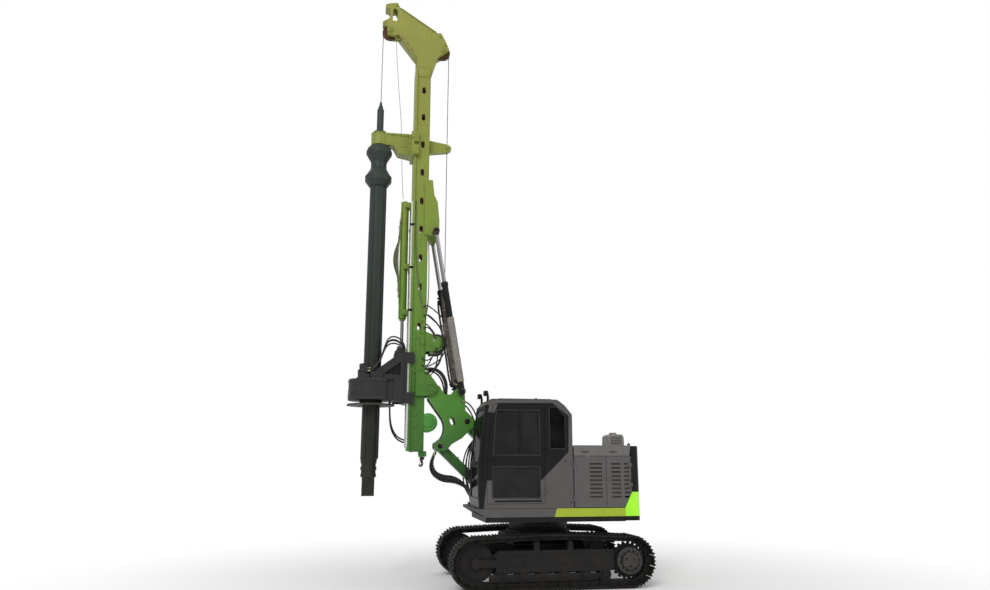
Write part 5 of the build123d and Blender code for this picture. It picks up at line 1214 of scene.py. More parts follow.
for step in range(6):
    inset = 0.012 if step % 2 else 0.0
    slab(carcase, rounded(0.535 + inset, -0.39 + inset, 0.877 - inset, 0.0 - inset, 0.03),
         1.27 + 0.038 * step, 1.27 + 0.038 * (step + 1), "z")
slab(carcase, rounded(0.48, -0.46, 0.932, 0.01, 0.03), 1.498, 1.542, "z")
slab(carcase, [(0.062, 1.66), (0.082, 1.66), (0.172, 2.21), (0.157, 2.21)], 0.486, 0.926)
piece(carcase, "seat_suspension", seat_vinyl, "upperstructure", 0.004)
for x in (seat_x - 0.07, seat_x + 0.07):
    bar(seat_steel, [(x, 0.125, 2.19), (x, 0.135, 2.26)], 0.006)
for x in (0.478, 0.934):
    bar(seat_steel, bent([(x, 0.02, 1.60), (x, 0.09, 1.70), (x, 0.06, 1.66)], 0.02), 0.012)
piece(seat_steel, "seat_posts", plated_steel, "upperstructure")
mat, monitor = bmesh.new(), bmesh.new()
slab(mat, rounded(0.33, -1.10, 1.08, -0.52, 0.03), 1.2305, 1.236, "z")
for number in range(18):
    y = -1.08 + number * 0.032
    box(mat, (0.35, y, 1.236), (1.06, y + 0.012, 1.239))
piece(mat, "floor_mat", trim_rubber, "upperstructure", 0.0)
slab(monitor, [(-0.93, 1.95), (-0.90, 1.94), (-0.94, 2.14), (-0.97, 2.15)], 0.34, 0.56)
bar(monitor, bent([(0.44, -0.935, 1.97), (0.44, -0.99, 1.90), (0.44, -1.05, 1.78)], 0.03), 0.011)
for x in (0.387, 1.025):
    turned(monitor, [(0.042, 0), (0.036, 0.02), (0.028, 0.045), (0.019, 0.07), (0.0, 0.07)],
           (x, -0.43, 1.79), upward, 20)
    for number in range(5):
        turned(monitor, [(0.012, 0), (0.012, 0.006), (0.009, 0.009), (0, 0.009)],
               (x, -0.34 + 0.055 * number, 1.79), upward, 12)
piece(monitor, "cab_controls", moulded, "upperstructure", 0.002)

# -------------------------------------------------- hood doors
# Folded sheet on a welded frame, sprayed grey. The louvres are slots with a tilted blade in each,
# the blades near-black as painted shade of the slots, and woven mesh bonded behind, its gaps
# painted near-black as painted shade; flush paddle latches close them.
door_paint = paint("door_paint", (86, 84, 83), 0.42, dusty=0.14)
left_doors = ("left_front_door", "left_rear_door")
right_doors = ("right_front_door", "right_rear_door")
dress(left_doors + right_doors + ("house_frame",), door_paint)


def louvre_shape(tree, given):
    """A blade across a slot, tilted out and down, with a rolled lip on its lower edge."""
    size = add(tree, "ShaderNodeCombineXYZ", {"X": given["Sheet"], "Y": given["Width"],
               "Z": given["Height"]}).outputs[0]
    blade = add(tree, "GeometryNodeMeshCube", {"Size": size}).outputs["Mesh"]
    lip = add(tree, "GeometryNodeMeshCylinder", {"Vertices": 8, "Radius": given["Sheet"],
              "Depth": given["Width"]}).outputs["Mesh"]
    drop = add(tree, "ShaderNodeCombineXYZ", {"Z": sums(tree, "MULTIPLY", given["Height"], -0.5)})
    lip = add(tree, "GeometryNodeTransform", {"Geometry": lip, "Translation": drop.outputs[0],
              "Rotation": (math.pi / 2, 0, 0)}).outputs[0]
    return add(tree, "GeometryNodeTransform", {"Geometry": joined(tree, [blade, lip]),
               "Rotation": (0, -0.7, 0)}).outputs[0]


def mesh_screen(name, base):
    """Woven wire cloth: crossed wires, dark and dusty, with the gaps between them painted
    near-black as painted shade.
    """
    made, tree, shader, spot = finish(name, base, 0.6, 0.6)
    parts = add(tree, "ShaderNodeSeparateXYZ", {0: spot}).outputs
    wires = None
    for axis in ("Y", "Z"):
        wave = sums(tree, "ABSOLUTE", sums(tree, "SINE", sums(tree, "MULTIPLY", parts[axis], 900)))
        wire = between(tree, wave, 0.75, 0.95)
        wires = wire if wires is None else sums(tree, "MAXIMUM", wires, wire)
    dusty = between(tree, noise(tree, spot, 11, 5), 0.45, 0.75, 0, 0.5)
    wire_colour = mixed(tree, dusty, colour(*base), colour(96, 90, 80))
    # Between the wires the colour is near-black: painted shade for the dark seen through the open
    # weave.
    tree.links.new(mixed(tree, wires, (0.003, 0.003, 0.003, 1), wire_colour),
                   shader.inputs["Base Color"])
    bump(tree, shader, wires, 0.0012)
    return made


# The louvre blades are near-black: painted shade standing in for the dark inside the slots.
shaded_louvre_black = paint("shaded_louvre_black", (34, 34, 34), 0.5, dusty=0.3)
screen_wire = mesh_screen("screen_wire", (46, 45, 44))
louvres_tree = set_on_points("louvre_blades", {"Width": 0.12, "Height": 0.03, "Sheet": 0.0014},
                             louvre_shape)
louvre_rows = [1.835 - 0.062 * row for row in range(9)]
for side, doors in ((1, left_doors), (-1, right_doors)):
    front, rear = doors
    turn = Matrix.Rotation(0 if side > 0 else math.pi, 3, "Z")
    for door, columns, latch_y, latch_z in ((front, ((0.664, 0.203),), 0.800, 1.60),
                                            (rear, ((0.990, 0.150), (1.165, 0.090)), 0.874, 1.60)):
        for number, (y, width) in enumerate(columns):
            rows = louvre_rows if width > 0.1 else louvre_rows[:8]
            repeat(f"{door}_louvres_{number + 1}", louvres_tree,
                   [((side * 1.139, y, z), turn) for z in rows], {"Width": width - 0.003},
                   shaded_louvre_black, door)
        screens, fittings, screws = bmesh.new(), bmesh.new(), []
        low_z = 1.30
        for y, width in columns:
            if width < 0.1:
                low_z = 1.42
            slab(screens, rounded(y - width / 2 - 0.018, low_z, y + width / 2 + 0.018, 1.875, 0.01),
                 side * 1.1155, side * 1.1185)
            for z in (low_z + 0.008, 1.60, 1.867):
                for across in (-1, 1):
                    screws.append(((side * 1.1155, y + across * (width / 2 + 0.010), z),
                                   (-side, 0, 0)))
        piece(screens, f"{door}_screen", screen_wire, door)
        low, high = sorted((side * 1.1495, side * 1.1520))
        frame_strip(fittings, rounded(latch_y - 0.030, latch_z - 0.050, latch_y + 0.030,
                                      latch_z + 0.050, 0.012), low, high, 0.010)
        slab(fittings, rounded(latch_y - 0.018, latch_z - 0.038, latch_y + 0.018, latch_z + 0.012,
                               0.008),
             side * 1.1495, side * 1.1535)
        turned(fittings, [(0.009, 0), (0.009, 0.004), (0.007, 0.005), (0.007, 0.0035), (0, 0.0035)],
               (side * 1.1495, latch_y, latch_z + 0.028), (side, 0, 0), 16)
        for corner_y in (-0.024, 0.024):
            for corner_z in (-0.044, 0.044):
                screws.append(((side * 1.1515, latch_y + corner_y, latch_z + corner_z),
                               (side, 0, 0)))
        piece(fittings, f"{door}_latch", door_paint, door, 0.001)
        bolted(f"{door}_screws", screws, 0.007, plated_steel, door)

# -------------------------------------------------- engine bay
# A four-cylinder diesel with its turbocharger, pulleys and cooler pack on the cab side, and pumps,
# filters and batteries on the other. Cast iron under paint, alloy covers, moulded ducts, oil mist.
engine_iron = paint("engine_iron", (70, 74, 72), 0.55, dusty=0.4, chip=(96, 88, 78))
cast_alloy = metal("cast_alloy", (150, 150, 148), 0.5, 260, None, (90, 82, 70), 0.5)
rusted_steel = rubbed_steel("rusted_exhaust_steel", (88, 62, 46), (60, 40, 30), (120, 90, 70), 0.75,
                            0.2, 12)
core_alloy = metal("core_alloy", (72, 72, 70), 0.5, 400, None, (60, 54, 44), 0.6)
dress(("engine_block",), engine_iron)


def fin_shape(tree, given):
    """One thin sheet fin of the cooler."""
    size = add(tree, "ShaderNodeCombineXYZ", {"X": given["Depth"], "Y": given["Width"],
               "Z": given["Sheet"]}).outputs[0]
    return add(tree, "GeometryNodeMeshCube", {"Size": size}).outputs["Mesh"]


fins_tree = set_on_points("cooler_fins", {"Depth": 0.05, "Width": 0.4, "Sheet": 0.0012}, fin_shape)
repeat("cooler_fins", fins_tree, [((0.95, 0.62, 1.285 + 0.0072 * step), Matrix.Identity(3))
                                  for step in range(80)],
       {"Depth": 0.052, "Width": 0.50}, core_alloy, "upperstructure")
cooler = bmesh.new()
for number in range(15):
    y = 0.385 + 0.0335 * number
    slab(cooler, rounded(0.928, y - 0.004, 0.972, y + 0.004, 0.003, 2), 1.28, 1.862, "z")
for low, high in ((1.862, 1.905), (1.225, 1.28)):
    slab(cooler, rounded(0.905, 0.36, 0.995, 0.88, 0.02), low, high, "z")
for y in (0.355, 0.872):
    box(cooler, (0.915, y, 1.225), (0.985, y + 0.014, 1.90))
turned(cooler, [(0.028, 0), (0.028, 0.012), (0.034, 0.014), (0.034, 0.026), (0.0, 0.030)],
       (0.95, 0.62, 1.903), upward, 20)
piece(cooler, "cooler_pack", core_alloy, "upperstructure", 0.0015)
fan, fan_centre = bmesh.new(), (0.80, 0.62, 1.56)
for step in range(8):
    angle = math.tau * step / 8
    out_way = Vector((0, math.cos(angle), math.sin(angle)))
    along = Vector((0, -math.sin(angle), math.cos(angle)))
    root, tip = Vector(fan_centre) + out_way * 0.055, Vector(fan_centre) + out_way * 0.235
    near = [root - along * 0.028 + Vector((0.018, 0, 0)),
            root + along * 0.028 - Vector((0.018, 0, 0)),
            tip + along * 0.052 - Vector((0.014, 0, 0)),
            tip - along * 0.046 + Vector((0.022, 0, 0))]
    closed_between(fan, near, [point - Vector((0.003, 0, 0)) for point in near])
turned(fan, [(0.065, -0.03), (0.065, 0.02), (0.05, 0.03), (0.0, 0.03)], fan_centre, to_left, 24)
turned(fan, [(0.03, -0.26), (0.03, -0.03), (0.0, -0.03)], fan_centre, to_left, 18)
turned(fan, [(0.255, 0.0), (0.255, 0.09), (0.262, 0.09), (0.262, 0.0)], fan_centre, to_left, 48)
for radius, y, z in ((0.085, 0.62, 1.56), (0.095, 0.66, 1.32), (0.05, 0.80, 1.50),
                     (0.04, 0.50, 1.70)):
    turned(fan, [(radius * 0.4, 0), (radius, 0), (radius, 0.006), (radius * 0.86, 0.012),
                 (radius, 0.018), (radius, 0.024), (0, 0.024)], (0.545, y, z), to_left, 28)
piece(fan, "fan_and_pulleys", black_paint, "upperstructure", 0.001)
head_cover, iron, filters = bmesh.new(), bmesh.new(), bmesh.new()
slab(head_cover, rounded(-0.50, 0.62, 0.40, 0.90, 0.04), 1.840, 1.885, "z")
slab(head_cover, rounded(-0.46, 0.66, 0.36, 0.86, 0.04), 1.885, 1.900, "z")
for number in range(12):
    x = -0.42 + 0.065 * number
    box(head_cover, (x, 0.69, 1.899), (x + 0.012, 0.83, 1.908))
turned(head_cover, [(0.03, 0), (0.03, 0.012), (0.036, 0.014), (0.036, 0.028), (0, 0.030)],
       (0.30, 0.70, 1.898), upward, 20)
for number in range(4):
    x = -0.40 + 0.21 * number
    bar(head_cover, bent([(x, 0.524, 1.70), (x, 0.46, 1.70), (x, 0.43, 1.62)], 0.05), 0.032, 14)
slab(head_cover, rounded(-0.46, 0.40, 0.30, 0.465, 0.03), 1.55, 1.63, "z")
piece(head_cover, "engine_alloy_covers", cast_alloy, "upperstructure", 0.003)
for number in range(4):
    x = -0.40 + 0.21 * number
    bar(iron, bent([(x, 1.046, 1.66), (x, 1.10, 1.66), (x + 0.06, 1.10, 1.66)], 0.03), 0.028, 12)
bar(iron, [(-0.46, 1.10, 1.66), (0.34, 1.10, 1.66)], 0.034, 16)
turned(iron, [(0.05, 0), (0.085, 0.02), (0.085, 0.07), (0.05, 0.09), (0.05, 0.13), (0.075, 0.15),
              (0.075, 0.20), (0.04, 0.215)], (0.34, 1.10, 1.70), to_left, 26)
bar(iron, bent([(0.52, 1.10, 1.70), (0.66, 1.10, 1.70), (0.68, 1.10, 1.62)], 0.06), 0.032, 14)
turned(iron, [(0.085, 0), (0.10, 0.015), (0.10, 0.50), (0.085, 0.515), (0.05, 0.52), (0.05, 0.60),
              (0.046, 0.60), (0.046, 0.0)], (0.75, 1.09, 1.32), upward, 30)
piece(iron, "exhaust_pipes", rusted_steel, "upperstructure", 0.002)
for x, y, z, radius, height in ((-0.70, 0.45, 1.52, 0.055, 0.20), (-0.83, 0.45, 1.52, 0.055, 0.20),
                                (-0.96, 0.45, 1.48, 0.065, 0.26), (-0.76, 0.95, 1.30, 0.07, 0.30)):
    turned(filters, [(radius * 0.7, 0), (radius * 0.96, 0.006), (radius, 0.02),
                     (radius, height - 0.03), (radius * 0.9, height - 0.012),
                     (radius * 1.08, height - 0.010), (radius * 1.08, height + 0.014),
                     (radius * 0.5, height + 0.03), (0, height + 0.03)],
           (x, y, z), upward, 26)
turned(filters, [(0.06, 0), (0.11, 0.01), (0.115, 0.03), (0.115, 0.36), (0.10, 0.38), (0.06, 0.40),
                 (0, 0.40)],
       (-1.02, 0.60, 1.80), rearward, 32)
bar(filters, bent([(-1.02, 0.58, 1.80), (-1.02, 0.44, 1.80), (-0.62, 0.44, 1.86),
                   (-0.44, 0.44, 1.70)], 0.1), 0.038, 16)
piece(filters, "filters_and_intake", moulded, "upperstructure", 0.0)
pumps, batteries = bmesh.new(), bmesh.new()
turned(pumps, [(0.13, 0), (0.13, 0.03), (0.10, 0.04), (0.095, 0.14), (0.11, 0.15), (0.11, 0.18),
               (0.085, 0.19), (0.085, 0.26), (0.05, 0.27), (0, 0.27)], (-0.62, 0.72, 1.45),
       to_right, 30)
for y in (0.66, 0.78):
    turned(pumps, [(0.035, 0), (0.035, 0.12), (0.042, 0.125), (0.042, 0.15), (0, 0.15)],
           (-0.78, y, 1.45), upward, 18)
box(pumps, (-1.04, 0.38, 1.455), (-0.64, 0.50, 1.475))
piece(pumps, "hydraulic_pumps", engine_iron, "upperstructure", 0.003)
for x in (-1.02, -0.83):
    slab(batteries, rounded(x, 0.62, x + 0.17, 0.86, 0.008), 1.185, 1.375, "z")
    slab(batteries, rounded(x - 0.004, 0.616, x + 0.174, 0.864, 0.010), 1.375, 1.392, "z")
    for number in range(6):
        turned(batteries, [(0.010, 0), (0.010, 0.006), (0, 0.006)],
               (x + 0.085, 0.65 + 0.036 * number, 1.392), upward, 12)
    for y in (0.64, 0.84):
        turned(batteries, [(0.009, 0), (0.008, 0.018), (0, 0.018)], (x + 0.03, y, 1.392), upward,
               12)
piece(batteries, "batteries", moulded, "upperstructure", 0.002)
bay_bolts = []
for number in range(7):
    for y in (0.635, 0.885):
        bay_bolts.append(((-0.47 + 0.14 * number, y, 1.885), upward))
for number in range(8):
    for z in (1.26, 1.46):
        bay_bolts.append(((-0.56 + 0.14 * number, 0.52, z), forward))
        bay_bolts.append(((-0.56 + 0.14 * number, 1.05, z), rearward))
bolt_circles(bay_bolts, 6, 0, ((-0.65, 0.72, 1.45), to_right, 0.115))
bolted("engine_bolts", bay_bolts, 0.016, plated_steel, "upperstructure")

# -------------------------------------------------- hood lid and exhaust housing
# One folded lid over the engine, hinged behind the cab, with rolled edges, rubber stops and pull
# handles; on it a grille box that shields the tail pipe, dusty and sooted on top.
lid_paint = paint("lid_paint", (101, 99, 97), 0.42, dusty=0.4)
box_paint = paint("box_paint", (132, 130, 127), 0.5, dusty=0.55)
dress(("hood_lid",), lid_paint)
dress(("exhaust_housing",), box_paint)
lid_parts, lid_bolts, grille = bmesh.new(), [], bmesh.new()
for x in (-0.80, 0.0, 0.42):
    slab(lid_parts, rounded(x - 0.14, 0.46, x + 0.14, 1.13, 0.04), 2.119, 2.126, "z")
    slab(lid_parts, rounded(x - 0.11, 0.49, x + 0.11, 1.10, 0.03), 2.126, 2.130, "z")
piece(lid_parts, "lid_pressings", lid_paint, "hood_lid", 0.003)
handles = bmesh.new()
for side in (1, -1):
    for y in (0.50, 0.95):
        bar(handles, bent([(side * 1.148, y - 0.05, 2.02), (side * 1.166, y - 0.05, 2.02),
                           (side * 1.166, y + 0.05, 2.02), (side * 1.148, y + 0.05, 2.02)], 0.012),
            0.0055)
    for y in (0.40, 1.16):
        turned(handles, [(0.012, 0), (0.012, 0.010), (0.009, 0.014), (0, 0.014)],
               (side * 1.135, y, 1.956), upward, 14)
piece(handles, "lid_handles", black_paint, "hood_lid")
for x in (-0.64, 0.64):
    for across in (-0.05, 0.05):
        lid_bolts.append(((x + across, 0.345, 2.120), upward))
for x in (0.585, 0.915):
    for y in (0.97, 1.20):
        lid_bolts.append(((x, y, 2.121), upward))
bolted("lid_bolts", lid_bolts, 0.014, plated_steel, "hood_lid")
slab(grille, rounded(0.57, 0.935, 0.93, 1.226, 0.02), 2.118, 2.124, "z")
for low, high in ((0.8995, 0.906), (0.594, 0.6005)):
    frame_strip(grille, [(0.965, 2.130), (0.972, 2.255), (1.012, 2.288), (1.188, 2.288),
                         (1.209, 2.250), (1.212, 2.130)], low, high, 0.012)
piece(grille, "exhaust_box_rims", box_paint, "hood_lid", 0.0015)
# The grille box's louvre blades get the same near-black painted shade.
for side_x, turn in ((0.9015, Matrix.Identity(3)), (0.5985, Matrix.Rotation(math.pi, 3, "Z"))):
    repeat("exhaust_box_louvres_" + ("left" if side_x > 0.7 else "right"), louvres_tree,
           [((side_x, 1.09, 2.155 + 0.026 * row), turn) for row in range(5)],
           {"Width": 0.18, "Height": 0.018, "Sheet": 0.0012}, shaded_louvre_black, "hood_lid")
tail = bmesh.new()
turned(tail, [(0.0552, 0.0), (0.060, 0.002), (0.060, 0.020), (0.0552, 0.022)],
       (0.750, 1.090, 2.302), upward, 32)
turned(tail, [(0.058, 0.0), (0.064, 0.004), (0.064, 0.010), (0.058, 0.014)], (0.750, 1.090, 2.300),
       upward, 32)
piece(tail, "tail_pipe_clamp", box_paint, "hood_lid")

# -------------------------------------------------- counterweight
# One iron casting of a tonne or so, smooth filled and sprayed: black above, bright lime round its
# lower half and along the lips that reach forward, black again below. Cast-in lifting eyes.
weight_paint = paint("weight_paint", black, 0.34, dusty=0.2, chipped=0.4,
                     areas=[(lime, [[(1.0, 1.052), (2.0, 1.052), (2.0, 1.412), (1.0, 1.412)]])])
dress(("counterweight",), weight_paint)
weight_parts, weight_bolts = bmesh.new(), []
for x in (-0.62, 0.62):
    bar(weight_parts, bent([(x - 0.04, 1.40, 2.100), (x - 0.04, 1.40, 2.160),
                            (x + 0.04, 1.40, 2.160), (x + 0.04, 1.40, 2.100)], 0.036, 8), 0.011, 14)
    for across in (-0.04, 0.04):
        turned(weight_parts, [(0.022, 0), (0.022, 0.005), (0.013, 0.010)],
               (x + across, 1.40, 2.110), upward, 18)
for x in (-0.93, 0.93):
    weight_bolts += [((x, 1.30, 2.112), upward), ((x - 0.12, 1.30, 2.112), upward)]
piece(weight_parts, "lifting_eyes", weight_paint, "upperstructure")
bolted("counterweight_bolts", weight_bolts, 0.020, black_paint, "upperstructure")

# -------------------------------------------------- tanks, tool box and steps
# Welded steel tanks along the right side, black; turned caps on raised necks, a sight glass, brass
# plugs and bolted clean-out covers. The tool box doubles as the steps.
tank_paint = paint("tank_paint", (42, 41, 41), 0.42, dusty=0.32)
dress(("tool_box", "fuel_tank", "hydraulic_tank", "handrails"), tank_paint)
tank_parts, tank_bolts, brass_parts = bmesh.new(), [], bmesh.new()
for (x, y, z, radius) in ((-0.90, -0.33, 1.89, 0.047), (-0.70, 0.06, 2.09, 0.062)):
    turned(tank_parts, [(radius, -0.012), (radius, 0.002), (radius * 0.9, 0.006),
                        (radius * 0.3, 0.008), (0, 0.008)], (x, y, z), upward, 28)
    box(tank_parts, (x - radius * 0.75, y - 0.007, z), (x + radius * 0.75, y + 0.007, z + 0.020))
turned(tank_parts, [(0.10, 0), (0.10, 0.008), (0, 0.010)], (-0.52, -0.02, 2.060), upward, 32)
turned(tank_parts, [(0.022, 0), (0.022, 0.012), (0.032, 0.014), (0.034, 0.040), (0.026, 0.048),
                    (0, 0.048)],
       (-0.95, 0.20, 2.060), upward, 20)
bolt_circles(tank_bolts, 8, 0, ((-0.52, -0.02, 2.068), upward, 0.085))
for y0, y1, z0, z1 in ((-0.665, -0.515, 1.24, 1.46), (-0.82, -0.695, 1.22, 1.31)):
    slab(tank_parts, rounded(y0, z0, y1, z1, 0.012), -1.156, -1.1495)
    slab(tank_parts, rounded((y0 + y1) / 2 - 0.025, z1 - 0.035, (y0 + y1) / 2 + 0.025, z1 - 0.015,
                             0.006),
         -1.162, -1.155)
slab(tank_parts, rounded(-0.45, 1.30, -0.24, 1.60, 0.05), -1.1545, -1.1495)
for number in range(4):
    y, z = (-0.425, -0.265)[number % 2], (1.325, 1.575)[number // 2]
    tank_bolts.append(((-1.1545, y, z), to_right))
piece(tank_parts, "tank_fittings", tank_paint, "upperstructure", 0.0015)
for z in (1.62, 1.80):
    turned(brass_parts, [(0.016, 0), (0.016, 0.008), (0.009, 0.010), (0.009, 0.016), (0, 0.016)],
           (-1.150, 0.20, z), to_right, 16)
bar(brass_parts, [(-1.162, 0.20, 1.615), (-1.162, 0.20, 1.805)], 0.0045)
bar(brass_parts, [(-1.160, 0.213, 1.615), (-1.160, 0.213, 1.805)], 0.003)
for y in (-0.40, 0.05):
    turned(brass_parts, [(0.018, 0), (0.018, 0.010), (0.011, 0.012), (0.011, 0.020), (0, 0.020)],
           (-1.150, y, 1.225), to_right, 6)
piece(brass_parts, "sight_glass_and_plugs", metal("brass", (176, 146, 82), 0.35), "upperstructure")
for x in (-1.11, -0.36):
    for across in (-0.028, 0.028):
        tank_bolts += [((x + across, -0.795, 1.330), upward), ((x + across, -0.44, 1.860), upward)]
bolted("tank_bolts", tank_bolts, 0.014, plated_steel, "upperstructure")
feet = bmesh.new()
for x in (-1.11, -0.36):
    for y, z in ((-0.795, 1.330), (-0.44, 1.860)):
        slab(feet, rounded(x - 0.042, y - 0.026, x + 0.042, y + 0.026, 0.01), z, z + 0.006, "z")
        turned(feet, [(0.0175, 0), (0.024, 0), (0.0195, 0.010), (0.0175, 0.010)], (x, y, z + 0.005),
               upward, 20)
piece(feet, "handrail_feet", tank_paint, "upperstructure", 0.001)

# -------------------------------------------------- work lamps
# Two lamps on round stalks at the roof's front: die-cast housings with cooling fins, a reflector
# and a clear polycarbonate lens, bolted to a pressed bracket.
dress(("work_lamps",), black_paint)
lamp_glass = tinted("lamp_lens", (190, 192, 194), 0.15, 0.25)
bowl = metal("reflector", (206, 206, 204), 0.14, 200, None, (150, 148, 140), 0.2)
housing, lens, cups = bmesh.new(), bmesh.new(), bmesh.new()
lamp_places = (0.402, 1.010)
for x in lamp_places:
    frame_strip(housing, rounded(x - 0.044, 2.874, x + 0.044, 2.948, 0.008, 3), -1.077, -1.069,
                0.007, "y")
    slab(lens, rounded(x - 0.038, 2.880, x + 0.038, 2.942, 0.006), -1.0745, -1.0712, "y")
    for step in range(2):
        turned(cups, [(0.016, 0), (0.006, -0.0006), (0, -0.0006), (0, -0.0012), (0.017, -0.0008)],
               (x - 0.019 + 0.038 * step, -1.0705, 2.911), forward, 20)
    for number in range(6):
        fin_x = x - 0.036 + 0.0144 * number
        box(housing, (fin_x - 0.0015, -1.023, 2.878), (fin_x + 0.0015, -1.012, 2.944))
    bar(housing, bent([(x + 0.02, -1.014, 2.90), (x + 0.026, -0.996, 2.86),
                       (x + 0.020, -0.998, 2.78)], 0.02), 0.004, 8)
    turned(housing, [(0.026, 0), (0.026, 0.005), (0.016, 0.012)], (x, -1.015, 2.772), upward, 20)
piece(housing, "lamp_housings", black_paint, "upperstructure", 0.0006)
piece(cups, "lamp_reflectors", bowl, "upperstructure")
piece(lens, "lamp_lenses", lamp_glass, "upperstructure")
bolted("lamp_bolts", [((x + across, -1.046, 2.950), upward) for x in lamp_places
       for across in (-0.02, 0.02)], 0.009, plated_steel, "upperstructure")

# -------------------------------------------------- boom, lower link and neck frame
# Box beams and cheeks of welded plate, sprayed green, with painted shade darkening the green lower
# down.
# Doubler plates round the pins, fillet welds along every seam, keeper plates and grease nipples at
# the pins.
# The darker, greyer greens towards the bottom of the boom, link and neck are painted shade.
boom_green = paint("boom_green", (80, 142, 48), 0.4, dusty=0.2,
                   height_tones=[(1.15, (38, 60, 38)), (1.65, (42, 80, 36)), (2.1, (56, 112, 34)),
                         (2.5, (68, 130, 32)), (3.2, (76, 138, 34))])
dress(("boom", "lower_link", "neck_frame", "luff_barrels"), boom_green)

beads_tree = bpy.data.node_groups.new("weld_beads", "GeometryNodeTree")
given = group_input(beads_tree, {"Size": 0.005, "Pitch": 0.008})
seam = add(beads_tree, "GeometryNodeMeshToCurve", {0: given["Geometry"]}).outputs[0]
seam = add(beads_tree, "GeometryNodeResampleCurve", {"Curve": seam, "Length": given["Pitch"]},
           mode="LENGTH")
drop = add(beads_tree, "GeometryNodeMeshIcoSphere", {"Radius": given["Size"], "Subdivisions": 1})
drops = add(beads_tree, "GeometryNodeInstanceOnPoints", {"Points": seam.outputs[0],
            "Instance": drop.outputs["Mesh"]}).outputs[0]
smooth = add(beads_tree, "GeometryNodeSetShadeSmooth",
             {0: add(beads_tree, "GeometryNodeRealizeInstances",
             {"Geometry": drops}).outputs[0]}).outputs[0]
dressed = add(beads_tree, "GeometryNodeSetMaterial", {"Geometry": smooth})
dressed.name = "finish"
beads_tree.links.new(dressed.outputs[0], beads_tree.nodes.new("NodeGroupOutput").inputs[0])


def weld(name, seams, material, body, size=0.005):
    """Rippled weld beads along seams, each a list of points."""
    points, edges = [], []
    for line in seams:
        edges += [(len(points) + k, len(points) + k + 1) for k in range(len(line) - 1)]
        points += [tuple(point) for point in line]
    mesh = bpy.data.meshes.new(name)
    mesh.from_pydata(points, edges, [])
    return grown(bpy.data.objects.new(name, mesh), beads_tree, {"Size": size, "Pitch": size * 1.5},
                 material, body)


def circle(x, y, z, radius, steps=32):
    """A closed ring of points about the x axis."""
    return [(x, y + radius * math.cos(math.tau * k / steps),
             z + radius * math.sin(math.tau * k / steps))
            for k in range(steps + 1)]


def closed(outline, x):
    """A closed seam along a (y, z) outline."""
    return [(x, y, z) for y, z in outline + outline[:1]]


def both(seams):
    """Seams and their mirror images."""
    return seams + [[(-x, y, z) for x, y, z in line] for line in seams]


def along(start, end, distance, offset=0.0):
    """The (y, z) point at a distance from start towards end, set off sideways."""
    way = (Vector(end) - Vector(start)).normalized()
    return tuple(Vector(start) + way * distance + Vector((-way.y, way.x)) * offset)


def keeper(build, bolts, x, y, z, radius, turn=0.0):
    """A pin's end in its boss: chamfered face, grease nipple, and a keeper plate on two bolts."""
    side = 1 if x > 0 else -1
    turned(build, [(radius + 0.012, 0), (radius + 0.010, 0.005), (radius, 0.005), (radius, 0.009),
                   (radius - 0.004, 0.012), (0.009, 0.012), (0.008, 0.010), (0.006, 0.016),
                   (0.0035, 0.018), (0.0045, 0.021), (0, 0.022)], (x, y, z), (side, 0, 0), 28)
    across, up = math.cos(turn), math.sin(turn)
    mid_y, mid_z = y + across * radius * 0.95, z + up * radius * 0.95
    corners = [(-0.011, -radius * 0.95), (0.011, -radius * 0.95), (0.011, radius * 0.95),
               (-0.011, radius * 0.95)]
    slab(build, [(mid_y + a * across - b * up, mid_z + a * up + b * across) for a, b in corners],
         x + side * 0.009, x + side * 0.015)
    for reach in (-0.72, 0.72):
        bolts.append(((x + side * 0.015, mid_y - up * radius * reach,
                       mid_z + across * radius * reach),
                      (side, 0, 0)))


boom_start, boom_end = (-0.36, 1.70), (-1.22, 2.52)
link_start, link_end = (-0.80, 1.30), (-1.66, 2.12)
boom_length = math.dist(boom_start, boom_end)
boom_plates, seams = bmesh.new(), []
for low_end, high_end in ((0.13, 0.34), (boom_length - 0.34, boom_length - 0.13)):
    outline = [along(boom_start, boom_end, low_end, -0.072),
               along(boom_start, boom_end, high_end, -0.05),
               along(boom_start, boom_end, high_end, 0.05),
               along(boom_start, boom_end, low_end, 0.072)]
    for low, high in ((0.1115, 0.118), (-0.118, -0.1115)):
        slab(boom_plates, outline, low, high)
    seams.append(closed(outline, 0.113))
for offset in (-0.092, 0.092):
    seams.append([(0.113, *along(boom_start, boom_end, distance, offset))
                  for distance in (0.12, boom_length - 0.12)])
    low, high = sorted((offset * 1.087, offset * 1.14))
    slab(boom_plates, [along(boom_start, boom_end, 0.16, low),
                       along(boom_start, boom_end, boom_length - 0.16, low),
                       along(boom_start, boom_end, boom_length - 0.16, high),
                       along(boom_start, boom_end, 0.16, high)],
         -0.104, 0.104)
for radius, (y, z) in ((0.060, (-0.893, 2.208)),):
    seams.append(circle(0.1125, y, z, radius + 0.003))
piece(boom_plates, "boom_doublers", boom_green, "boom", 0.002)
weld("boom_welds", both(seams), boom_green, "boom")
link_plates, seams = bmesh.new(), []
link_length = math.dist(link_start, link_end)
for offset in (-0.066, 0.066):
    seams.append([(0.101, *along(link_start, link_end, distance, offset))
                  for distance in (0.10, link_length - 0.10)])
for low_end, high_end in ((0.10, 0.26), (link_length - 0.26, link_length - 0.10)):
    outline = [along(link_start, link_end, low_end, -0.05),
               along(link_start, link_end, high_end, -0.035),
               along(link_start, link_end, high_end, 0.035),
               along(link_start, link_end, low_end, 0.05)]
    for low, high in ((0.0995, 0.1055), (-0.1055, -0.0995)):
        slab(link_plates, outline, low, high)
    seams.append(closed(outline, 0.101))
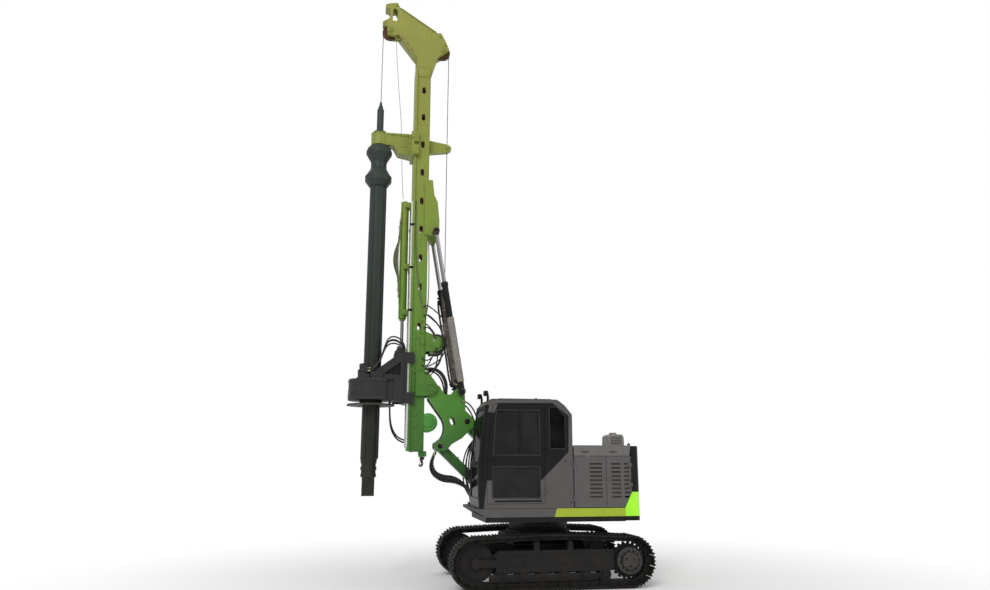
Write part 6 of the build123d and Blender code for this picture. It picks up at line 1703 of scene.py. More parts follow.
for distance in (0.32, 0.58, 0.84):
    y, z = along(link_start, link_end, distance, -0.086)
    slab(link_plates, rounded(-0.085, y - 0.014, 0.085, y + 0.014, 0.006), z - 0.006, z + 0.006,
         "z")
piece(link_plates, "link_doublers", boom_green, "lower_link", 0.002)
weld("link_welds", both(seams), boom_green, "lower_link")

neck_pins, neck_bolts, seams = bmesh.new(), [], []
for side in (1, -1):
    keeper(neck_pins, neck_bolts, side * 0.195, -1.22, 2.52, 0.034, 2.4)
    keeper(neck_pins, neck_bolts, side * 0.195, -1.66, 2.12, 0.030, 0.6)
seams += [circle(0.197, -1.33, 3.00, 0.065), circle(0.1955, -1.83, 3.05, 0.096)[2:22],
          circle(0.196, -1.46, 2.52, 0.058)]
weld("neck_welds", both(seams), boom_green, "neck", 0.0045)
piece(neck_pins, "neck_pins", black_paint, "neck", 0.0008)
bolted("neck_bolts", neck_bolts, 0.012, plated_steel, "neck")
clips = bmesh.new()
for side in (1, -1):
    for y, z in ((-1.03, 2.28), (-0.90, 2.08)):
        slab(clips, rounded(y - 0.03, z - 0.012, y + 0.03, z + 0.012, 0.008), side * 0.112,
             side * 0.1165)
piece(clips, "boom_hose_clips", plated_steel, "boom", 0.001)

# -------------------------------------------------- hydraulic cylinders
# Honed steel barrels with welded ports and a screwed gland; ground and chromed rods. A braided wrap
# shields the lower half of each mast cylinder and its hoses from falling soil.
def chromed(name, outlines, eye=(70, 56, 48)):
    """Hard chrome with a faint oil film; the eyes within the (y, z) outlines are painted."""
    made, tree, shader, spot = finish(name, (168, 164, 172), 0.12, 1.0)
    parts = add(tree, "ShaderNodeSeparateXYZ", {0: spot}).outputs
    share = None
    for outline in outlines:
        part = inside(tree, parts["Y"], parts["Z"], outline)
        share = part if share is None else sums(tree, "MAXIMUM", share, part)
    film = between(tree, noise(tree, spot, 16, 5, (1, 1, 0.3)), 0.4, 0.75)
    bright = mixed(tree, sums(tree, "MULTIPLY", film, 0.35), colour(168, 164, 172),
                   colour(112, 104, 96))
    tree.links.new(mixed(tree, share, bright, colour(*eye)), shader.inputs["Base Color"])
    tree.links.new(sums(tree, "SUBTRACT", 1.0, share), shader.inputs["Metallic"])
    tree.links.new(sums(tree, "ADD", between(tree, film, 0, 1, 0.09, 0.26),
                        sums(tree, "MULTIPLY", share, 0.4)),
                   shader.inputs["Roughness"])
    bump(tree, shader, noise(tree, spot, 1200, 2, (1, 1, 0.1)), 0.00006)
    return made


def square(y, z, half):
    """A square outline about a point."""
    return [(y - half, z - half), (y + half, z - half), (y + half, z + half), (y - half, z + half)]


barrel_paint = paint("barrel_paint", (30, 31, 31), 0.34, dusty=0.22)
dress(("mast_barrels",), barrel_paint)
dress(("mast_rods",), chromed("mast_rod_chrome", [square(-1.80, 5.72, 0.072)]))
dress(("luff_rods",), chromed("luff_rod_chrome", [square(-0.893, 2.208, 0.058)], (40, 66, 40)))
wrap_cloth = rubber("wrap_cloth", (116, 112, 110), (150, 144, 132))
brown_rubber = rubber("brown_rubber", (62, 48, 44), (104, 92, 78))
base, top = Vector((0, -1.33, 3.0)), Vector((0, -1.80, 5.72))
climb = (top - base).normalized()
ahead = Vector((0, -climb.z, climb.y))
wraps, ports, barrel_clips, rod_parts, pin_bolts, rod_bolts = (bmesh.new(), bmesh.new(),
                                                               bmesh.new(), bmesh.new(), [], [])
ripple = random.Random(7)
for side in (1, -1):
    foot = base + Vector((side * 0.330, 0, 0))
    skin = [(0.0525, 0.155), (0.060, 0.157)]
    for step in range(54):
        skin.append((0.0615 + ripple.uniform(0, 0.0025) + (0.002 if step % 9 == 0 else 0),
                     0.16 + 0.02 * step))
    skin += [(0.060, 1.245), (0.0525, 1.247)]
    turned(wraps, skin, foot, climb, 32)
    for distance in (0.17, 0.52, 0.87, 1.23):
        turned(barrel_clips, [(0.0645, -0.008), (0.0665, -0.008), (0.0665, 0.008), (0.0645, 0.008)],
               foot + climb * distance, climb, 32)
    turned(ports, [(0.0600, 0.0), (0.0612, 0.002), (0.0612, 0.050), (0.0600, 0.052)],
           foot + climb * 1.794, climb, 6)
    turned(ports, [(0.0365, 0), (0.050, 0), (0.052, 0.003), (0.048, 0.012), (0.040, 0.014),
                   (0.0365, 0.014)],
           foot + climb * 1.850, climb, 32)
    for distance in (0.105, 1.72):
        turned(ports, [(0.020, 0), (0.020, 0.018), (0.014, 0.020), (0.014, 0.026), (0, 0.026)],
               foot + climb * distance + ahead * 0.05, ahead, 6)
    for number, shift in enumerate((-0.019, 0.019)):
        across = Vector((shift, 0, 0))
        points = [foot + across + climb * 1.68 + ahead * 0.056,
                  foot + across + climb * 1.60 + ahead * 0.074,
                  foot + across + climb * 1.50 + ahead * (0.080 + 0.010 * number),
                  foot + across + climb * 1.28 + ahead * 0.086,
                  foot + across + climb * 0.95 + ahead * (0.082 + 0.006 * number),
                  foot + across + climb * 0.60 + ahead * 0.084,
                  foot + across + climb * 0.34 + ahead * (0.088 + 0.01 * number),
                  foot + across + climb * 0.19 + ahead * 0.078,
                  foot + across + climb * 0.14 + ahead * 0.055]
        hose(f"mast_cylinder_hose_{number + 1 if side > 0 else number + 3}", points, 0.034,
             "mast_barrels", rubber=brown_rubber)
        ends_of(ports, points, 0.034)
    for distance in (1.38, 1.05, 0.72, 0.42):
        mid = foot + climb * distance + ahead * 0.088
        for corner in (-1, 1):
            bar(barrel_clips, [mid + Vector((corner * 0.036, 0, 0)) - ahead * 0.03,
                               mid + Vector((corner * 0.034, 0, 0)) + ahead * 0.014,
                               mid + Vector((corner * 0.012, 0, 0)) + ahead * 0.019], 0.003, 8)
        bar(barrel_clips, [mid + Vector((-0.014, 0, 0)) + ahead * 0.019,
                           mid + Vector((0.014, 0, 0)) + ahead * 0.019],
            0.0035, 8)
    keeper(rod_parts, rod_bolts, side * 0.382, -1.80, 5.72, 0.030, -1.2)
    keeper(ports, pin_bolts, side * 0.388, -1.33, 3.00, 0.030, 0.8)
piece(wraps, "cylinder_wraps", wrap_cloth, "mast_barrels")
piece(barrel_clips, "cylinder_clips", plated_steel, "mast_barrels")
piece(ports, "mast_cylinder_ports", barrel_paint, "mast_barrels", 0.0006)
piece(rod_parts, "mast_rod_pins", black_paint, "mast_rods", 0.0006)
bolted("mast_barrel_bolts", pin_bolts, 0.012, plated_steel, "mast_barrels")
bolted("mast_rod_bolts", rod_bolts, 0.012, plated_steel, "mast_rods")
luff_parts, luff_ports = bmesh.new(), bmesh.new()
luff_base, luff_top = Vector((0, -1.02, 1.30)), Vector((0, -0.893, 2.208))
luff_rise = (luff_top - luff_base).normalized()
luff_ahead = Vector((0, -luff_rise.z, luff_rise.y))
for side in (1, -1):
    foot = luff_base + Vector((side * 0.195, 0, 0))
    turned(luff_ports, [(0.0265, 0), (0.038, 0), (0.040, 0.003), (0.034, 0.010), (0.0265, 0.012)],
           foot + luff_rise * 0.600, luff_rise, 28)
    turned(luff_parts, [(0.0462, 0.0), (0.0475, 0.002), (0.0475, 0.030), (0.0462, 0.032)],
           foot + luff_rise * 0.556, luff_rise, 6)
    for distance in (0.08, 0.52):
        turned(luff_ports, [(0.016, 0), (0.016, 0.014), (0.011, 0.016), (0.011, 0.020), (0, 0.020)],
               foot + luff_rise * distance + luff_ahead * 0.036, luff_ahead, 6)
    points = [foot + luff_rise * 0.52 + luff_ahead * 0.052,
              foot + luff_rise * 0.50 + luff_ahead * 0.075,
              foot + luff_rise * 0.42 + luff_ahead * 0.078,
              foot + luff_rise * 0.28 + luff_ahead * 0.066,
              foot + luff_rise * 0.16 + luff_ahead * 0.07,
              foot + luff_rise * 0.10 + luff_ahead * 0.068,
              foot + luff_rise * 0.08 + luff_ahead * 0.052]
    hose(f"luff_hose_{1 if side > 0 else 2}", points, 0.020, "luff_barrels")
    ends_of(luff_ports, points, 0.020)
piece(luff_parts, "luff_glands", boom_green, "luff_barrels", 0.0006)
piece(luff_ports, "luff_ports", plated_steel, "luff_barrels", 0.0006)

# -------------------------------------------------- mast column
# A box of thick plate, six metres and more long, with a machined flange down its front. Sprayed
# green, dark at the foot and lighter and more olive towards the top; lightening slots are left in
# brown primer.
pivot_y, pivot_z = -1.83, 3.05
mast_height_tones = [(1.9, (54, 108, 18)), (3.0, (62, 114, 20)), (4.2, (90, 132, 28)),
             (5.2, (110, 142, 38)), (6.4, (126, 143, 42)), (7.6, (136, 143, 48)),
             (10.0, (144, 146, 56))]
mast_green = paint("mast_green", (100, 142, 50), 0.42, height_tones=mast_height_tones, dusty=0.16,
                   chip=(104, 78, 54))
primer = paint("brown_primer", (142, 106, 76), 0.7, dusty=0.3, gloss=0.0)
fresh_green = paint("fresh_green", (64, 142, 44), 0.4, dusty=0.15)
dress(("mast_column", "mast_head", "rope_guide_arm", "kelly_guide", "winch_frame", "crowd_barrel"),
      mast_green)
dress(("aux_winch",), fresh_green)
seams = [[(0.181, -2.158, z) for z in (2.05, 8.79)], [(0.181, -1.932, z) for z in (3.45, 8.79)],
         [(0.165, -1.929, z) for z in (3.45, 5.66)],
         [(0.181, -2.14, 3.33), (0.238, -2.085, 3.33)],
         [(0.238, -2.085, 2.79), (0.182, -2.085, 2.79)],
         closed([(-2.085, 2.93), (-1.90, 2.93), (-1.77, 2.95), (-1.72, 3.01), (-1.72, 3.09),
                 (-1.77, 3.17), (-1.90, 3.33), (-2.085, 3.33)], 0.239),
         circle(0.201, -1.80, 5.72, 0.064),
         closed([(-1.99, 5.69), (-1.90, 5.69), (-1.77, 5.67), (-1.735, 5.74), (-1.735, 5.96),
                 (-1.77, 6.30), (-1.83, 6.42), (-1.86, 6.69), (-1.99, 6.69)], 0.182)]
weld("mast_welds", both(seams), mast_green, "mast", 0.0055)
slots, mast_bolts, small_bolts, plates = bmesh.new(), [], [], bmesh.new()
for slot_z in (8.39, 7.87, 7.35, 6.83, 6.30, 5.79, 5.28, 4.77, 4.09):
    frame_strip(slots, rounded(-2.0785, slot_z - 0.0655, -2.0115, slot_z + 0.0655, 0.031, 6),
                -0.1785, 0.1785, 0.003)
piece(slots, "slot_linings", primer, "mast")
for side in (1, -1):
    for number in range(20):
        mast_bolts.append(((side * 0.180, -2.098, 2.12 + 0.0975 * number), (side, 0, 0)))
    for number in range(11):
        small_bolts.append(((side * 0.180, -2.022, 3.38 + 0.06 * number), (side, 0, 0)))
        small_bolts.append(((side * 0.180, -2.022, 2.10 + 0.06 * number), (side, 0, 0)))
    for z in (2.45, 2.62, 3.50, 3.90):
        turned(plates, [(0.030, 0), (0.030, 0.004), (0.024, 0.008), (0.014, 0.008), (0.014, 0.005),
                        (0, 0.005)],
               (side * 0.180, -2.075, z), (side, 0, 0), 24)
    turned(plates, [(0.094, 0), (0.094, 0.006), (0.088, 0.010), (0.070, 0.010), (0.066, 0.003),
                    (0.056, 0.003), (0.052, 0.012), (0.034, 0.014), (0.030, 0.008), (0, 0.008)],
           (side * 0.237, pivot_y, pivot_z), (side, 0, 0), 40)
    bolt_circles(small_bolts, 6, 20, ((side * 0.247, pivot_y, pivot_z), (side, 0, 0), 0.079))
    for outline in (rounded(-2.105, 2.06, -1.95, 2.36, 0.03),
                    rounded(-2.02, 6.50, -1.93, 6.78, 0.02),
                    [(-2.155, 8.64), (-1.935, 8.64), (-1.935, 8.80), (-2.155, 8.80)]):
        slab(plates, outline, side * 0.1795, side * 0.186)
    for y, z in ((-2.085, 2.20), (-1.97, 2.09), (-1.97, 2.33), (-2.0, 6.53), (-1.95, 6.53),
                 (-2.0, 6.75), (-1.95, 6.75)):
        small_bolts.append(((side * 0.186, y, z), (side, 0, 0)))
    for number in range(5):
        small_bolts.append(((side * 0.186, -2.135 + 0.045 * number, 8.66), (side, 0, 0)))
        mast_bolts.append(((side * 0.155, -2.17 + 0.055 * number, 8.825), upward))
slab(plates, rounded(-0.150, -2.155, 0.150, -1.945, 0.03), 2.030, 2.042, "z")
slab(plates, rounded(-0.052, 1.962, 0.052, 2.030, 0.012), -1.882, -1.874, "y")
for x in (-0.12, 0.12):
    for y in (-2.12, -1.98):
        small_bolts.append(((x, y, 2.030), downward))
for x in (-0.035, 0.035):
    for z in (1.978, 2.014):
        small_bolts.append(((x, -1.874, z), rearward))
piece(plates, "mast_plates", mast_green, "mast", 0.0015)
bolted("mast_bolts", mast_bolts, 0.022, mast_green, "mast")
bolted("mast_small_bolts", small_bolts, 0.014, mast_green, "mast")
foot_parts = bmesh.new()
slab(foot_parts, rounded(-1.998, 1.952, -1.884, 2.036, 0.012), -0.066, -0.0598)
slab(foot_parts, rounded(-1.998, 1.952, -1.884, 2.036, 0.012), 0.0598, 0.066)
turned(foot_parts, [(0.024, 0), (0.024, 0.006), (0.014, 0.010), (0, 0.010)], (0.066, -1.94, 1.985),
       to_left, 24)
turned(foot_parts, [(0.024, 0), (0.024, 0.006), (0.014, 0.010), (0, 0.010)], (-0.066, -1.94, 1.985),
       to_right, 24)
piece(foot_parts, "hook_block_cheeks", fresh_green, "mast", 0.002)

# Cables and thin hoses: clipped down the mast's side from the top bracket, and hung behind it from
# the bracket to the winch.
clip_parts = bmesh.new()
for number, (shift, low_z) in enumerate(((0.0, 4.34), (0.014, 4.26))):
    points = [(0.187, -2.146 + shift, 6.30), (0.187, -2.146 + shift, 5.9),
              (0.187, -2.135 + shift, 5.45), (0.188, -2.105 + shift, 5.05),
              (0.189, -2.065 + shift, 4.72), (0.189, -2.02 + shift, 4.50),
              (0.188, -1.985 + shift, low_z)]
    hose(f"mast_cable_{number + 1}", points, 0.011, "mast", rubber=sleeved_rubber)
    points = [(0.158 - 0.03 * number, -1.913, 5.655), (0.158 - 0.03 * number, -1.900, 5.45),
              (0.160 - 0.03 * number, -1.893, 5.05),
              (0.162 - 0.03 * number, -1.893, 4.60 + 0.05 * number),
              (0.160 - 0.03 * number, -1.908, 4.36 + 0.05 * number),
              (0.155 - 0.03 * number, -1.930, 4.28 + 0.05 * number)]
    hose(f"mast_back_hose_{number + 1}", points, 0.015, "mast", rubber=sleeved_rubber)
    ends_of(clip_parts, points, 0.015)
for y, z in ((-2.139, 6.10), (-2.125, 5.55), (-2.06, 4.76)):
    slab(clip_parts, rounded(y - 0.022, z - 0.006, y + 0.022, z + 0.006, 0.004, 3), 0.1795, 0.1965)
for number in range(4):
    z = 3.62 + 0.20 * number
    for side in (-1, 1):
        slab(clip_parts, rounded(-2.010, z - 0.05, -1.950, z + 0.05, 0.01), side * 0.1795,
             side * 0.196)
piece(clip_parts, "mast_clips", mast_green, "mast", 0.001)

# -------------------------------------------------- guide rails
# Ground steel wear strips screwed down the mast's front flange, greased and rubbed bright; short
# clamps hold the joints between lengths.
rail_steel = metal("rail_steel", (226, 225, 226), 0.42, 900, (1, 1, 0.05), (132, 120, 96), 0.35)
dress(("guide_rails",), rail_steel)
rail_bolts, rail_clamps = [], bmesh.new()
for side in (1, -1):
    for number in range(14):
        z = 4.02 + 0.17 * number
        rail_bolts.append(((side * 0.1825, -2.2245, z), forward))
    for z in (4.36, 5.10, 5.86):
        low, high = sorted((side * 0.150, side * 0.2165))
        slab(rail_clamps, rounded(low, z - 0.024, high, z + 0.024, 0.006), -2.232, -2.2245, "y")
        slab(rail_clamps, rounded(-2.228, z - 0.020, -2.165, z + 0.020, 0.006), side * 0.2095,
             side * 0.2165)
piece(rail_clamps, "rail_clamps", black_paint, "mast", 0.0015)
bolted("rail_screws", rail_bolts, 0.010, rail_steel, "mast")

# -------------------------------------------------- mast head and sheaves
# A goose-neck of welded plate that carries the main rope over two cast sheaves on bushed pins;
# rope keepers stop the rope from jumping out, and a small pulley in front serves the light hoist.
sheave_iron = rubbed_steel("sheave_iron", (96, 68, 50), (70, 48, 34), (150, 140, 128), 0.6, 0.6, 16)
sheave_places = {"front_sheave": (-2.68, 9.56), "rear_sheave": (-1.705, 9.25)}
dress(sheave_places, sheave_iron)
throat_edge, back_edge = ((-2.19, 9.055), (-2.525, 9.49)), ((-1.815, 9.583), (-2.505, 10.028))
head_parts, head_bolts, head_slots, seams = bmesh.new(), [], bmesh.new(), []
for side in (1, -1):
    for y, z in sheave_places.values():
        keeper(head_parts, head_bolts, side * 0.1325, y, z, 0.030, 0.9)
        turned(head_parts, [(0.058, 0), (0.058, 0.008), (0.054, 0.010), (0.040, 0.010), (0.040, 0)],
               (side * 0.1195, y, z), (side, 0, 0), 32)
    for y, z in ((-2.575, 10.065), (-1.76, 9.52), (-2.755, 9.71), (-1.665, 9.36)):
        turned(head_parts, [(0.016, 0), (0.016, 0.014), (0.011, 0.016), (0.011, 0.024), (0, 0.024)],
               (side * 0.1195, y, z), (side, 0, 0), 6)
    for share in (0.16, 0.42, 0.68):
        y, z = along((-2.525, 9.485), (-2.19, 9.075), 0.524 * share + 0.02, 0.030)
        way = (Vector((-2.19, 9.075)) - Vector((-2.525, 9.485))).normalized()
        side_way = Vector((-way.y, way.x))
        outline = []
        for step in range(16):
            angle = math.tau * step / 16
            point = Vector((y, z)) + way * (0.022 * (1 if math.cos(angle) > 0
                                                     else -1) + 0.011 * math.cos(angle)) \
                + side_way * 0.011 * math.sin(angle)
            outline.append((point.x, point.y))
        slab(head_slots, outline, side * 0.1195, side * 0.1212)
    for share in range(5):
        y, z = along(*back_edge, 0.08 + 0.16 * share, 0.0)
        head_bolts.append(((side * 0.120, y - 0.012, z - 0.022), (side, 0, 0)))
for edge, near, far, out, half in ((throat_edge, 0.01, 0.535, 0.004, 0.134),
                                   (back_edge, 0.03, 0.81, 0.003, 0.127)):
    slab(head_parts, [along(*edge, near, -0.010), along(*edge, far, -0.010), along(*edge, far, out),
                      along(*edge, near, out)], -half, half)
for x0, x1 in ((0.026, 0.034), (0.066, 0.074)):
    slab(head_parts, [(-2.60, 9.495), (-2.46, 9.470), (-2.485, 9.415), (-2.53, 9.392),
                      (-2.575, 9.415)], x0, x1)
seams += [[(0.121, *along((-2.19, 9.085), (-2.525, 9.52), share * 0.53, 0.004))
           for share in (0.0, 1.0)],
          [(0.121, -2.19, 8.828), (0.121, -1.90, 8.828)],
          [(0.121, -2.188, 8.828), (0.121, -2.188, 9.05)],
          [(0.121, *along((-1.815, 9.568), (-2.505, 10.013), share * 0.83, 0.0))
           for share in (0.0, 1.0)]]
weld("head_welds", both(seams), mast_green, "mast", 0.0055)
piece(head_parts, "head_fittings", mast_green, "mast", 0.0012)
piece(head_slots, "head_slots", primer, "mast")
bolted("head_bolts", head_bolts, 0.015, mast_green, "mast")
pulley, pulley_place = bmesh.new(), (0.050, -2.530, 9.435)
turned(pulley, [(0.008, -0.010), (0.034, -0.010), (0.036, -0.008), (0.029, -0.001), (0.029, 0.001),
                (0.036, 0.008), (0.034, 0.010), (0.008, 0.010)], pulley_place, to_left, 28)
turned(pulley, [(0.008, -0.029), (0.008, 0.029), (0, 0.029)], pulley_place, to_left, 16)
for way in (to_left, to_right):
    turned(pulley, [(0.014, 0.024), (0.014, 0.032), (0, 0.032)], pulley_place, way, 6)
piece(pulley, "service_pulley", sheave_iron, "mast")
for sheave, (y, z) in sheave_places.items():
    webs = bmesh.new()
    for side in (1, -1):
        turned(webs, [(0.046, 0), (0.046, 0.004), (0.040, 0.006), (0.0305, 0.006), (0.0305, 0)],
               (side * 0.0295, y, z), (side, 0, 0), 30)
        for number in range(6):
            angle = math.radians(60 * number)
            turned(webs, [(0.0125, 0), (0.0125, 0.0008), (0, 0.0008)],
                   (side * 0.030, y + 0.076 * math.cos(angle), z + 0.076 * math.sin(angle)),
                   (side, 0, 0), 16)
    piece(webs, f"{sheave}_bushing", sheave_iron, sheave)

# -------------------------------------------------- rope arm, bracket and crowd cylinder
# The rear arm holds the falling rope clear through a bushed eye. The crowd cylinder hangs in front
# of the mast from a bolted bracket; its hose slack is tied into a flat, ribbed bundle.
arm_parts, arm_bolts, seams = bmesh.new(), [], []
for side in (1, -1):
    slab(arm_parts, rounded(-1.945, 7.205, -1.928, 7.525, 0.006, 3), side * 0.048, side * 0.110)
    for z in (7.24, 7.365, 7.49):
        arm_bolts.append(((side * 0.085, -1.928, z), rearward))
    keeper(arm_parts, arm_bolts, side * 0.050, -1.60, 7.35, 0.020, 1.5)
seams += [[(0.051, -1.926, 7.245), (0.051, -1.926, 7.485)],
          [(0.048, -1.925, 7.492), (-0.048, -1.925, 7.492)]]
weld("rope_arm_welds", both(seams[:1]) + seams[1:], mast_green, "mast", 0.0045)
piece(arm_parts, "rope_arm_fittings", mast_green, "mast", 0.0012)
bolted("rope_arm_bolts", arm_bolts, 0.014, plated_steel, "mast")
crowd_parts, crowd_bolts, crowd_ribs = bmesh.new(), [], bmesh.new()
turned(crowd_parts, [(0.0285, 0), (0.050, 0), (0.056, 0.004), (0.056, 0.030), (0.0285, 0.034)],
       (0, -2.32, 4.240), downward, 6)
turned(crowd_parts, [(0.052, 0), (0.052, 0.014), (0.036, 0.022), (0, 0.022)], (0, -2.32, 6.308),
       upward, 28)
for z in (6.245, 5.145, 4.345):
    slab(crowd_parts, rounded(-0.100, z - 0.030, 0.100, z + 0.030, 0.008), -2.232, -2.212, "y")
    for side in (1, -1):
        slab(crowd_parts, rounded(-2.335, z - 0.045, -2.20, z + 0.045, 0.01), side * 0.084,
             side * 0.094)
        for dy in (-0.05, 0.02):
            crowd_bolts.append(((side * 0.094, -2.27 + dy, z), (side, 0, 0)))
for side in (1, -1):
    bar(crowd_parts, bent([(side * 0.050, -2.366, 6.20), (side * 0.056, -2.382, 6.15),
                           (side * 0.056, -2.382, 4.50), (side * 0.046, -2.366, 4.44)], 0.03),
        0.008, 10)
    slab(crowd_parts, rounded(-2.370, 6.185, -2.345, 6.225, 0.006), side * 0.030, side * 0.064)
piece(crowd_parts, "crowd_cylinder_fittings", mast_green, "mast", 0.0012)
bolted("crowd_bolts", crowd_bolts, 0.014, plated_steel, "mast")
for number, y in enumerate((-2.432, -2.449, -2.459, -2.465, -2.468, -2.468, -2.465, -2.459, -2.449,
                            -2.432)):
    z = 5.07 + 0.051 * number
    slab(crowd_ribs, rounded(-0.092, z - 0.008, 0.092, z + 0.008, 0.004, 3), y - 0.016, y - 0.012,
         "y")
    for side in (1, -1):
        slab(crowd_ribs, rounded(y - 0.016, z - 0.008, y + 0.016, z + 0.008, 0.004, 3),
             side * 0.088, side * 0.092)
for z in (4.74, 4.92, 5.68, 5.86):
    slab(crowd_ribs, rounded(-0.080, z - 0.010, 0.080, z + 0.010, 0.004, 3), -2.424, -2.418, "y")
piece(crowd_ribs, "crowd_hose_ties", sleeved_rubber, "mast", 0.0006)
dress(("crowd_rod",), chromed("crowd_rod_chrome",
                              [[(-2.40, 3.60), (-2.25, 3.60), (-2.25, 3.745), (-2.40, 3.745)]],
                              (58, 58, 58)))

# -------------------------------------------------- winches and hook
# The main winch's drum turns on a planetary gearbox inside it, driven by a piston motor; one layer
# and a bit of greased rope is wound on. The auxiliary winch is cased in below. Forged swivel hook.
winch_y, winch_z = -1.74, 3.80
aux_y, aux_z = -1.86, 2.50
drum_steel = rubbed_steel("drum_steel", (60, 66, 58), (48, 42, 36), (140, 136, 128), 0.5, 0.6, 10)
dress(("winch_drum",), drum_steel)
wound, side_parts, side_bolts = bmesh.new(), bmesh.new(), []
turns_on, start_x, rope_pitch = 21.5, -0.158, 0.0147
steps = int(turns_on * 26)
bar(wound, [(start_x + rope_pitch * turns_on * k / steps,
             winch_y + 0.132 * math.cos(math.tau * turns_on * k / steps),
             winch_z + 0.132 * math.sin(math.tau * turns_on * k / steps))
            for k in range(steps + 1)], 0.0068, 7)
piece(wound, "wound_rope", wire_steel, "winch_drum")
for side in (1, -1):
    turned(side_parts, [(0.092, 0), (0.092, 0.012), (0.076, 0.016), (0.072, 0.034), (0.040, 0.040),
                        (0, 0.040)],
           (side * 0.209, winch_y, winch_z), (side, 0, 0), 36)
    turned(side_parts, [(0.120, 0), (0.120, 0.006), (0.092, 0.006), (0.092, 0)],
           (side * 0.209, winch_y, winch_z), (side, 0, 0), 40)
    bolt_circles(side_bolts, 12, 15, ((side * 0.215, winch_y, winch_z), (side, 0, 0), 0.106))
    for z in (3.70, 3.97):
        side_bolts.append(((side * 0.209, -1.90, z), (side, 0, 0)))
    slab(side_parts, rounded(-1.86, 3.635, -1.80, 3.665, 0.01), side * 0.12, side * 0.205)
box(side_parts, (-0.191, -1.80, 3.668), (0.191, -1.785, 3.692))
piece(side_parts, "winch_sides", mast_green, "mast", 0.0015)
bolted("winch_bolts", side_bolts, 0.013, plated_steel, "mast")
aux_parts, aux_bolts = bmesh.new(), []
for side in (1, -1):
    turned(aux_parts, [(0.140, 0), (0.140, 0.006), (0.126, 0.012), (0.084, 0.012), (0.078, 0.022),
                       (0.040, 0.026), (0, 0.026)], (side * 0.160, aux_y, aux_z), (side, 0, 0), 40)
    bolt_circles(aux_bolts, 10, 0, ((side * 0.170, aux_y, aux_z), (side, 0, 0), 0.108))
for x in (-0.135, -0.045, 0.045, 0.135):
    turned(aux_parts, [(0.149, -0.006), (0.1535, -0.004), (0.1535, 0.004), (0.149, 0.006)],
           (x, aux_y, aux_z), to_left, 48)
piece(aux_parts, "aux_winch_covers", fresh_green, "mast", 0.0015)
bolted("aux_winch_bolts", aux_bolts, 0.013, plated_steel, "mast")
hook_paint = paint("hook_paint", (84, 58, 70), 0.55, dusty=0.35, chip=(120, 108, 100))
dress(("parked_hook",), hook_paint)
hook_parts = bmesh.new()
turned(hook_parts, [(0.030, 0), (0.034, 0.004), (0.034, 0.026), (0.028, 0.032), (0.016, 0.036)],
       (0, -1.93, 1.912), upward, 20)
turned(hook_parts, [(0.024, 0), (0.024, 0.012), (0.012, 0.014)], (0, -1.93, 1.898), upward, 6)
bar(hook_parts, bent([(0.0, -1.945, 1.885), (0.0, -1.972, 1.862), (0.0, -1.985, 1.828)], 0.02),
    0.004, 8)
for side in (1, -1):
    turned(hook_parts, [(0.007, 0), (0.007, 0.003), (0, 0.004)], (side * 0.016, -1.94, 1.888),
           (side, 0, 0), 12)
piece(hook_parts, "hook_collar", hook_paint, "mast")

# -------------------------------------------------- drive carriage
# A plate with claws that slide on the mast's rails, and two deep webs that carry the gearbox;
# flame-cut, welded and sprayed dark grey. Side plates bolted on the claws hold their wear pads.
drive_grey = paint("drive_grey", (49, 49, 50), 0.44, dusty=0.26, chip=(104, 100, 96))
# Near-black paint for the plates set behind the web cuts: painted shade for the dark of those
# openings.
cut_shade_grey = paint("cut_shade_grey", (30, 30, 31), 0.6, dusty=0.3)
dress(("drive_carriage", "rotary_drive"), drive_grey)
web = [(-2.285, 2.82), (-2.285, 3.62), (-2.355, 3.62), (-2.74, 3.33), (-2.74, 3.19), (-2.44, 3.19),
       (-2.44, 2.82)]
cut = [(-2.335, 3.25), (-2.335, 3.48), (-2.62, 3.27)]
carriage_parts, cut_shade_backs, carriage_bolts, seams = bmesh.new(), bmesh.new(), [], []
for side in (1, -1):
    # A near-black plate just inside each web's cut: a dark sheet of painted shade where the opening
    # lies in shadow.
    slab(cut_shade_backs, [(-2.325, 3.238), (-2.325, 3.50), (-2.655, 3.262)], side * 0.244, side * 0.2502)
    frame_strip(carriage_parts, cut, side * 0.262, side * 0.2805, -0.007)
    slab(carriage_parts, [(-2.36, 3.588), (-2.735, 3.306), (-2.725, 3.296), (-2.36, 3.570)],
         side * 0.2795, side * 0.288)
    for z0, z1 in ((2.805, 2.975), (3.465, 3.635)):
        slab(carriage_parts, rounded(-2.275, z0, -2.124, z1, 0.012), side * 0.2555, side * 0.261)
        for z in (z0 + 0.03, (z0 + z1) / 2, z1 - 0.03):
            for y in (-2.245, -2.150):
                carriage_bolts.append(((side * 0.261, y, z), (side, 0, 0)))
    for z in (2.90, 3.00, 3.10):
        carriage_bolts.append(((side * 0.280, -2.405, z), (side, 0, 0)))
        carriage_bolts.append(((side * 0.280, -2.325, z), (side, 0, 0)))
    for number in range(4):
        carriage_bolts.append(((side * 0.280, -2.475 - 0.072 * number, 3.222), (side, 0, 0)))
    for z in (3.10, 3.30):
        turned(carriage_parts, [(0.006, 0), (0.006, 0.008), (0.0035, 0.010), (0.0045, 0.013),
                                (0, 0.014)],
               (side * 0.256, -2.26, z), (side, 0, 0), 12)
    seams += [[(side * 0.2815, y, z) for y, z in web[3:6]],
              [(side * 0.257, -2.287, z) for z in (2.82, 3.62)],
              [(side * 0.249, -2.287, z) for z in (3.20, 3.61)], closed(cut, side * 0.2815)]
slab(carriage_parts, rounded(-0.21, 3.30, 0.21, 3.60, 0.03), -2.2925, -2.2845, "y")
for x in (-0.18, 0.18):
    for z in (3.335, 3.565):
        carriage_bolts.append(((x, -2.2925, z), forward))
weld("carriage_welds", seams, drive_grey, "drive", 0.005)
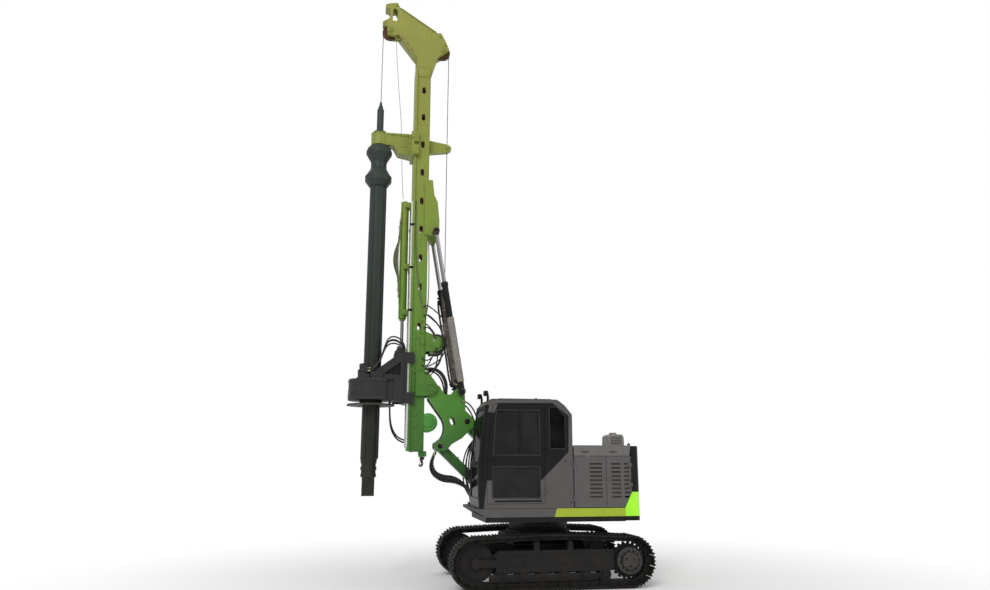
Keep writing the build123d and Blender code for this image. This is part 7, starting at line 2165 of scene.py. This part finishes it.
piece(cut_shade_backs, "web_cut_shade_plates", cut_shade_grey, "drive", 0.0)
piece(carriage_parts, "carriage_plates", drive_grey, "drive", 0.0015)
bolted("carriage_bolts", carriage_bolts, 0.018, drive_grey, "drive")

# -------------------------------------------------- rotary drive
# A cast ring-gear case with machined faces, bolted shut, and two hydraulic motors with brakes on
# top. Cooling ribs, an oil sight glass, lifting eyes; oil and dust cling round the joints.
case_parts, case_bolts, motor_parts, motor_bolts = bmesh.new(), [], bmesh.new(), []
centre = Vector((0, kelly_y, 0))


def spoke(angle):
    """The level way out from an upright axis, at an angle."""
    return Vector((math.cos(angle), math.sin(angle), 0))


def part_ring(build, radius, out, low, high, start, end, steps=60):
    """A raised band round the case's front, from one angle to another."""
    rows = []
    for step in range(steps + 1):
        angle = math.radians(start + (end - start) * step / steps)
        way = spoke(angle)
        rows.append([build.verts.new(centre + way * r + Vector((0, 0, z)))
                     for r, z in ((radius, low), (radius + out, low + out * 0.6),
                                  (radius + out, high - out * 0.6), (radius, high))])
    for first, second in zip(rows, rows[1:]):
        for k in range(4):
            build.faces.new((first[k], second[k], second[(k + 1) % 4], first[(k + 1) % 4]))
    build.faces.new(rows[0])
    build.faces.new(rows[-1][::-1])


for out, low, high in ((0.007, 3.135, 3.186), (0.006, 2.852, 2.890), (0.004, 3.020, 3.034)):
    part_ring(case_parts, 0.3695, out, low, high, 132, 408)
for number in range(22):
    angle = math.radians(136 + 268 * number / 21)
    way = spoke(angle)
    case_bolts.append((tuple(centre + way * 0.350 + Vector((0, 0, 3.190))), upward))
    if number % 3 == 1:
        foot_point, head_point = centre + way * 0.3695, centre + way * 0.3785
        across = Vector((-way.y, way.x, 0)) * 0.007
        corners = [(foot_point - across, head_point - across * 0.6),
                   (foot_point + across, head_point + across * 0.6)]
        lows = [corners[0][0] + Vector((0, 0, 2.89)), corners[0][1] + Vector((0, 0, 2.90)),
                corners[1][1] + Vector((0, 0, 2.90)), corners[1][0] + Vector((0, 0, 2.89))]
        highs = [point + Vector((0, 0, 0.130 if k in (0, 3) else 0.115))
                 for k, point in enumerate(lows)]
        closed_between(case_parts, lows, highs)
for angle in (200, 340):
    way = spoke(math.radians(angle))
    side_way = Vector((-way.y, way.x, 0))
    eye = centre + way * 0.318 + Vector((0, 0, 3.188))
    bar(case_parts, bent([eye - side_way * 0.028, eye - side_way * 0.028 + Vector((0, 0, 0.05)),
                          eye + side_way * 0.028 + Vector((0, 0, 0.05)), eye + side_way * 0.028],
                         0.026, 6), 0.009)
turned(case_parts, [(0.020, 0), (0.020, 0.008), (0.012, 0.010), (0.012, 0.022), (0, 0.022)],
       (-0.10, -3.155, 2.93), (-0.27, -0.96, 0), 6)
for side in (1, -1):
    spot_x, spot_y = side * 0.235, -2.95
    turned(motor_parts, [(0.094, 0), (0.094, 0.016), (0.078, 0.020), (0.078, 0)],
           (spot_x, spot_y, 3.1895), upward, 36)
    for step in range(5):
        z = 3.222 + 0.019 * step
        turned(motor_parts, [(0.0745, 0), (0.080, 0.002), (0.080, 0.007), (0.0745, 0.009)],
               (spot_x, spot_y, z), upward, 36)
    turned(motor_parts, [(0.0745, 0), (0.082, 0.002), (0.082, 0.014), (0.060, 0.020),
                         (0.054, 0.020)],
           (spot_x, spot_y, 3.316), upward, 36)
    turned(motor_parts, [(0.054, 0), (0.058, 0.003), (0.058, 0.014), (0.040, 0.022), (0.018, 0.022),
                         (0.018, 0.032), (0, 0.032)], (spot_x, spot_y, 3.410), upward, 30)
    slab(motor_parts, rounded(spot_x - 0.046, -2.925, spot_x + 0.054, -2.872, 0.010), 3.285, 3.392,
         "z")
    bolt_circles(motor_bolts, 6, 10, ((spot_x, spot_y, 3.2055), upward, 0.085),
                 ((spot_x, spot_y, 3.333), upward, 0.068))
slab(case_parts, rounded(-0.170, -2.435, 0.170, -2.300, 0.012), 3.3295, 3.342, "z")
for x in (-0.15, -0.05, 0.05, 0.15):
    turned(motor_parts, [(0.017, 0), (0.017, 0.014), (0.012, 0.016), (0.012, 0.026), (0, 0.026)],
           (x, -2.40, 3.3415), upward, 6)
    motor_bolts.append(((x + 0.025, -2.32, 3.3415), upward))
for x in (-0.12, 0.0, 0.12):
    turned(motor_parts, [(0.022, 0), (0.022, 0.020), (0.014, 0.026), (0.014, 0.036), (0, 0.036)],
           (x, -2.4445, 3.27), forward, 18)
for side in (1, -1):
    for sizes, near, far in (((-3.02, 3.188, -2.84, 3.262, 0.012), 0.205, 0.325),
                             ((-2.82, 3.188, -2.64, 3.300, 0.012), 0.205, 0.325),
                             ((-2.44, 3.560, -2.32, 3.660, 0.010), 0.085, 0.235),
                             ((-2.40, 3.655, -2.34, 3.740, 0.010), 0.105, 0.215)):
        slab(case_parts, rounded(*sizes), side * near, side * far)
piece(case_parts, "gear_case_bands", drive_grey, "drive", 0.001)
piece(motor_parts, "motor_fittings", drive_grey, "drive", 0.0008)
bolted("gear_case_bolts", case_bolts, 0.020, drive_grey, "drive")
bolted("motor_bolts", motor_bolts, 0.012, plated_steel, "drive")
glass_rim = bmesh.new()
turned(glass_rim, [(0.022, 0), (0.022, 0.006), (0.016, 0.009), (0.014, 0.004), (0, 0.004)],
       (0.12, -3.148, 2.96), (0.325, -0.946, 0), 20)
piece(glass_rim, "oil_sight_glass", plated_steel, "drive")

# -------------------------------------------------- drive sleeve and spoil disc
# The sleeve turns in the case and drives the kelly by its keys; the round, ribbed plate under it
# throws soil clear. Bare and polished where soil runs off, brown elsewhere.
disc_steel = rubbed_steel("disc_steel", (46, 46, 45), (62, 54, 44), (128, 124, 118), 0.5, 0.8, 9)
dress(("drive_sleeve",), disc_steel)
disc_parts, disc_bolts = bmesh.new(), []
turned(disc_parts, [(0.378, 0), (0.3895, 0.002), (0.3895, 0.010), (0.378, 0.014)],
       (0, kelly_y, 2.7795), upward, 72)
for number in range(10):
    angle = math.radians(36 * number)
    way = spoke(angle)
    across = Vector((-way.y, way.x, 0)) * 0.006
    inner_point, outer_point = centre + way * 0.250, centre + way * 0.376
    low = [inner_point - across, outer_point - across, outer_point + across, inner_point + across]
    closed_between(disc_parts, [point + Vector((0, 0, 2.7805)) for point in low],
                   [point + Vector((0, 0, 2.800 if k in (0, 3) else 2.790))
                    for k, point in enumerate(low)])
bolt_circles(disc_bolts, 10, 18, ((0, kelly_y, 2.767), downward, 0.215),
             ((0, kelly_y, 3.250), upward, 0.178))
piece(disc_parts, "spoil_disc_ribs", disc_steel, "drive_sleeve", 0.001)
bolted("drive_sleeve_bolts", disc_bolts, 0.016, disc_steel, "drive_sleeve")

# -------------------------------------------------- kelly bar
# Drawn steel tubes one inside another; keys welded down the outer one carry the torque. Painted
# dark green, rubbed bare along the keys, streaked with grease and dried slurry. Rope swivel on top.
def streaked(name, height_tones, grease, bare, slurry):
    """Worn paint on a long tube: streaks down it, bright edges, slurry towards the foot."""
    made, tree, shader, spot = finish(name, height_tones[0][1], 0.4, Specular_IOR_Level=0.2,
                                      Coat_Weight=0.03, Coat_Roughness=0.25)
    parts = add(tree, "ShaderNodeSeparateXYZ", {0: spot}).outputs
    tone = toned(tree, parts["Z"], height_tones)
    streak = noise(tree, spot, 9, 5, (6, 6, 0.16))
    cloud = noise(tree, spot, 3.5, 6)
    speck = noise(tree, spot, 120, 3)
    skin = mixed(tree, between(tree, streak, 0.5, 0.72, 0, 0.55), tone, colour(*grease))
    near_foot = between(tree, parts["Z"], 3.4, 1.6)
    mud = sums(tree, "MULTIPLY", sums(tree, "ADD", near_foot, 0.25),
               between(tree, sums(tree, "ADD", cloud, sums(tree, "MULTIPLY", speck, 0.3)), 0.58,
                       0.85))
    skin = mixed(tree, sums(tree, "MULTIPLY", mud, 0.5), skin, colour(*slurry))
    rubbed = sums(tree, "MULTIPLY", edge_of(tree, 0.005),
                  between(tree, streak, 0.36, 0.56, 0.25, 1.0))
    rubbed = sums(tree, "MULTIPLY", rubbed, 0.75)
    tree.links.new(mixed(tree, rubbed, skin, colour(*bare)), shader.inputs["Base Color"])
    tree.links.new(sums(tree, "MULTIPLY", rubbed, 0.85), shader.inputs["Metallic"])
    tree.links.new(sums(tree, "ADD", between(tree, streak, 0.3, 0.75, 0.46, 0.26),
                        sums(tree, "MULTIPLY", mud, 0.35)),
                   shader.inputs["Roughness"])
    bump(tree, shader, sums(tree, "ADD", sums(tree, "MULTIPLY", speck, 0.4),
                            sums(tree, "MULTIPLY", mud, 0.8)), 0.0012)
    return made


kelly_fade = [(1.3, (34, 35, 29)), (2.6, (38, 42, 36)), (4.6, (46, 54, 49)), (7.7, (56, 66, 62))]
kelly_steel = streaked("kelly_steel", kelly_fade, (26, 29, 27), (104, 110, 106), (58, 54, 44))
dress(("kelly_outer", "kelly_inner"), kelly_steel)
tube_parts, inner_parts, seams = bmesh.new(), bmesh.new(), []
for z in (7.022, 6.902, 6.568):
    seams.append([(0.1395 * math.cos(math.tau * k / 60),
                   kelly_y + 0.1395 * math.sin(math.tau * k / 60), z)
                  for k in range(61)])
for degrees in (90, 210, 330):
    for off in (-1, 1):
        angle = math.radians(degrees) + off * 0.124
        seams.append([(0.1385 * math.cos(angle), kelly_y + 0.1385 * math.sin(angle), z)
                      for z in (1.93, 6.55)])
weld("kelly_welds", seams, kelly_steel, "kelly_outer", 0.0035)
for z, radius in ((7.555, 0.112), (6.745, 0.2305), (7.2755, 0.1995)):
    turned(tube_parts, [(radius - 0.006, -0.004), (radius + 0.0025, -0.002),
                        (radius + 0.0025, 0.004), (radius - 0.006, 0.006)], (0, kelly_y, z), upward,
           60)
for number in range(8):
    angle = math.radians(45 * number + 22)
    turned(tube_parts, [(0.012, 0), (0.012, 0.004), (0.008, 0.006), (0, 0.006)],
           (0.2245 * math.cos(angle), kelly_y + 0.2245 * math.sin(angle), 7.198), spoke(angle), 14)
    turned(tube_parts, [(0.014, 0), (0.014, 0.004), (0.009, 0.006), (0, 0.006)],
           (0.2295 * math.cos(angle), kelly_y + 0.2295 * math.sin(angle), 6.705), spoke(angle), 14)
for angle, z in ((20, 2.32), (62, 2.02), (-30, 2.62), (150, 2.32), (20, 3.70)):
    way = spoke(math.radians(angle))
    turned(tube_parts, [(0.012, -0.004), (0.012, 0.002), (0.0075, 0.003), (0.0075, 0.0), (0, 0.0)],
           centre + way * 0.1365 + Vector((0, 0, z)), way, 18)
piece(tube_parts, "kelly_plugs", kelly_steel, "kelly_outer")
turned(inner_parts, [(0.0115, 0), (0.038, 0), (0.038, 0.010), (0.030, 0.022), (0.022, 0.048),
                     (0.020, 0.085), (0.016, 0.092), (0.0115, 0.092)], (0, kelly_y, 8.088), upward,
       32)
turned(inner_parts, [(0.0400, 0), (0.0445, 0.002), (0.0445, 0.020), (0.0400, 0.022)],
       (0, kelly_y, 8.045), upward, 8)
turned(inner_parts, [(0.0305, -0.1045), (0.0295, -0.107), (0, -0.107)], (0, kelly_y, 1.425),
       to_left, 28)
turned(inner_parts, [(0, -0.106), (0.0306, -0.106), (0.0306, 0.100), (0.040, 0.1015),
                     (0.040, 0.110), (0.034, 0.114), (0.012, 0.114), (0.012, 0.111), (0, 0.111)],
       (0, kelly_y, 1.425), to_left, 32)
bar(inner_parts, bent([(-0.112, kelly_y, 1.47), (-0.112, kelly_y, 1.38), (-0.114, -2.772, 1.372),
                       (-0.114, -2.775, 1.46)],
                      0.015), 0.004, 8)
for z0 in (1.335, 1.622):
    frame_outline = [(-0.1015, -2.9015), (0.1015, -2.9015), (0.1015, -2.6985), (-0.1015, -2.6985)]
    for (ax, ay), (bx, by) in zip(frame_outline, frame_outline[1:] + frame_outline[:1]):
        bar(inner_parts, [(ax, ay, z0 + 0.005), (bx, by, z0 + 0.005)], 0.0035, 6)
piece(inner_parts, "rope_swivel_and_tool_pin", kelly_steel, "kelly_inner", 0.0)

# -------------------------------------------------- kelly guide
# A ring on a sliding arm that steadies the kelly's top: flame-cut plates welded together, with a
# rolled lip round the ring and side plates bolted on the claws.
guide_parts, guide_bolts, seams = bmesh.new(), [], []
for side in (1, -1):
    for z0, z1 in ((7.14, 7.27), (7.42, 7.55)):
        slab(guide_parts, rounded(-2.245, z0, -2.122, z1, 0.012), side * 0.2555, side * 0.261)
        for z in (z0 + 0.03, z1 - 0.03):
            for y in (-2.215, -2.150):
                guide_bolts.append(((side * 0.261, y, z), (side, 0, 0)))
    bar(guide_parts, bent([(side * 0.246, -2.256, 7.205), (side * 0.246, -2.272, 7.205),
                           (side * 0.246, -2.272, 7.485), (side * 0.246, -2.256, 7.485)], 0.01),
        0.007, 10)
    slab(guide_parts, [(-2.252, 7.545), (-2.252, 7.50), (-2.66, 7.525), (-2.66, 7.552)],
         side * 0.1095, side * 0.118)
    slab(guide_parts, rounded(-2.46, 7.30, -2.31, 7.34, 0.018), side * 0.1095, side * 0.1125)
    for y, z in ((-2.30, 7.118), (-2.37, 7.138), (-2.44, 7.150)):
        guide_bolts.append(((side * 0.070, y, z + 0.026), downward))
    for y in (-2.32, -2.44, -2.56):
        guide_bolts.append(((side * 0.118, y, 7.528), (side, 0, 0)))
    seams += [[(side * 0.111, y, z) for y, z in ((-2.252, 7.142), (-2.478, 7.188),
                                                 (-2.558, 7.326))],
              [(side * 0.111, -2.252, 7.15), (side * 0.111, -2.252, 7.495)]]
for z, way in ((7.5595, 1), (7.3305, -1)):
    turned(guide_parts, [(0.1455, 0), (0.152, -0.003), (0.152, -0.015), (0.1455, -0.018)],
           (0, kelly_y, z), (0, 0, way), 56)
for number in range(10):
    angle = math.radians(36 * number + 18)
    if math.sin(angle) < 0.75:
        guide_bolts.append(((0.131 * math.cos(angle), kelly_y + 0.131 * math.sin(angle), 7.560),
                            upward))
turned(guide_parts, [(0.007, 0), (0.007, 0.010), (0.0035, 0.012), (0.0045, 0.016), (0, 0.017)],
       (0.04, -2.940, 7.45), (0.27, -0.96, 0), 12)
weld("kelly_guide_welds", seams, mast_green, "kelly_guide", 0.0045)
piece(guide_parts, "kelly_guide_plates", mast_green, "kelly_guide", 0.0012)
bolted("kelly_guide_bolts", guide_bolts, 0.016, mast_green, "kelly_guide")
